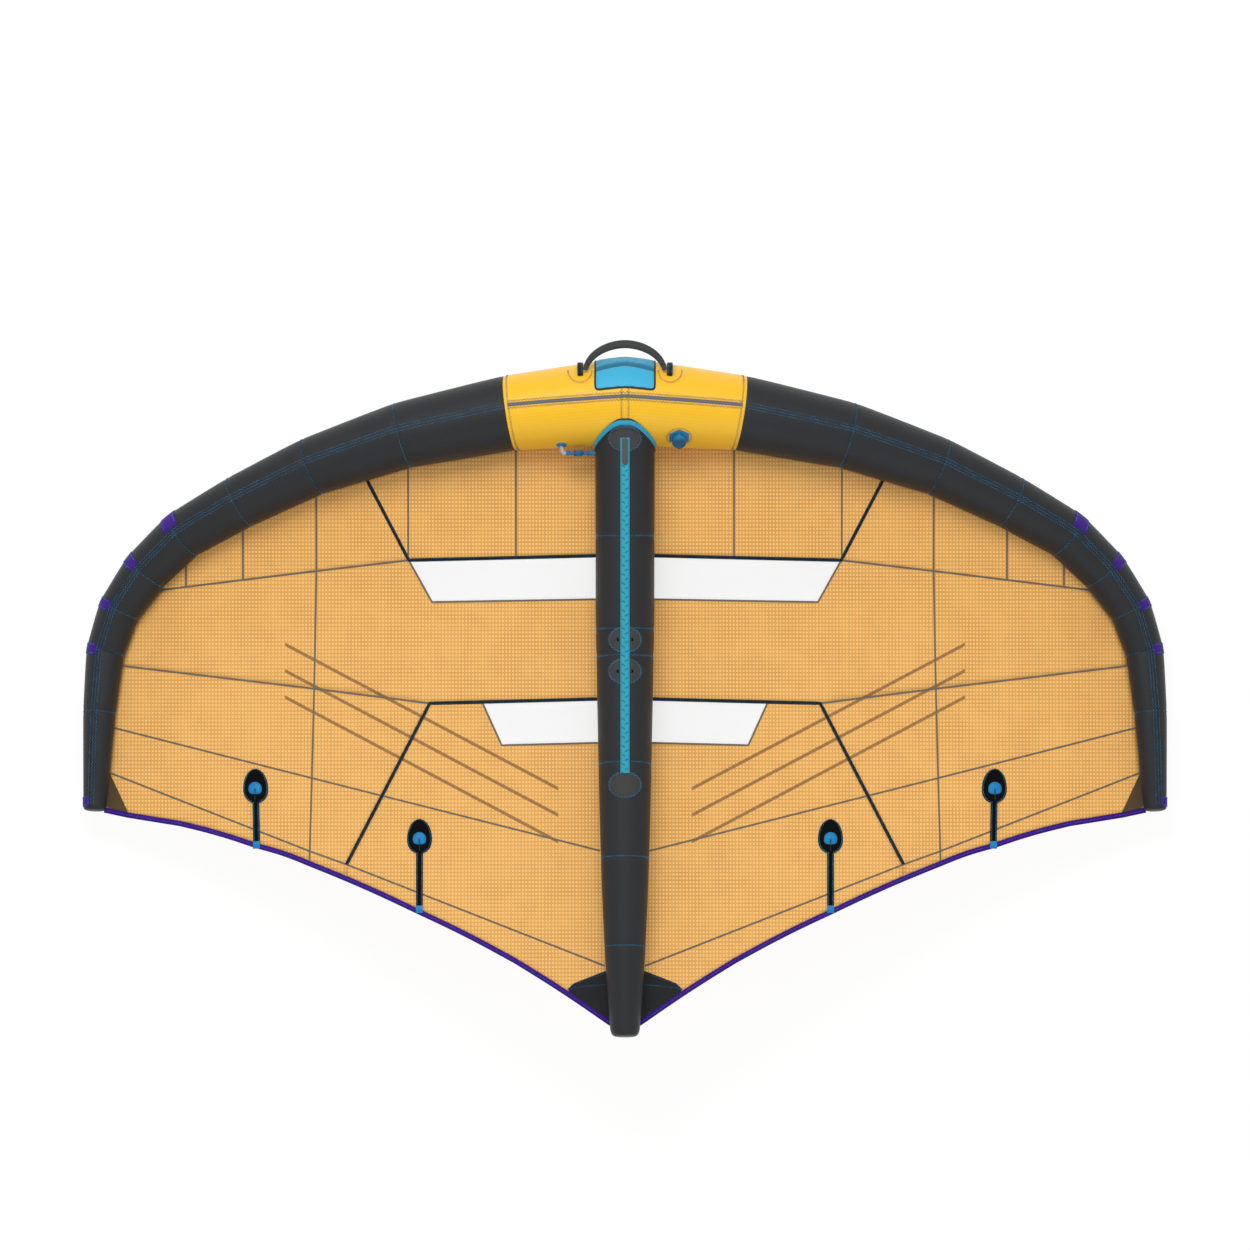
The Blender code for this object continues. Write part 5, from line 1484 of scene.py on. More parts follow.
    def build_strap(self) -> None:
        """Make the webbing strap that runs over the patches, and the grey tongue on its end."""
        base = 0.0004 + self.patch_thickness + 0.0004
        start = self.form.nose_y - self.strap_start
        self.band("long_strap", start, self.strap_length, self.strap_width, base,
                  self.strap_thickness, self.finishes.strap, ["strut_strap"])
        self.band("grey_tongue", start - 0.001, self.tongue_length, self.tongue_width,
                  base + self.strap_thickness + 0.0004, 0.0020, self.finishes.tongue,
                  ["strap_tongue"], True)
        stock = Stock()
        height = self.form.strut_height(base + self.strap_thickness)
        for side in SIDES.values():
            plan = np.stack([np.full(160, side * (self.strap_width / 2.0 - 0.0022)),
                             np.linspace(start - 0.003, start - self.strap_length + 0.003, 160)],
                            axis=1)
            line, normals = line_on(height, plan)
            Stitch(0.0, 0.0100, 0.0007).sew(stock, line, normals)
        dress("strap_thread", stock.mesh("strap_thread"), self.finishes.black_thread)

    def band(self, name: str, start: float, length: float, width: float, lift: float,
             thickness: float, finish: bpy.types.Material, node: list[str],
             round_ends: bool = False) -> None:
        """Make a flat band along the top of the strut.

        Args:
            name: The piece's name.
            start: Where it starts along Y.
            length: Its length towards the tail.
            width: Its width.
            lift: How far above the strut its under side lies.
            thickness: How thick it is.
            finish: Its material.
            node: The frame's node that it stands for.
            round_ends: Whether its ends are half circles.
        """
        run = np.unique(np.concatenate([np.linspace(0.0, width / 2.0, 9),
                                        np.linspace(width / 2.0, length - width / 2.0,
                                                    max(int(length / 0.006), 8)),
                                        np.linspace(length - width / 2.0, length, 9)]))
        end = np.minimum(run, length - run) / (width / 2.0)
        half = np.full_like(run, width / 2.0)
        if round_ends:
            half *= np.sqrt(np.clip(1.0 - (1.0 - np.minimum(end, 1.0)) ** 2, 0.0025, 1.0))
        across = np.linspace(-1.0, 1.0, 13)
        x = half[:, None] * across[None, :]
        y = np.broadcast_to((start - run)[:, None], x.shape)
        edge = 1.0 - 0.5 * eased(np.abs(across), 0.86, 1.0)
        low = np.stack([x, y, self.form.strut_height(lift)(x, y)], axis=-1)
        rise = self.form.strut_height(lift + thickness)(x, y) - low[..., 2]
        top = low.copy()
        top[..., 2] += rise * edge[None, :]
        uvs = np.stack([np.broadcast_to(run[:, None], x.shape), x], axis=-1)
        stock = Stock()
        shell(stock, low, top, False, uvs)
        dress(name, stock.mesh(name), finish, node)


@dataclass
class Canopy:
    """The cloth panels, windows, hems, seams, braces and corner patches."""

    form: WingForm
    finishes: Finishes
    step: float = 0.018
    wall: float = 0.0005
    hem_width: float = 0.016
    hem_thickness: float = 0.0024
    scallop: float = 0.004
    front_seam: tuple[tuple[float, float], ...] = ((0.0, 0.242), (0.409, 0.250), (0.584, 0.267),
                                                   (0.723, 0.281), (0.831, 0.292), (0.880, 0.297))
    rear_seam: tuple[tuple[float, float], ...] = ((0.0, 0.468), (0.270, 0.474), (0.369, 0.476),
                                                  (0.588, 0.453), (0.951, 0.417))
    front_window: tuple[tuple[float, float], ...] = ((0.0, 0.242), (0.409, 0.250),
                                                     (0.365, 0.316), (0.0, 0.311))
    rear_window: tuple[tuple[float, float], ...] = ((0.0, 0.468), (0.270, 0.474),
                                                    (0.233, 0.542), (0.0, 0.537))
    brace_foot: tuple[float, float] = (0.526, 0.730)
    brace_head: tuple[float, float] = (0.488, 0.126)
    mid_seams: tuple[tuple[tuple[float, float], ...], ...] = (
        ((0.972, 0.515), (0.592, 0.594), (0.047, 0.708)),
        ((0.982, 0.586), (0.596, 0.709), (0.526, 0.730), (0.038, 0.889)))
    upright_seams: tuple[tuple[float, float], ...] = ((0.206, 0.2455), (0.410, 0.250),
                                                      (0.723, 0.281), (0.831, 0.292))
    long_upright: tuple[tuple[float, float], ...] = ((0.584, 0.267), (0.588, 0.453),
                                                     (0.592, 0.594), (0.596, 0.725))
    tail_patch: tuple[tuple[float, float], ...] = ((0.006, 0.892), (0.040, 0.898),
                                                   (0.098, 0.917), (0.108, 0.926))
    tip_tuck: float = 0.006
    hollow_spans: int = 6
    seam_width: float = 0.0058
    brace_width: float = 0.0104

    def build(self) -> None:
        """Make every piece of the canopy."""
        self.trailing = self.trailing_line(0.0)
        self.hem_front = self.trailing_line(self.hem_width)
        for side, sign in SIDES.items():
            self.build_panels(side, sign)
            self.build_hem(side, sign)
        self.build_seam_tapes()
        self.build_braces()
        self.build_corners()

    def trailing_line(self, inset: float) -> Array:
        """The trailing edge of the right half from the middle, a little hollow between corners."""
        corners = self.form.plan(self.form.trailing_shares)
        line = filled(corners, self.step)
        spot = np.interp(line[:, 0], corners[:, 0], np.arange(len(corners)))
        hollow = self.scallop * np.sin(math.pi * (spot % 1.0)) * (spot < self.hollow_spans)
        line[:, 1] += hollow + inset
        return line

    def outlines(self) -> dict[str, tuple[Array, Array, Array, Array]]:
        """The four edges of each panel and window of the right half, in plan."""
        form = self.form
        front, rear = form.plan(self.front_seam), form.plan(self.rear_seam)
        tip = form.tip
        meet_front, meet_rear = form.meeting(front[-1]), form.meeting(rear[-1])
        tube = form.attach_line(np.linspace(tip, meet_front, 90))
        tube[0, 0] = 0.0
        bend = form.attach_line(np.linspace(meet_front, meet_rear, 60))
        end = form.attach_line(np.linspace(meet_rear, 2.0 * tip - 0.02, 60))
        front[-1], rear[-1] = tube[-1], bend[-1]
        window_a, window_b = form.plan(self.front_window), form.plan(self.rear_window)
        hem = self.hem_front
        foot = form.plan([self.brace_foot])[0]
        split = int(np.argmin(np.abs(hem[:, 0] - foot[0])))
        brace = np.array([rear[2], foot, hem[split]])
        end = np.concatenate([end, [(end[-1, 0] + self.tip_tuck, hem[-1, 1])]])
        hem_outer = np.concatenate([hem[split:-1], end[-1:]])
        straight = lambda *points: np.array(points)
        return {
            "front": (tube, front, straight(tube[0], front[0]), straight(tube[-1], front[-1])),
            "middle": (np.concatenate([window_a[3:], window_a[2:3], front[1:]]), rear,
                       straight(window_a[3], rear[0]), bend),
            "rear_inner": (np.concatenate([window_b[3:], window_b[2:3], rear[1:3]]),
                           hem[:split + 1], straight(window_b[3], hem[0]), brace),
            "rear_outer": (rear[2:], hem_outer, brace, end),
            "front_window": (window_a[:2], window_a[3:1:-1], straight(window_a[0], window_a[3]),
                             straight(window_a[1], window_a[2])),
            "rear_window": (window_b[:2], window_b[3:1:-1], straight(window_b[0], window_b[3]),
                            straight(window_b[1], window_b[2])),
        }

    def build_panels(self, side: str, sign: float) -> None:
        """Make the panels and windows of one side."""
        for label, edges in self.outlines().items():
            plan = coons(*edges, self.step)
            plan[..., 0] *= sign
            grid, normals = self.form.on_canopy(plan)
            area = self.area_of(grid)
            width, length = np.ptp(grid[..., 0]), np.ptp(grid[..., 1])
            stock = Stock()
            faces = grid_faces(*grid.shape[:2])
            if sign > 0:
                faces = [face[::-1] for face in faces]
            stock.add(grid, faces, plan)
            is_window = label.endswith("window")
            name = f"{label}_film_{side}" if is_window else f"panel_{side}_{label}"
            node = f"{label}_{side}" if is_window else f"canopy_{side}_{label}"
            finish = self.finishes.film if is_window else self.finishes.canopy
            piece = dress(name, stock.mesh(name, False), finish,
                          [node], wall=self.wall)

    @staticmethod
    def area_of(grid: Array) -> float:
        """The area of a grid: half the cross product of each face's two diagonals."""
        first = grid[1:, 1:] - grid[:-1, :-1]
        second = grid[1:, :-1] - grid[:-1, 1:]
        return float(np.linalg.norm(np.cross(first, second), axis=-1).sum() / 2.0)

    def build_hem(self, side: str, sign: float) -> None:
        """Make the purple tape folded round the trailing edge, and sew it with one zigzag."""
        plan = (self.trailing + self.hem_front) / 2.0 * (sign, 1.0)
        plan[0, 0] = sign * 0.0003
        line, normals = self.form.on_canopy(plan)
        sides, tops = frames_of(line, normals)
        half, thick = self.hem_width / 2.0, self.hem_thickness / 2.0
        profile = np.array([(-half, -thick * 0.7), (-half, thick * 0.7), (-half * 0.9, thick),
                            (half * 0.9, thick), (half, thick * 0.7), (half, -thick * 0.7),
                            (half * 0.9, -thick), (-half * 0.9, -thick)])
        stock, thread = Stock(), Stock()
        carried(stock, line, sides, tops, profile)
        dress(f"hem_{side}", stock.mesh(f"hem_{side}"), self.finishes.hem,
              [f"trailing_hem_{side}"])
        Stitch(0.0034, 0.0110, 0.0012).sew(thread, line, normals, 0.0, thick)
        dress(f"hem_thread_{side}", thread.mesh(f"hem_thread_{side}"), self.finishes.blue_thread)

    def ribbon(self, stock: Stock, plan: Array, width: float, thickness: float) -> None:
        """Add a tape that lies on the canopy along a plan line, on both halves."""
        path = filled(plan, self.step)
        for sign in SIDES.values():
            line, normals = self.form.on_canopy(path * (sign, 1.0), 0.0001)
            sides, tops = frames_of(line, normals)
            carried(stock, line, sides, tops, tape_profile(width, thickness, width * 0.18))

    def seam_lines(self) -> list[Array]:
        """Plan lines of the grey seams of the right half, which end at the tube."""
        form = self.form
        lines = []
        for shares in (self.front_seam[1:], self.rear_seam[2:]):
            line = form.plan(shares)
            line[-1] = form.attach_line(np.array([form.meeting(line[-1])]))[0]
            lines.append(line)
        for shares in self.mid_seams:
            line = form.plan(shares)
            line[0] = form.attach_line(np.array([form.meeting(line[0])]))[0]
            lines.append(line)
        u = np.linspace(form.tip, form.tip + 6.0, 400)
        tube = form.attach_line(u)
        for reach, sweep in self.upright_seams:
            foot = form.plan([(reach, sweep)])[0]
            head = np.array([foot[0], np.interp(foot[0], tube[:, 0], tube[:, 1])])
            lines.append(np.array([head, foot]))
        upright = form.plan(self.long_upright)
        head = np.array([upright[0, 0], np.interp(upright[0, 0], tube[:, 0], tube[:, 1])])
        lines.append(np.concatenate([head[None], upright]))
        for window in (self.front_window, self.rear_window):
            lines.append(form.plan(window)[1:])
        return lines

    def build_seam_tapes(self) -> None:
        """Make the grey flat seams between the panels, with a straight stitch on each."""
        stock, thread = Stock(), Stock()
        for plan in self.seam_lines():
            self.ribbon(stock, plan, self.seam_width, 0.0007)
        dress("panel_seams", stock.mesh("panel_seams"), self.finishes.seam)
        for plan in self.seam_lines():
            path = filled(plan, self.step)
            for sign in SIDES.values():
                line, normals = self.form.on_canopy(path * (sign, 1.0), 0.0009)
                Stitch(0.0018, 0.0070, 0.0007).sew(thread, line, normals)
        dress("panel_seam_thread", thread.mesh("panel_seam_thread"), self.finishes.seam_thread)

    def brace_lines(self) -> list[Array]:
        """Plan lines of the black braces of the right half."""
        form = self.form
        head = form.plan([self.brace_head])[0]
        head = form.attach_line(np.array([form.meeting(head)]))[0]
        front = form.plan(self.front_seam[:2])[::-1]
        rear = form.plan([self.brace_foot, self.rear_seam[2], self.rear_seam[1],
                          self.rear_seam[0]])
        return [np.concatenate([head[None], front]), rear]

    def build_braces(self) -> None:
        """Make the black tapes that frame the windows, sewn with two blue zigzags each."""
        stock, thread = Stock(), Stock()
        stitch = Stitch(0.0030, 0.0110, 0.0012)
        for plan in self.brace_lines():
            self.ribbon(stock, plan, self.brace_width, 0.0014)
            path = filled(plan, self.step)
            for sign in SIDES.values():
                line, normals = self.form.on_canopy(path * (sign, 1.0), 0.0016)
                for offset in (-0.0030, 0.0030):
                    stitch.sew(thread, line, normals, offset)
        dress("brace_tapes", stock.mesh("brace_tapes"), self.finishes.brace)
        dress("brace_thread", thread.mesh("brace_thread"), self.finishes.blue_thread)

    def build_corners(self) -> None:
        """Make the black patches beside the tail, with their stitching, and the brown patches at each tip."""
        thread = Stock()
        hem = self.hem_front
        for side, sign in SIDES.items():
            tail = self.form.plan(self.tail_patch)
            low = hem[(hem[:, 0] > tail[0, 0]) & (hem[:, 0] < tail[-1, 0] + 0.004)]
            self.corner(f"tail_patch_{side}", tail, low, sign, thread)
            tube = self.form.attach_line(np.linspace(2.0 * self.form.tip - 0.40,
                                                     2.0 * self.form.tip - 0.05, 12))
            tube = tube + (0.004, 0.0)
            near = hem[(hem[:, 0] > tube[-1, 0] - 0.078) & (hem[:, 0] < tube[-1, 0] - 0.001)]
            slope = np.linspace(near[0], tube[0], len(tube))
            self.corner(f"tip_patch_{side}", slope, np.concatenate([near[:1], near[:0], near]),
                        sign, None, tube)
        dress("corner_thread", thread.mesh("corner_thread"), self.finishes.blue_thread)

    def corner(self, name: str, upper: Array, lower: Array, sign: float,
               thread: Stock | None, outer: Array | None = None) -> None:
        """Make one flat corner patch between an upper and a lower plan line.

        Args:
            name: The piece's name.
            upper: Its upper edge, from the inner end to the outer end.
            lower: Its lower edge, from the inner end to the outer end.
            sign: Which half it lies on.
            thread: Where its stitching goes. Without one it is a patch of the brown cloth.
            outer: Its outer edge where that isn't straight.
        """
        if outer is not None:
            lower = np.concatenate([lower, outer[-1:]])
        share = np.linspace(0.0, 1.0, 15)
        top, low = read_at(upper, upper, share), read_at(lower, lower, share)
        rows = np.linspace(0.0, 1.0, 12)[:, None, None]
        plan = (top[None] * (1.0 - rows) + low[None] * rows) * (sign, 1.0)
        grid, normals = self.form.on_canopy(plan, 0.0002)
        stock = Stock()
        shell(stock, grid, grid + normals * (0.0014 if thread else 0.0024), False, plan)
        finish = self.finishes.patch if thread else self.finishes.tip_patch
        dress(name, stock.mesh(name), finish)
        if thread is None:
            return
        stitch = Stitch(0.0040, 0.0110, 0.0015)
        for inset in (0.05, 0.30):
            line, out = self.form.on_canopy(plan[0] * (1.0 - inset) + plan[-1] * inset, 0.0017)
            stitch.sew(thread, line, out)


@dataclass
class Battens:
    """The four battens: each has a rod in a sewn pocket, an egg-shaped patch and a dome."""

    form: WingForm
    finishes: Finishes
    heads: dict[str, tuple[float, float]] = field(default_factory=lambda: {
        "outer": (0.699, 0.580), "inner": (0.388, 0.659)})
    feet: dict[str, tuple[float, float]] = field(default_factory=lambda: {
        "outer": (0.696, 0.702), "inner": (0.388, 0.803)})
    egg_width: float = 0.075
    egg_length: float = 0.102
    widest_share: float = 0.60
    pocket_width: float = 0.0205
    thickness: float = 0.0013
    layer: float = 0.0026
    dome_radius: float = 0.0200
    dome_height: float = 0.0062

    def build(self) -> None:
        """Make all four battens."""
        thread = Stock()
        for side, sign in SIDES.items():
            for kind in self.heads:
                head = self.form.plan([self.heads[kind]])[0] * (sign, 1.0)
                foot = self.form.plan([self.feet[kind]])[0] * (sign, 1.0)
                self.build_pocket(f"{side}_{kind}", head, foot, thread)
                self.build_rod(f"{side}_{kind}", head, foot)
                self.build_dome(f"{side}_{kind}", head)
        dress("batten_thread", thread.mesh("batten_thread"), self.finishes.blue_thread)

    def half_widths(self, run: Array, total: float) -> Array:
        """Half the pocket's width at a distance from its head.

        The egg's half width is that of two half ovals that meet at its widest place, and
        below it the strap keeps an even width.
        """
        above = self.egg_length * self.widest_share
        below = self.egg_length - above
        part = np.where(run < above, (above - run) / above, (run - above) / below)
        egg = self.egg_width / 2.0 * np.sqrt(np.clip(1.0 - part ** 2, 0.0, 1.0)) ** 0.92
        strap = np.where(run > above, self.pocket_width / 2.0, 0.0)
        return np.maximum(np.maximum(egg, strap), 0.0006) * np.where(run > total, 0.0, 1.0)

    def build_pocket(self, name: str, head: Array, foot: Array, thread: Stock) -> None:
        """Make the egg patch with its strap in one sheet, its end tab and its stitching."""
        total = float(head[1] - foot[1])
        run = np.unique(np.concatenate([
            self.egg_length * (1.0 - np.cos(np.linspace(0.0, math.pi, 41))) / 2.0,
            np.linspace(self.egg_length, total, 16)]))
        half = self.half_widths(run, total)
        across = np.linspace(-1.0, 1.0, 17)
        centre = np.interp(run, (0.0, total), (head[0], foot[0]))
        x = centre[:, None] + half[:, None] * across[None, :]
        y = np.broadcast_to((head[1] - run)[:, None], x.shape)
        plan = np.stack([x, y], axis=-1)
        grid, normals = self.form.on_canopy(plan, 0.0003)
        edge = eased(np.abs(across), 0.80, 1.0)
        swell = self.layer + self.thickness - self.layer * edge
        rise = np.where(half[:, None] < 0.003, self.thickness, swell[None, :])
        stock = Stock()
        shell(stock, grid, grid + normals * rise[..., None], False, plan)
        dress(f"pocket_{name}", stock.mesh(f"pocket_{name}"), self.finishes.pocket,
              [f"batten_pocket_{name}"])
        for inset, sew in ((0.0036, Stitch(0.0040, 0.0092, 0.0019)),):
            ends = half > 0.004
            for sign in SIDES.values():
                line_x = centre[ends] + sign * (half[ends] - inset)
                line_y = head[1] - run[ends]
                fall = eased(1.0 - inset / half[ends], 0.80, 1.0)
                lift = self.thickness + self.layer * (1.0 - fall) + 0.0004
                line, out = self.form.on_canopy(np.stack([line_x, line_y], axis=1),
                                                lift[:, None])
                sew.sew(thread, line, out)
        self.build_tab(name, foot)

    def build_tab(self, name: str, foot: Array) -> None:
        """Make the short blue tab that folds over the trailing edge at the batten's foot."""
        half = self.pocket_width / 2.0
        x = foot[0] + np.linspace(-half, half, 9)[None, :] * np.ones((16, 1))
        y = foot[1] + np.linspace(0.0145, -0.0065, 16)[:, None] * np.ones((1, 9))
        plan = np.stack([x, y], axis=-1)
        low, normals = self.form.on_canopy(plan, self.thickness + self.layer + 0.0004)
        fall = eased(np.linspace(0.0, 1.0, 16), 0.58, 0.95)[:, None, None] * normals * self.layer
        stock = Stock()
        shell(stock, low - fall, low - fall + normals * 0.0016, False, plan)
        dress(f"batten_tab_{name}", stock.mesh(f"batten_tab_{name}"), self.finishes.dome_plastic)

    def build_rod(self, name: str, head: Array, foot: Array) -> None:
        """Make the flat batten inside its pocket."""
        start = head[1] - self.egg_length * self.widest_share
        line_y = np.linspace(start, foot[1] + 0.013, 20)
        plan = np.stack([np.interp(line_y, (foot[1], head[1]), (foot[0], head[0])), line_y],
                        axis=1)
        line, normals = self.form.on_canopy(plan, 0.0012)
        sides, tops = frames_of(line, normals)
        stock = Stock()
        carried(stock, line, sides, tops, oval(0.0085, 0.0009, 12, 0.5))
        dress(f"rod_{name}", stock.mesh(f"rod_{name}"), self.finishes.rod,
              [f"batten_{name}"])

    def build_dome(self, name: str, head: Array) -> None:
        """Make the blue heel dome with the slot where the batten goes in.

        Its height is the dome's times the square root of one less the square of the share to
        the rim. The rim is round above, and below it the cubes of the offsets add up to one.
        The slot runs from the middle to the lower rim.
        """
        centre = np.array((head[0], head[1] - self.egg_length * 0.58))
        share = np.concatenate([[0.03], np.linspace(0.1, 0.9, 12), [0.95, 0.98, 1.0]])
        angle = np.linspace(0.0, 2.0 * math.pi, 72, endpoint=False)
        cubes = np.abs(np.cos(angle)) ** 3 + np.abs(np.sin(angle) / 0.84) ** 3
        rim = self.dome_radius * np.where(angle > math.pi, cubes ** (-1.0 / 3.0), 1.0)
        x = share[:, None] * (np.cos(angle) * rim)[None, :]
        y = share[:, None] * (np.sin(angle) * rim)[None, :]
        plan = np.stack([x + centre[0], y + centre[1]], axis=-1)
        low, normals = self.form.on_canopy(plan, self.layer + self.thickness + 0.0004)
        rise = self.dome_height * np.sqrt(np.clip(1.0 - share ** 2 * 0.97, 0.0, 1.0))[:, None]
        slot = (1.0 - eased(np.abs(x), 0.0016, 0.0032)) * eased(-y, 0.0, 0.004)
        rise = rise * (1.0 - 0.72 * slot)
        stock = Stock()
        top = low + normals * np.maximum(rise, 0.0008)[..., None]
        shell(stock, low, top, True, plan)
        size = x.size
        base = stock.count - 2 * size
        stock.faces.append([corner + base for corner in range(72)][::-1])
        stock.faces.append([corner + base + size for corner in range(72)])
        dress(f"dome_{name}", stock.mesh(f"dome_{name}"), self.finishes.dome_plastic,
              [f"batten_dome_{name}"], angle=50.0)
        line_y = np.linspace(centre[1] + 0.002, head[1] - self.egg_length * 0.93, 12)
        pin, out = self.form.on_canopy(np.stack([np.full(12, head[0]), line_y], axis=1),
                                       self.layer + self.thickness + 0.0016)
        sides, tops = frames_of(pin, out)
        cord = Stock()
        carried(cord, pin, sides, tops, oval(0.0024, 0.0022, 10))
        dress(f"heel_cord_{name}", cord.mesh(f"heel_cord_{name}"), self.finishes.piping)


@dataclass
class NoseFittings:
    """The padded cover on the nose, the grab handle, its tabs and its half-round patches."""

    form: WingForm
    finishes: Finishes
    pad_width: float = 0.178
    pad_back: float = 0.044
    pad_below: float = 0.30
    pad_thickness: float = 0.0050
    fold_angle: float = 42.0
    fold_rise: float = 6.0
    voxel: float = 0.0032
    puff: float = 0.0030
    handle_half: float = 0.119
    handle_forward: float = 0.093
    handle_reach: float = 0.078
    handle_fullness: float = 0.075
    handle_width: float = 0.025
    handle_thickness: float = 0.0142
    foot_share: float = 0.50
    patch_radius: float = 0.039

    def build(self) -> None:
        """Make every piece on the nose."""
        self.build_pad()
        self.build_piping()
        self.build_handle()
        self.build_patches()
        self.build_tabs()

    def pad_angles(self) -> tuple[float, float]:
        """The pad's angles round the tube, from its lower front edge to its rear edge."""
        radius = self.form.nose_radius + self.pad_thickness / 2.0
        rear = 90.0 - math.degrees(math.asin(self.pad_back / radius))
        return -math.degrees(math.asin(self.pad_below)), rear

    def pad_places(self, rows: int, cols: int) -> tuple[Array, Array, Array, Array]:
        """Stations and angles of a grid over the pad, and shares across and along it.

        The corners are rounded by drawing in the ends of the rows near the edges. A station
        moves until its point on the tube has the wanted place along X.
        """
        tube, tip = self.form.leading, self.form.tip
        along = np.linspace(-1.0, 1.0, cols)
        turn = np.linspace(-1.0, 1.0, rows)
        low, high = self.pad_angles()
        corner = 0.07
        draw = np.sqrt(np.clip(1.0 - (np.maximum(np.abs(turn) - 1.0 + corner, 0.0) / corner) ** 2,
                               0.0, 1.0))
        half = self.pad_width / 2.0 * (1.0 - corner * 0.9 * (1.0 - draw))
        x = half[:, None] * along[None, :]
        line = tube.centre(np.linspace(tip - 2.0, tip + 2.0, 201))
        u = np.interp(x, line[:, 0], np.linspace(tip - 2.0, tip + 2.0, 201))
        v = np.radians((low + high) / 2.0 + turn * (high - low) / 2.0)
        v = np.broadcast_to(v[:, None], u.shape)
        station = tube.centres[tip + 1, 0]
        for _ in range(4):
            u = u + (x - tube.surface(u, v)[..., 0]) / station
        return u, v, turn, along

    def build_pad(self) -> None:
        """Make the pad: a crowned shell that a cloth simulation fills, then folded once."""
        tube = self.form.leading
        u, v, turn, along = self.pad_places(70, 60)
        rim = np.maximum(np.abs(turn)[:, None], np.abs(along)[None, :])
        low = tube.surface(u, v, 0.0006)
        rise = self.pad_thickness * (0.35 + 0.65 * np.sqrt(np.clip(1.0 - rim ** 6, 0.0, 1.0)))
        top = tube.surface(u, v, 0.0006) + tube.normal(u, v) * rise[..., None]
        stock = Stock()
        shell(stock, low, top)
        mesh = stock.mesh("nose_cover")
        mesh = self.filled_pad(mesh)
        self.fold_pad(mesh)
        piece = dress("nose_cover", mesh, self.finishes.pad, ["nose_pad"])
        soft = piece.modifiers.new("soft", "SUBSURF")
        soft.levels = 1
        soft.render_levels = 1

    def filled_pad(self, mesh: bpy.types.Mesh) -> bpy.types.Mesh:
        """Fill the pad by a cloth simulation with pressure, with its under side held.

        Args:
            mesh: The plain shell.

        Returns:
            The remeshed and filled pad, where no point has moved further than the puff.
        """
        pad = bpy.data.objects.new("pad_for_filling", mesh)
        bpy.context.scene.collection.objects.link(pad)
        remesh = pad.modifiers.new("remesh", "REMESH")
        remesh.mode = "VOXEL"
        remesh.voxel_size = self.voxel
        shaped = bpy.data.meshes.new_from_object(
            pad.evaluated_get(bpy.context.evaluated_depsgraph_get()))
        pad.modifiers.clear()
        pad.data = shaped
        rest = np.zeros(len(shaped.vertices) * 3)
        shaped.vertices.foreach_get("co", rest)
        rest = rest.reshape(-1, 3)
        axis_y, axis_z, radius = self.form.axis_at(rest[:, 0])
        lift = np.hypot(rest[:, 1] - axis_y, rest[:, 2] - axis_z) - radius
        held = pad.vertex_groups.new(name="held")
        held.add(np.flatnonzero(lift < self.pad_thickness * 0.45).tolist(), 1.0, "REPLACE")
        cloth = pad.modifiers.new("fill", "CLOTH")
        cloth.settings.use_pressure = True
        cloth.settings.uniform_pressure_force = 4.0
        cloth.settings.effector_weights.gravity = 0.0
        cloth.settings.vertex_group_mass = "held"
        cloth.settings.tension_stiffness = 12.0
        cloth.settings.compression_stiffness = 12.0
        scene = bpy.context.scene
        for step in range(1, 17):
            scene.frame_set(step)
        moved = bpy.data.meshes.new_from_object(
            pad.evaluated_get(bpy.context.evaluated_depsgraph_get()))
        now = np.zeros(len(moved.vertices) * 3)
        moved.vertices.foreach_get("co", now)
        change = now.reshape(-1, 3) - rest
        size = np.linalg.norm(change, axis=1, keepdims=True)
        change *= np.minimum(1.0, self.puff / np.maximum(size, 1e-9))
        moved.vertices.foreach_set("co", (rest + change).ravel())
        scene.frame_set(1)
        bpy.data.objects.remove(pad)
        return moved

    def fold_pad(self, mesh: bpy.types.Mesh) -> None:
        """Press the pad's long fold: a groove whose depth is a bell curve across it.

        The fold rises forwards in the middle of the pad by a square. Its front side slopes
        long and its rear side is steep, with a lip that stands a little proud. The attribute
        Crease keeps how near a point lies to the fold, for the painted shade in the cloth's
        colour: some over the whole front side, most in the fold.
        """
        points = np.zeros(len(mesh.vertices) * 3)
        mesh.vertices.foreach_get("co", points)
        points = points.reshape(-1, 3)
        axis_y, axis_z, radius = self.form.axis_at(points[:, 0])
        out_y, out_z = points[:, 1] - axis_y, points[:, 2] - axis_z
        lift = np.hypot(out_y, out_z) - radius
        angle = np.degrees(np.arctan2(out_z, out_y))
        across = 1.0 - (points[:, 0] / self.pad_width * 2.0) ** 2
        fold = self.fold_angle - self.fold_rise * across
        gap = np.radians(angle - fold) * self.form.nose_radius
        side = 1.0 - eased(np.abs(points[:, 0]), self.pad_width * 0.40, self.pad_width * 0.5)
        reach = np.where(gap < 0.0, 0.0130, 0.0045)
        depth = 0.0018 * np.exp(-((gap - 0.012) / 0.007) ** 2) - 0.0044 * np.exp(-(gap / reach) ** 2)
        move = depth * side * eased(lift, 0.001, 0.004)
        points[:, 1] += out_y / (radius + lift) * move
        points[:, 2] += out_z / (radius + lift) * move
        mesh.vertices.foreach_set("co", points.ravel())
        # Painted shade: the front side and the fold get the darker crease colour.
        crease_shade = 0.38 * (gap < 0.0) + 0.62 * np.exp(-(gap / np.where(gap < 0.0, 0.018, 0.006)) ** 2)
        crease = mesh.attributes.new("Crease", "FLOAT", "POINT")
        crease.data.foreach_set("value", crease_shade.astype(np.float32))
        mesh.update()

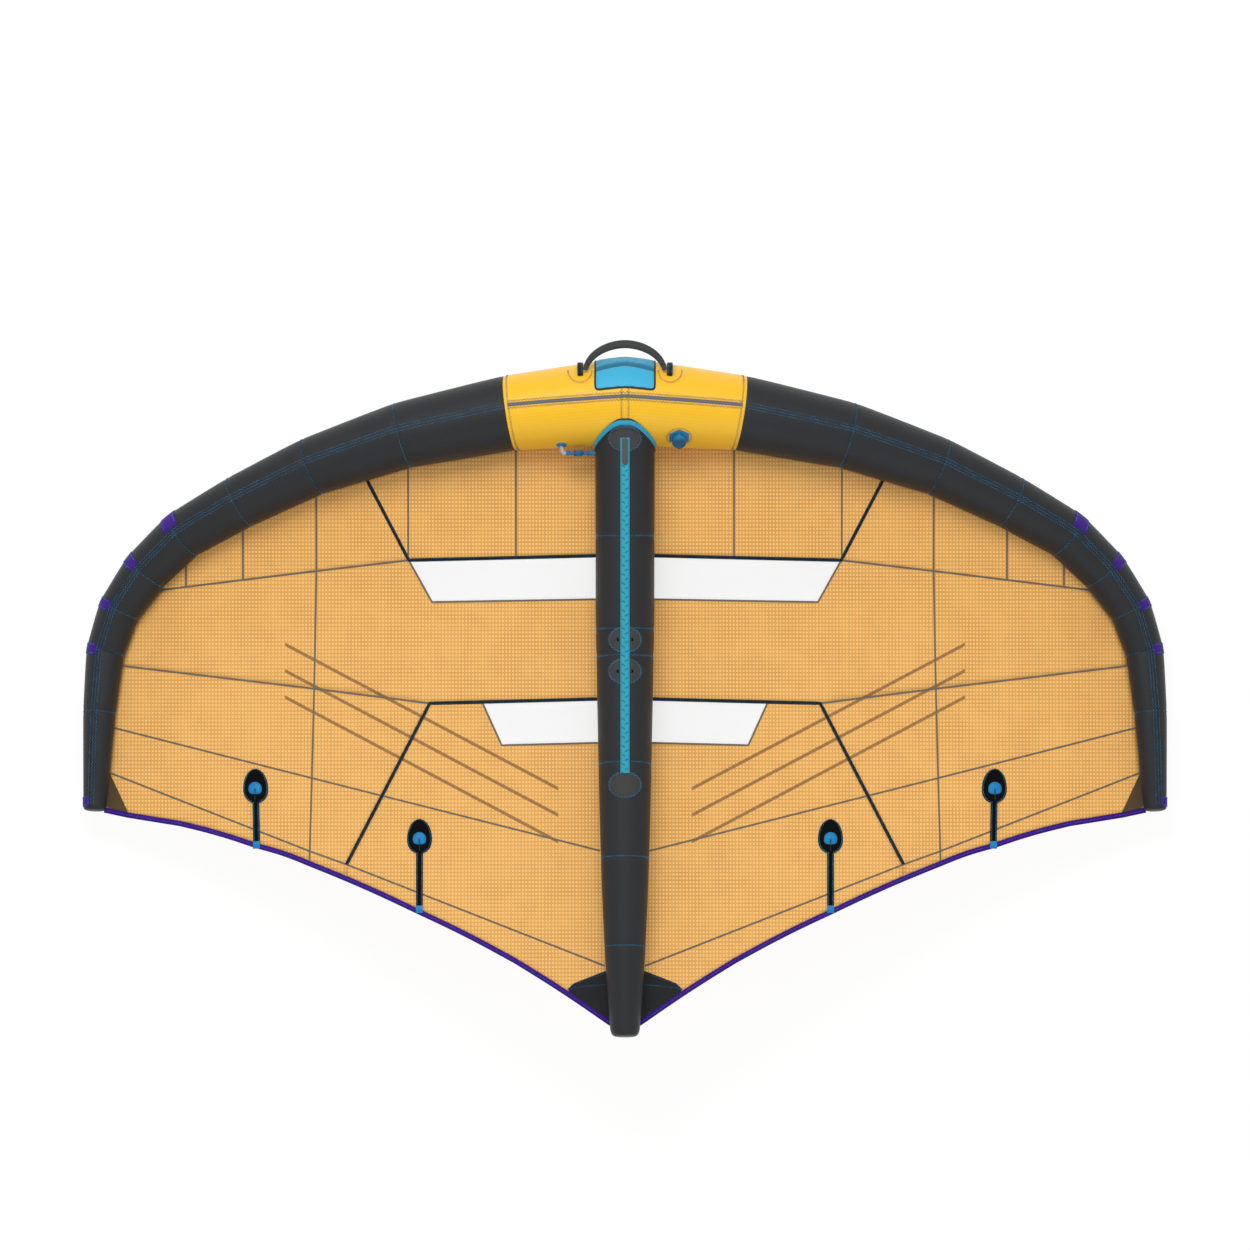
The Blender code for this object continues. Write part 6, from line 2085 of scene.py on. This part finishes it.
    def build_piping(self) -> None:
        """Make the black piping round the pad's two sides and rear edge."""
        tube = self.form.leading
        u, v, _, _ = self.pad_places(70, 60)
        u_line = np.concatenate([u[:, 0], u[-1, 1:-1], u[::-1, -1]])
        v_line = np.concatenate([v[:, 0], v[-1, 1:-1], v[::-1, -1]])
        line = tube.surface(u_line, v_line, 0.0022)
        run = run_of(line)
        even = np.linspace(0.0, 1.0, int(run[-1] / 0.004))
        normals = unit(read_at(tube.normal(u_line, v_line), line, even))
        line = read_at(line, line, even)
        for _ in range(4):
            line[1:-1] = (line[:-2] + line[1:-1] * 2.0 + line[2:]) / 4.0
        sides, tops = frames_of(line, normals)
        stock = Stock()
        carried(stock, line, sides, tops, oval(0.0056, 0.0048, 12))
        dress("cover_piping", stock.mesh("cover_piping"), self.finishes.piping)

    def handle_line(self, count: int) -> tuple[Array, Array]:
        """The handle's arc through its two feet, and each point's share of the half turn.

        Between the top and the feet the arc is a little wider than a circle's.
        """
        low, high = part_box("le_handle")
        height = (low.z + high.z) / 2.0
        half, reach = self.handle_half, self.handle_reach
        radius = (half ** 2 + reach ** 2) / (2.0 * reach)
        limit = math.asin(half / radius)
        if reach > radius:
            limit = math.pi - limit
        turn = np.linspace(-limit, limit, count)
        foot_y = self.form.nose_y + self.handle_forward
        fuller = 1.0 + self.handle_fullness * np.sin(np.abs(turn / limit) * math.pi)
        line = np.stack([radius * np.sin(turn) * fuller,
                         foot_y + reach - radius * (1.0 - np.cos(turn)),
                         np.full(count, height)], axis=1)
        return line, turn / limit

    def build_handle(self) -> None:
        """Make the covered webbing handle and the stitching along its cover."""
        line, turn = self.handle_line(121)
        swell = self.foot_share + (1.0 - self.foot_share) * np.cos(turn * math.pi / 2.0) ** 0.6
        tops = np.broadcast_to(UP, line.shape)
        sides, tops = frames_of(line, tops)
        profile = oval(self.handle_width, self.handle_thickness, 28, 0.82)
        stock = Stock()
        carried(stock, line, sides, tops, profile, np.maximum(swell, 0.30))
        dress("grab_handle", stock.mesh("grab_handle"), self.finishes.handle,
              ["le_handle"], "handle")
        thread = Stock()
        inside = np.abs(turn) < 0.90
        for offset in (-0.22, 0.22):
            path = line + sides * (offset * self.handle_width * swell)[:, None]
            path = path + tops * (self.handle_thickness * 0.478 * swell)[:, None]
            Stitch(0.0, 0.0090, 0.0008).sew(thread, path[inside], tops[inside])
        for end in (-0.86, 0.86):
            at = int(np.argmin(np.abs(turn - end)))
            across = np.linspace(-0.30, 0.30, 7)
            bar = line[at] + sides[at] * (across * self.handle_width * swell[at])[:, None]
            bar = bar + tops[at] * (self.handle_thickness * 0.49 * swell[at])
            Stitch(0.0026, 0.0030, 0.0009).sew(thread, bar, np.tile(tops[at], (7, 1)))
        dress("handle_thread", thread.mesh("handle_thread"), self.finishes.black_thread,
              body="handle")

    def build_patches(self) -> None:
        """Make the two half-round yellow patches and sew their curved edge."""
        thread = Stock()
        for side in SIDES:
            low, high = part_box(f"handle_patch_{side}")
            centre = ((low.x + high.x) / 2.0, self.form.nose_y + self.handle_forward)
            angle = np.radians(np.linspace(180.0, 360.0, 49))
            share = np.linspace(0.0, 1.0, 15)
            lie = self.form.nose_height(0.0004)
            x = centre[0] + share[:, None] * self.patch_radius * np.cos(angle)[None, :]
            y = centre[1] + share[:, None] * self.patch_radius * np.sin(angle)[None, :]
            base = np.stack([x, y, lie(x, y)], axis=-1)
            over = self.form.nose_height(0.0017)
            top = np.stack([x, y, over(x, y)], axis=-1)
            stock = Stock()
            shell(stock, base, top, False, np.stack([x, y], axis=-1))
            dress(f"handle_base_{side}", stock.mesh(f"handle_base_{side}"), self.finishes.nose,
                  [f"handle_patch_{side}"])
            arc = np.stack([centre[0] + 0.92 * self.patch_radius * np.cos(angle),
                            centre[1] + 0.92 * self.patch_radius * np.sin(angle)], axis=1)
            line, out = line_on(over, arc)
            Stitch(0.0056, 0.0090, 0.0021).sew(thread, line, out)
        dress("handle_patch_thread", thread.mesh("handle_patch_thread"),
              self.finishes.grey_thread)

    def build_tabs(self) -> None:
        """Make the black tabs that hold the handle's feet, with a blue stitch on two edges.

        A tab is a folded strip: its section is a flat oval as high as its node, carried over
        the tube's front.
        """
        thread = Stock()
        for side in SIDES:
            low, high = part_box(f"handle_tab_{side}")
            width = high.x - low.x
            centre_x = (low.x + high.x) / 2.0
            y = np.linspace(low.y + 0.001, high.y - 0.001, 19)
            lie = self.form.nose_height(0.0022)
            base = np.stack([np.full_like(y, centre_x), y, lie(np.full_like(y, centre_x), y)],
                            axis=-1)
            _, normals = line_on(lie, np.stack([np.full_like(y, centre_x), y], axis=1))
            part = np.linspace(-1.0, 1.0, len(y))
            rise = 0.0035 + 0.0125 * np.sqrt(np.clip(1.0 - part ** 2, 0.0, 1.0))
            across = np.linspace(-1.0, 1.0, 9)
            grid = base[:, None, :] + np.array((1.0, 0.0, 0.0)) * (across * width / 2.0)[None, :, None]
            edge = 1.0 - 0.12 * eased(np.abs(across), 0.7, 1.0)
            top = grid + normals[:, None, :] * (rise[:, None] * edge[None, :])[..., None]
            stock = Stock()
            uvs = np.stack(np.broadcast_arrays(y[:, None], across[None, :] * width / 2.0), axis=-1)
            shell(stock, grid, top, False, uvs)
            dress(f"handle_loop_{side}", stock.mesh(f"handle_loop_{side}"), self.finishes.patch,
                  [f"handle_tab_{side}"])
            for column in (1, 7):
                Stitch(0.0020, 0.0040, 0.0009).sew(thread, top[1:-1, column], normals[1:-1])
        dress("loop_thread", thread.mesh("loop_thread"), self.finishes.blue_thread)


@dataclass
class Valve:
    """The inflation valve: hexagonal skirt, round seat, quarter-turn body and hinged cap."""

    form: WingForm
    finishes: Finishes
    reach: float = 0.162
    angle: float = 41.0
    skirt_radius: float = 0.034
    skirt_height: float = 0.0050
    body_radius: float = 0.019
    body_height: float = 0.014
    stem_radius: float = 0.014
    stem_depth: float = 0.012
    cap_radius: float = 0.021
    cap_height: float = 0.006
    gap: float = 0.0004

    def __post_init__(self) -> None:
        """Place the valve's axis on the rear of the nose, through the middle of its body."""
        y, z, radius = self.form.axis_at(np.array(self.reach))
        turn = math.radians(self.angle)
        self.out = np.array((0.0, -math.cos(turn), math.sin(turn)))
        outer = float(radius) / self.form.flat_share
        self.seat = np.array((self.reach, float(y), float(z))) + self.out * outer
        low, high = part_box("valve_body")
        aside = (np.array(low) + np.array(high)) / 2.0 - self.seat
        self.seat = self.seat + aside - self.out * (aside @ self.out)
        self.side = np.array((1.0, 0.0, 0.0))
        self.up = np.cross(self.out, self.side)

    def turned(self, stock: Stock, radii: Array, heights: Array) -> None:
        """Add a turned body about the valve's axis.

        Args:
            stock: What the body is added to.
            radii: The radius for each row and each angle.
            heights: The height for each row and each angle.
        """
        count = radii.shape[1]
        angle = np.linspace(0.0, 2.0 * math.pi, count, endpoint=False)
        spin = self.side * np.cos(angle)[:, None] + self.up * np.sin(angle)[:, None]
        points = self.seat + spin[None] * radii[..., None] + self.out * heights[..., None]
        faces = grid_faces(len(radii), count, True)
        faces.append(list(range(count))[::-1])
        faces.append([(len(radii) - 1) * count + corner for corner in range(count)])
        stock.add(points, faces)

    def build(self) -> None:
        """Make the skirt, the body and the cap."""
        self.build_skirt()
        self.build_body()
        self.build_cap()

    def build_skirt(self) -> None:
        """Make the skirt: a soft hexagon that follows the tube, its seat ring and stitching.

        The seat ring in its middle is flat, square to the valve's axis.

        A hexagon's radius is its inner radius over the cosine of the angle within one side.
        """
        count = 72
        angle = np.linspace(0.0, 2.0 * math.pi, count, endpoint=False)
        within = (angle + math.pi / 6.0) % (math.pi / 3.0) - math.pi / 6.0
        hexagon = np.cos(math.pi / 6.0) / np.cos(within) * self.skirt_radius
        share = np.array((0.44, 0.50, 0.60, 0.75, 0.90, 0.97, 1.0))
        spin = self.side * np.cos(angle)[:, None] + self.up * np.sin(angle)[:, None]
        radii = share[:, None] * hexagon[None, :]
        radii[0] = self.stem_radius + 0.0018
        radii[1] = self.body_radius * 0.98
        flat = self.seat + spin[None] * radii[..., None]
        axis_y, axis_z, radius = self.form.axis_at(flat[..., 0])
        away = np.stack([np.zeros_like(axis_y), flat[..., 1] - axis_y, flat[..., 2] - axis_z], axis=-1)
        surface = flat - away + unit(away) * (radius + 0.0006)[..., None]
        rise = np.array((0.0042, 0.0044, 0.0030, 0.0026, 0.0024, 0.0018, 0.0010))
        top = surface + unit(away) * rise[:, None, None]
        top[:2] = flat[:2] + self.out * (self.skirt_height - 0.0004)
        stock = Stock()
        shell(stock, surface, top, True)
        dress("valve_skirt", stock.mesh("valve_skirt"), self.finishes.blue_plastic,
              ["valve_flange"])
        thread = Stock()
        turn = np.linspace(0.0, 2.0 * math.pi, 90)
        spin = self.side * np.cos(turn)[:, None] + self.up * np.sin(turn)[:, None]
        ring = self.seat + spin * (self.skirt_radius * 1.10)
        axis_y, axis_z, radius = self.form.axis_at(ring[:, 0])
        away = np.stack([np.zeros_like(axis_y), ring[:, 1] - axis_y, ring[:, 2] - axis_z], axis=-1)
        line = ring - away + unit(away) * radius[:, None]
        Stitch(0.0044, 0.0058, 0.0012).sew(thread, line, unit(away))
        dress("valve_thread", thread.mesh("valve_thread"), self.finishes.grey_thread)

    def build_body(self) -> None:
        """Make the body: a stem, a wide rim and a grip whose radius has twelve flutes."""
        count = 96
        angle = np.linspace(0.0, 2.0 * math.pi, count, endpoint=False)
        flute = 1.0 - 0.05 * (0.5 + 0.5 * np.cos(12.0 * angle)) ** 3
        low = self.skirt_height + self.gap
        rows = ((self.stem_radius * 0.96, -self.stem_depth, False),
                (self.stem_radius, -self.stem_depth + 0.001, False),
                (self.stem_radius, low, False), (self.body_radius * 0.97, low, False),
                (self.body_radius, low + 0.001, False), (self.body_radius, low + 0.003, True),
                (self.body_radius * 0.97, low + 0.004, True),
                (self.body_radius * 0.97, low + self.body_height - 0.002, True),
                (self.body_radius * 0.93, low + self.body_height, False))
        radii = np.stack([radius * (flute if fluted else np.ones(count))
                          for radius, _, fluted in rows])
        heights = np.stack([np.full(count, height) for _, height, _ in rows])
        stock = Stock()
        self.turned(stock, radii, heights)
        dress("valve_grip", stock.mesh("valve_grip"), self.finishes.blue_plastic,
              ["valve_body"], "valve")

    def build_cap(self) -> None:
        """Make the hinged cap: a low dome with a knurled rim and a finger tab."""
        count = 96
        angle = np.linspace(0.0, 2.0 * math.pi, count, endpoint=False)
        low = self.skirt_height + self.body_height + 2.0 * self.gap
        knurl = 1.0 - 0.025 * (0.5 + 0.5 * np.cos(32.0 * angle))
        tab = 1.0 + 0.24 * np.exp(-((angle - 1.5 * math.pi) / 0.26) ** 2)
        rows = ((0.96, 0.0, 1.0), (1.0, 0.12, 1.0), (1.0, 0.55, 1.0), (0.95, 0.78, 0.6),
                (0.80, 0.90, 0.0), (0.62, 0.86, 0.0), (0.50, 0.72, 0.0), (0.30, 0.70, 0.0),
                (0.10, 0.74, 0.0))
        radii = np.stack([self.cap_radius * share * (1.0 + (knurl * tab - 1.0) * rough)
                          for share, _, rough in rows])
        heights = np.stack([np.full(count, low + self.cap_height * rise) for _, rise, _ in rows])
        stock = Stock()
        self.turned(stock, radii, heights)
        dress("valve_lid_cap", stock.mesh("valve_lid_cap"), self.finishes.dark_plastic,
              ["valve_cap"], "valve_lid")


@dataclass
class AirHose:
    """The hose from the leading edge to the strut: ports, elbow, collars and pinch clip."""

    form: WingForm
    finishes: Finishes
    hose_radius: float = 0.0050
    port_radius: float = 0.0075
    flange_radius: float = 0.016
    flange_height: float = 0.004

    def build(self) -> None:
        """Make the hose and what holds it, each in the place of its node."""
        self.low, self.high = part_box("air_hose")
        self.build_hose()
        self.build_elbow()
        self.build_ports()
        self.build_clip()

    def line(self, count: int) -> Array:
        """The hose's middle line: straight between its ends with a small even sag."""
        share = np.linspace(0.0, 1.0, count)
        top = self.high.z - self.hose_radius * 0.966
        middle_y = (self.low.y + self.high.y) / 2.0
        sag = self.high.z - self.low.z - 2.0 * self.hose_radius * 0.966
        return np.stack([self.low.x + (self.high.x - self.low.x) * share,
                         np.full(count, middle_y),
                         top - max(sag, 0.0) * np.sin(math.pi * share) ** 2], axis=1)

    def rod(self, stock: Stock, line: Array, radii: Array) -> None:
        """Add a round rod whose radius changes along its line."""
        tangent = unit(np.gradient(line, axis=0))
        helper = np.where(np.abs(tangent[:, 2:]) > 0.9, np.array((1.0, 0.0, 0.0)), UP)
        side = unit(np.cross(helper, tangent))
        carried(stock, line, side, np.cross(tangent, side), oval(2.0, 2.0, 24), radii)

    def build_hose(self) -> None:
        """Make the blue hose with its blue collar at each end."""
        line = self.line(40)
        stock = Stock()
        self.rod(stock, line, np.full(40, self.hose_radius * 0.96))
        dress("hose", stock.mesh("hose"), self.finishes.blue_hose, ["air_hose"])
        for name, first, last in (("hose_collar_left", 0, 7), ("hose_collar_right", 34, 39)):
            part = read_at(line[first:last + 1], line[first:last + 1], np.linspace(0.0, 1.0, 14))
            ribs = 1.0 + 0.09 * np.cos(np.linspace(0.0, 6.0 * math.pi, 14))
            collar = Stock()
            self.rod(collar, part, self.hose_radius * 1.34 * ribs)
            dress(name, collar.mesh(name), self.finishes.blue_plastic)

    def build_elbow(self) -> None:
        """Make the clear elbow: a quarter bend out of the port and into the hose."""
        low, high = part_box("le_port_elbow")
        port_low, port_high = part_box("le_port_flange")
        end = np.array((self.low.x - 0.0004, (self.low.y + self.high.y) / 2.0,
                        self.high.z - self.hose_radius * 0.966))
        start = np.array(((port_low.x + port_high.x) / 2.0, high.y - 0.003, end[2] - 0.0045))
        corner = np.array((start[0], end[1], end[2]))
        share = np.linspace(0.0, 1.0, 36)[:, None]
        bend = ((1.0 - share) ** 3 * start + 3.0 * share * (1.0 - share) ** 2
                * (start * 0.25 + corner * 0.75) + 3.0 * share ** 2 * (1.0 - share)
                * (corner * 0.75 + end * 0.25) + share ** 3 * end)
        flare = 1.0 + 0.14 * eased(share[:, 0], 0.86, 0.90)
        stock = Stock()
        self.rod(stock, bend, self.port_radius * 0.96 * flare)
        dress("hose_elbow", stock.mesh("hose_elbow"), self.finishes.hose,
              ["le_port_elbow"])

    def build_ports(self) -> None:
        """Make the round port on the leading edge and the ribbed port on the strut."""
        low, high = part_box("le_port_flange")
        centre_x = (low.x + high.x) / 2.0
        axis_y, axis_z, radius = (float(part) for part in self.form.axis_at(np.array(centre_x)))
        height = self.high.z - self.hose_radius
        reach = math.sqrt(radius ** 2 - (height - axis_z) ** 2)
        out = np.array((0.0, -reach / radius, (height - axis_z) / radius))
        seat = np.array((centre_x, axis_y, axis_z)) + out * radius
        line = seat + out * np.array((-0.004, 0.0006, 0.0016, 0.0030, 0.0038, 0.0044))[:, None]
        radii = self.flange_radius * np.array((0.98, 0.98, 0.97, 0.86, 0.62, 0.58))
        stock = Stock()
        self.rod(stock, line, radii)
        dress("hose_port", stock.mesh("hose_port"), self.finishes.blue_plastic,
              ["le_port_flange"])
        low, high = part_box("strut_port")
        count = 30
        run = np.stack([np.linspace(low.x, high.x, count),
                        np.full(count, (low.y + high.y) / 2.0),
                        np.full(count, (low.z + high.z) / 2.0)], axis=1)
        ribs = 1.0 - 0.10 * (0.5 + 0.5 * np.cos(np.linspace(0.0, 10.0 * math.pi, count)))
        port = Stock()
        self.rod(port, run, self.port_radius * 0.97 * ribs)
        dress("strut_hose_port", port.mesh("strut_hose_port"), self.finishes.blue_plastic,
              ["strut_port"])

    def build_clip(self) -> None:
        """Make the pinch clip: a leaf-shaped base and the lever over it."""
        for name, node, body in (("clip_shell", "clip_base", "wing"),
                                 ("clip_arm_leaf", "clip_lever", "clip_arm")):
            low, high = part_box(node)
            length, width = high.x - low.x, high.y - low.y
            share = np.linspace(0.0, 1.0, 33)
            leaf = 0.52 + 0.48 * np.sin(math.pi * np.clip(share * 1.06, 0.0, 1.0)) ** 0.6
            across = np.linspace(-1.0, 1.0, 15)
            x = low.x + length * share[:, None] * np.ones((1, 15))
            y = (low.y + high.y) / 2.0 + width / 2.0 * leaf[:, None] * across[None, :]
            if body == "wing":
                bottom = np.full_like(x, low.z)
                rise = np.full_like(x, 0.0033)
            else:
                bottom = np.full_like(x, low.z + 0.0002)
                rise = 0.0030 - 0.0010 * np.abs(across)[None, :] ** 2 * np.ones((33, 1))
                grips = 0.0005 * np.cos(share * 60.0)[:, None] * eased(share, 0.45, 0.6)[:, None]
                rise = rise + grips
            base = np.stack([x, y, bottom], axis=-1)
            stock = Stock()
            shell(stock, base, base + UP * rise[..., None])
            if body == "wing":
                self.clip_post(stock, low, high)
            dress(name, stock.mesh(name), self.finishes.dark_plastic, [node],
                  body)

    def clip_post(self, stock: Stock, low: Any, high: Any) -> None:
        """Add the clip's post on each side of the hose."""
        for sign in SIDES.values():
            middle = (low.y + high.y) / 2.0 + sign * 0.0076
            y = middle + np.array((-0.0016, 0.0016))
            x = np.array((low.x + 0.0002, low.x + 0.0046))
            base = np.stack(np.broadcast_arrays(x[:, None], y[None, :], low.z + 0.001), axis=-1)
            top = base.copy()
            top[..., 2] = high.z - 0.0002
            shell(stock, base, top)


@dataclass
class Studio:
    """The floor, the soft light and the camera that looks straight down."""

    frame_width: float = 3.75
    lens: float = 800.0
    sensor: float = 36.0
    level: float = 0.15
    centre_y: float = 0.1888
    zenith: float = 0.40
    horizon: float = 0.78
    floor_glow: float = 0.88
    floor_level: float = -0.0016

    def build(self) -> None:
        """Make the floor, the world, the lamps and the camera."""
        self.build_floor()
        self.build_world()
        self.build_lamp("front_light", (-0.8, 4.4, 6.4), (4.5, 3.0), 330.0)
        self.build_lamp("rear_light", (1.2, -4.6, 5.2), (5.0, 3.0), 75.0)
        self.build_camera()

    def build_floor(self) -> None:
        """Make the pale floor, which glows for the camera and still keeps soft shadows."""
        half = 30.0
        mesh = bpy.data.meshes.new("floor")
        corners = [(x, y, self.floor_level) for x, y in ((-half, -half), (half, -half),
                                                         (half, half), (-half, half))]
        mesh.from_pydata(corners, [], [(0, 1, 2, 3)])
        nodes = Nodes("floor")
        grain = nodes.noise(nodes.place(Pattern.SPACE), 0.02)
        pale = nodes.blend(grain, (0.90, 0.90, 0.90, 1.0), (0.93, 0.93, 0.93, 1.0))
        nodes.finish(pale, 0.9)
        glow = nodes.new("Emission", {"Color": (1.0, 1.0, 1.0, 1.0), "Strength": 1.04})
        seen = nodes.new("LightPath")
        looked = nodes.math("MAXIMUM", seen.outputs["Is Camera Ray"],
                            nodes.math("MAXIMUM", seen.outputs["Is Glossy Ray"],
                                       seen.outputs["Is Transmission Ray"]))
        share = nodes.math("MULTIPLY", looked, self.floor_glow)
        mix = nodes.new("MixShader", {0: share, 1: nodes.shader.outputs[0], 2: glow.outputs[0]})
        nodes.put(nodes.tree.nodes["Material Output"].inputs["Surface"], mix.outputs[0])
        floor = bpy.data.objects.new("floor", mesh)
        mesh.materials.append(nodes.material)
        bpy.context.scene.collection.objects.link(floor)

    def build_world(self) -> None:
        """Make the white world: full for what is looked at, and as light weaker overhead."""
        world = bpy.data.worlds.new("studio")
        world.use_nodes = True
        bpy.context.scene.world = world
        tree = world.node_tree
        back = tree.nodes["Background"]
        back.inputs["Color"].default_value = (1.0, 1.0, 1.0, 1.0)
        place = tree.nodes.new("ShaderNodeTexCoord")
        parts = tree.nodes.new("ShaderNodeSeparateXYZ")
        level = tree.nodes.new("ShaderNodeMapRange")
        level.inputs[3].default_value = self.horizon
        level.inputs[4].default_value = self.zenith
        path = tree.nodes.new("ShaderNodeLightPath")
        seen, through, total = (tree.nodes.new("ShaderNodeMath") for _ in range(3))
        seen.operation = through.operation = total.operation = "MAXIMUM"
        for output, target in ((place.outputs["Generated"], parts.inputs[0]),
                               (parts.outputs[2], level.inputs[0]),
                               (path.outputs["Is Camera Ray"], seen.inputs[0]),
                               (path.outputs["Is Glossy Ray"], seen.inputs[1]),
                               (seen.outputs[0], through.inputs[0]),
                               (path.outputs["Is Transmission Ray"], through.inputs[1]),
                               (through.outputs[0], total.inputs[0]),
                               (level.outputs[0], total.inputs[1]),
                               (total.outputs[0], back.inputs["Strength"])):
            tree.links.new(output, target)

    def build_lamp(self, name: str, place: tuple[float, float, float],
                   size: tuple[float, float], power: float) -> None:
        """Make one soft area lamp that faces the middle of the wing."""
        lamp = bpy.data.lights.new(name, "AREA")
        lamp.shape = "RECTANGLE"
        lamp.size, lamp.size_y = size
        lamp.energy = power
        made = bpy.data.objects.new(name, lamp)
        bpy.context.scene.collection.objects.link(made)
        made.location = place
        direction = np.array((0.0, 0.1, 0.3)) - np.array(place)
        flat = math.hypot(direction[0], direction[1])
        made.rotation_euler = (math.atan2(flat, -direction[2]), 0.0,
                               math.atan2(-direction[0], direction[1]))

    def build_camera(self) -> None:
        """Make the camera straight above the wing, with the span across the picture."""
        camera = bpy.data.cameras.new("camera")
        camera.lens = self.lens
        camera.sensor_width = self.sensor
        camera.clip_end = 200.0
        made = bpy.data.objects.new("camera", camera)
        bpy.context.scene.collection.objects.link(made)
        distance = self.frame_width * self.lens / self.sensor
        made.location = (0.0, self.centre_y, self.level + distance)
        bpy.context.scene.camera = made


def dress_hidden_nodes(finishes: Finishes) -> None:
    """Give every frame node that still shows a material of this scene."""
    for name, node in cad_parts.items():
        if node.hide_render:
            continue
        for slot in node.material_slots:
            slot.material = finishes.dark_plastic
        LOG.info("frame node %s keeps its shape", name)


def main() -> None:
    """Build the wing piece by piece, then the studio."""
    logging.basicConfig(level=logging.INFO, format="%(message)s")
    bpy.context.scene.view_settings.view_transform = "Standard"
    finishes = Finishes()
    form = WingForm()
    for maker in (LeadingEdge, Strut, Canopy, Battens, NoseFittings, Valve, AirHose):
        maker(form, finishes).build()
        LOG.info("%s is done", maker.__name__)
    dress_hidden_nodes(finishes)
    Studio().build()


if __name__ == "__main__":
    main()
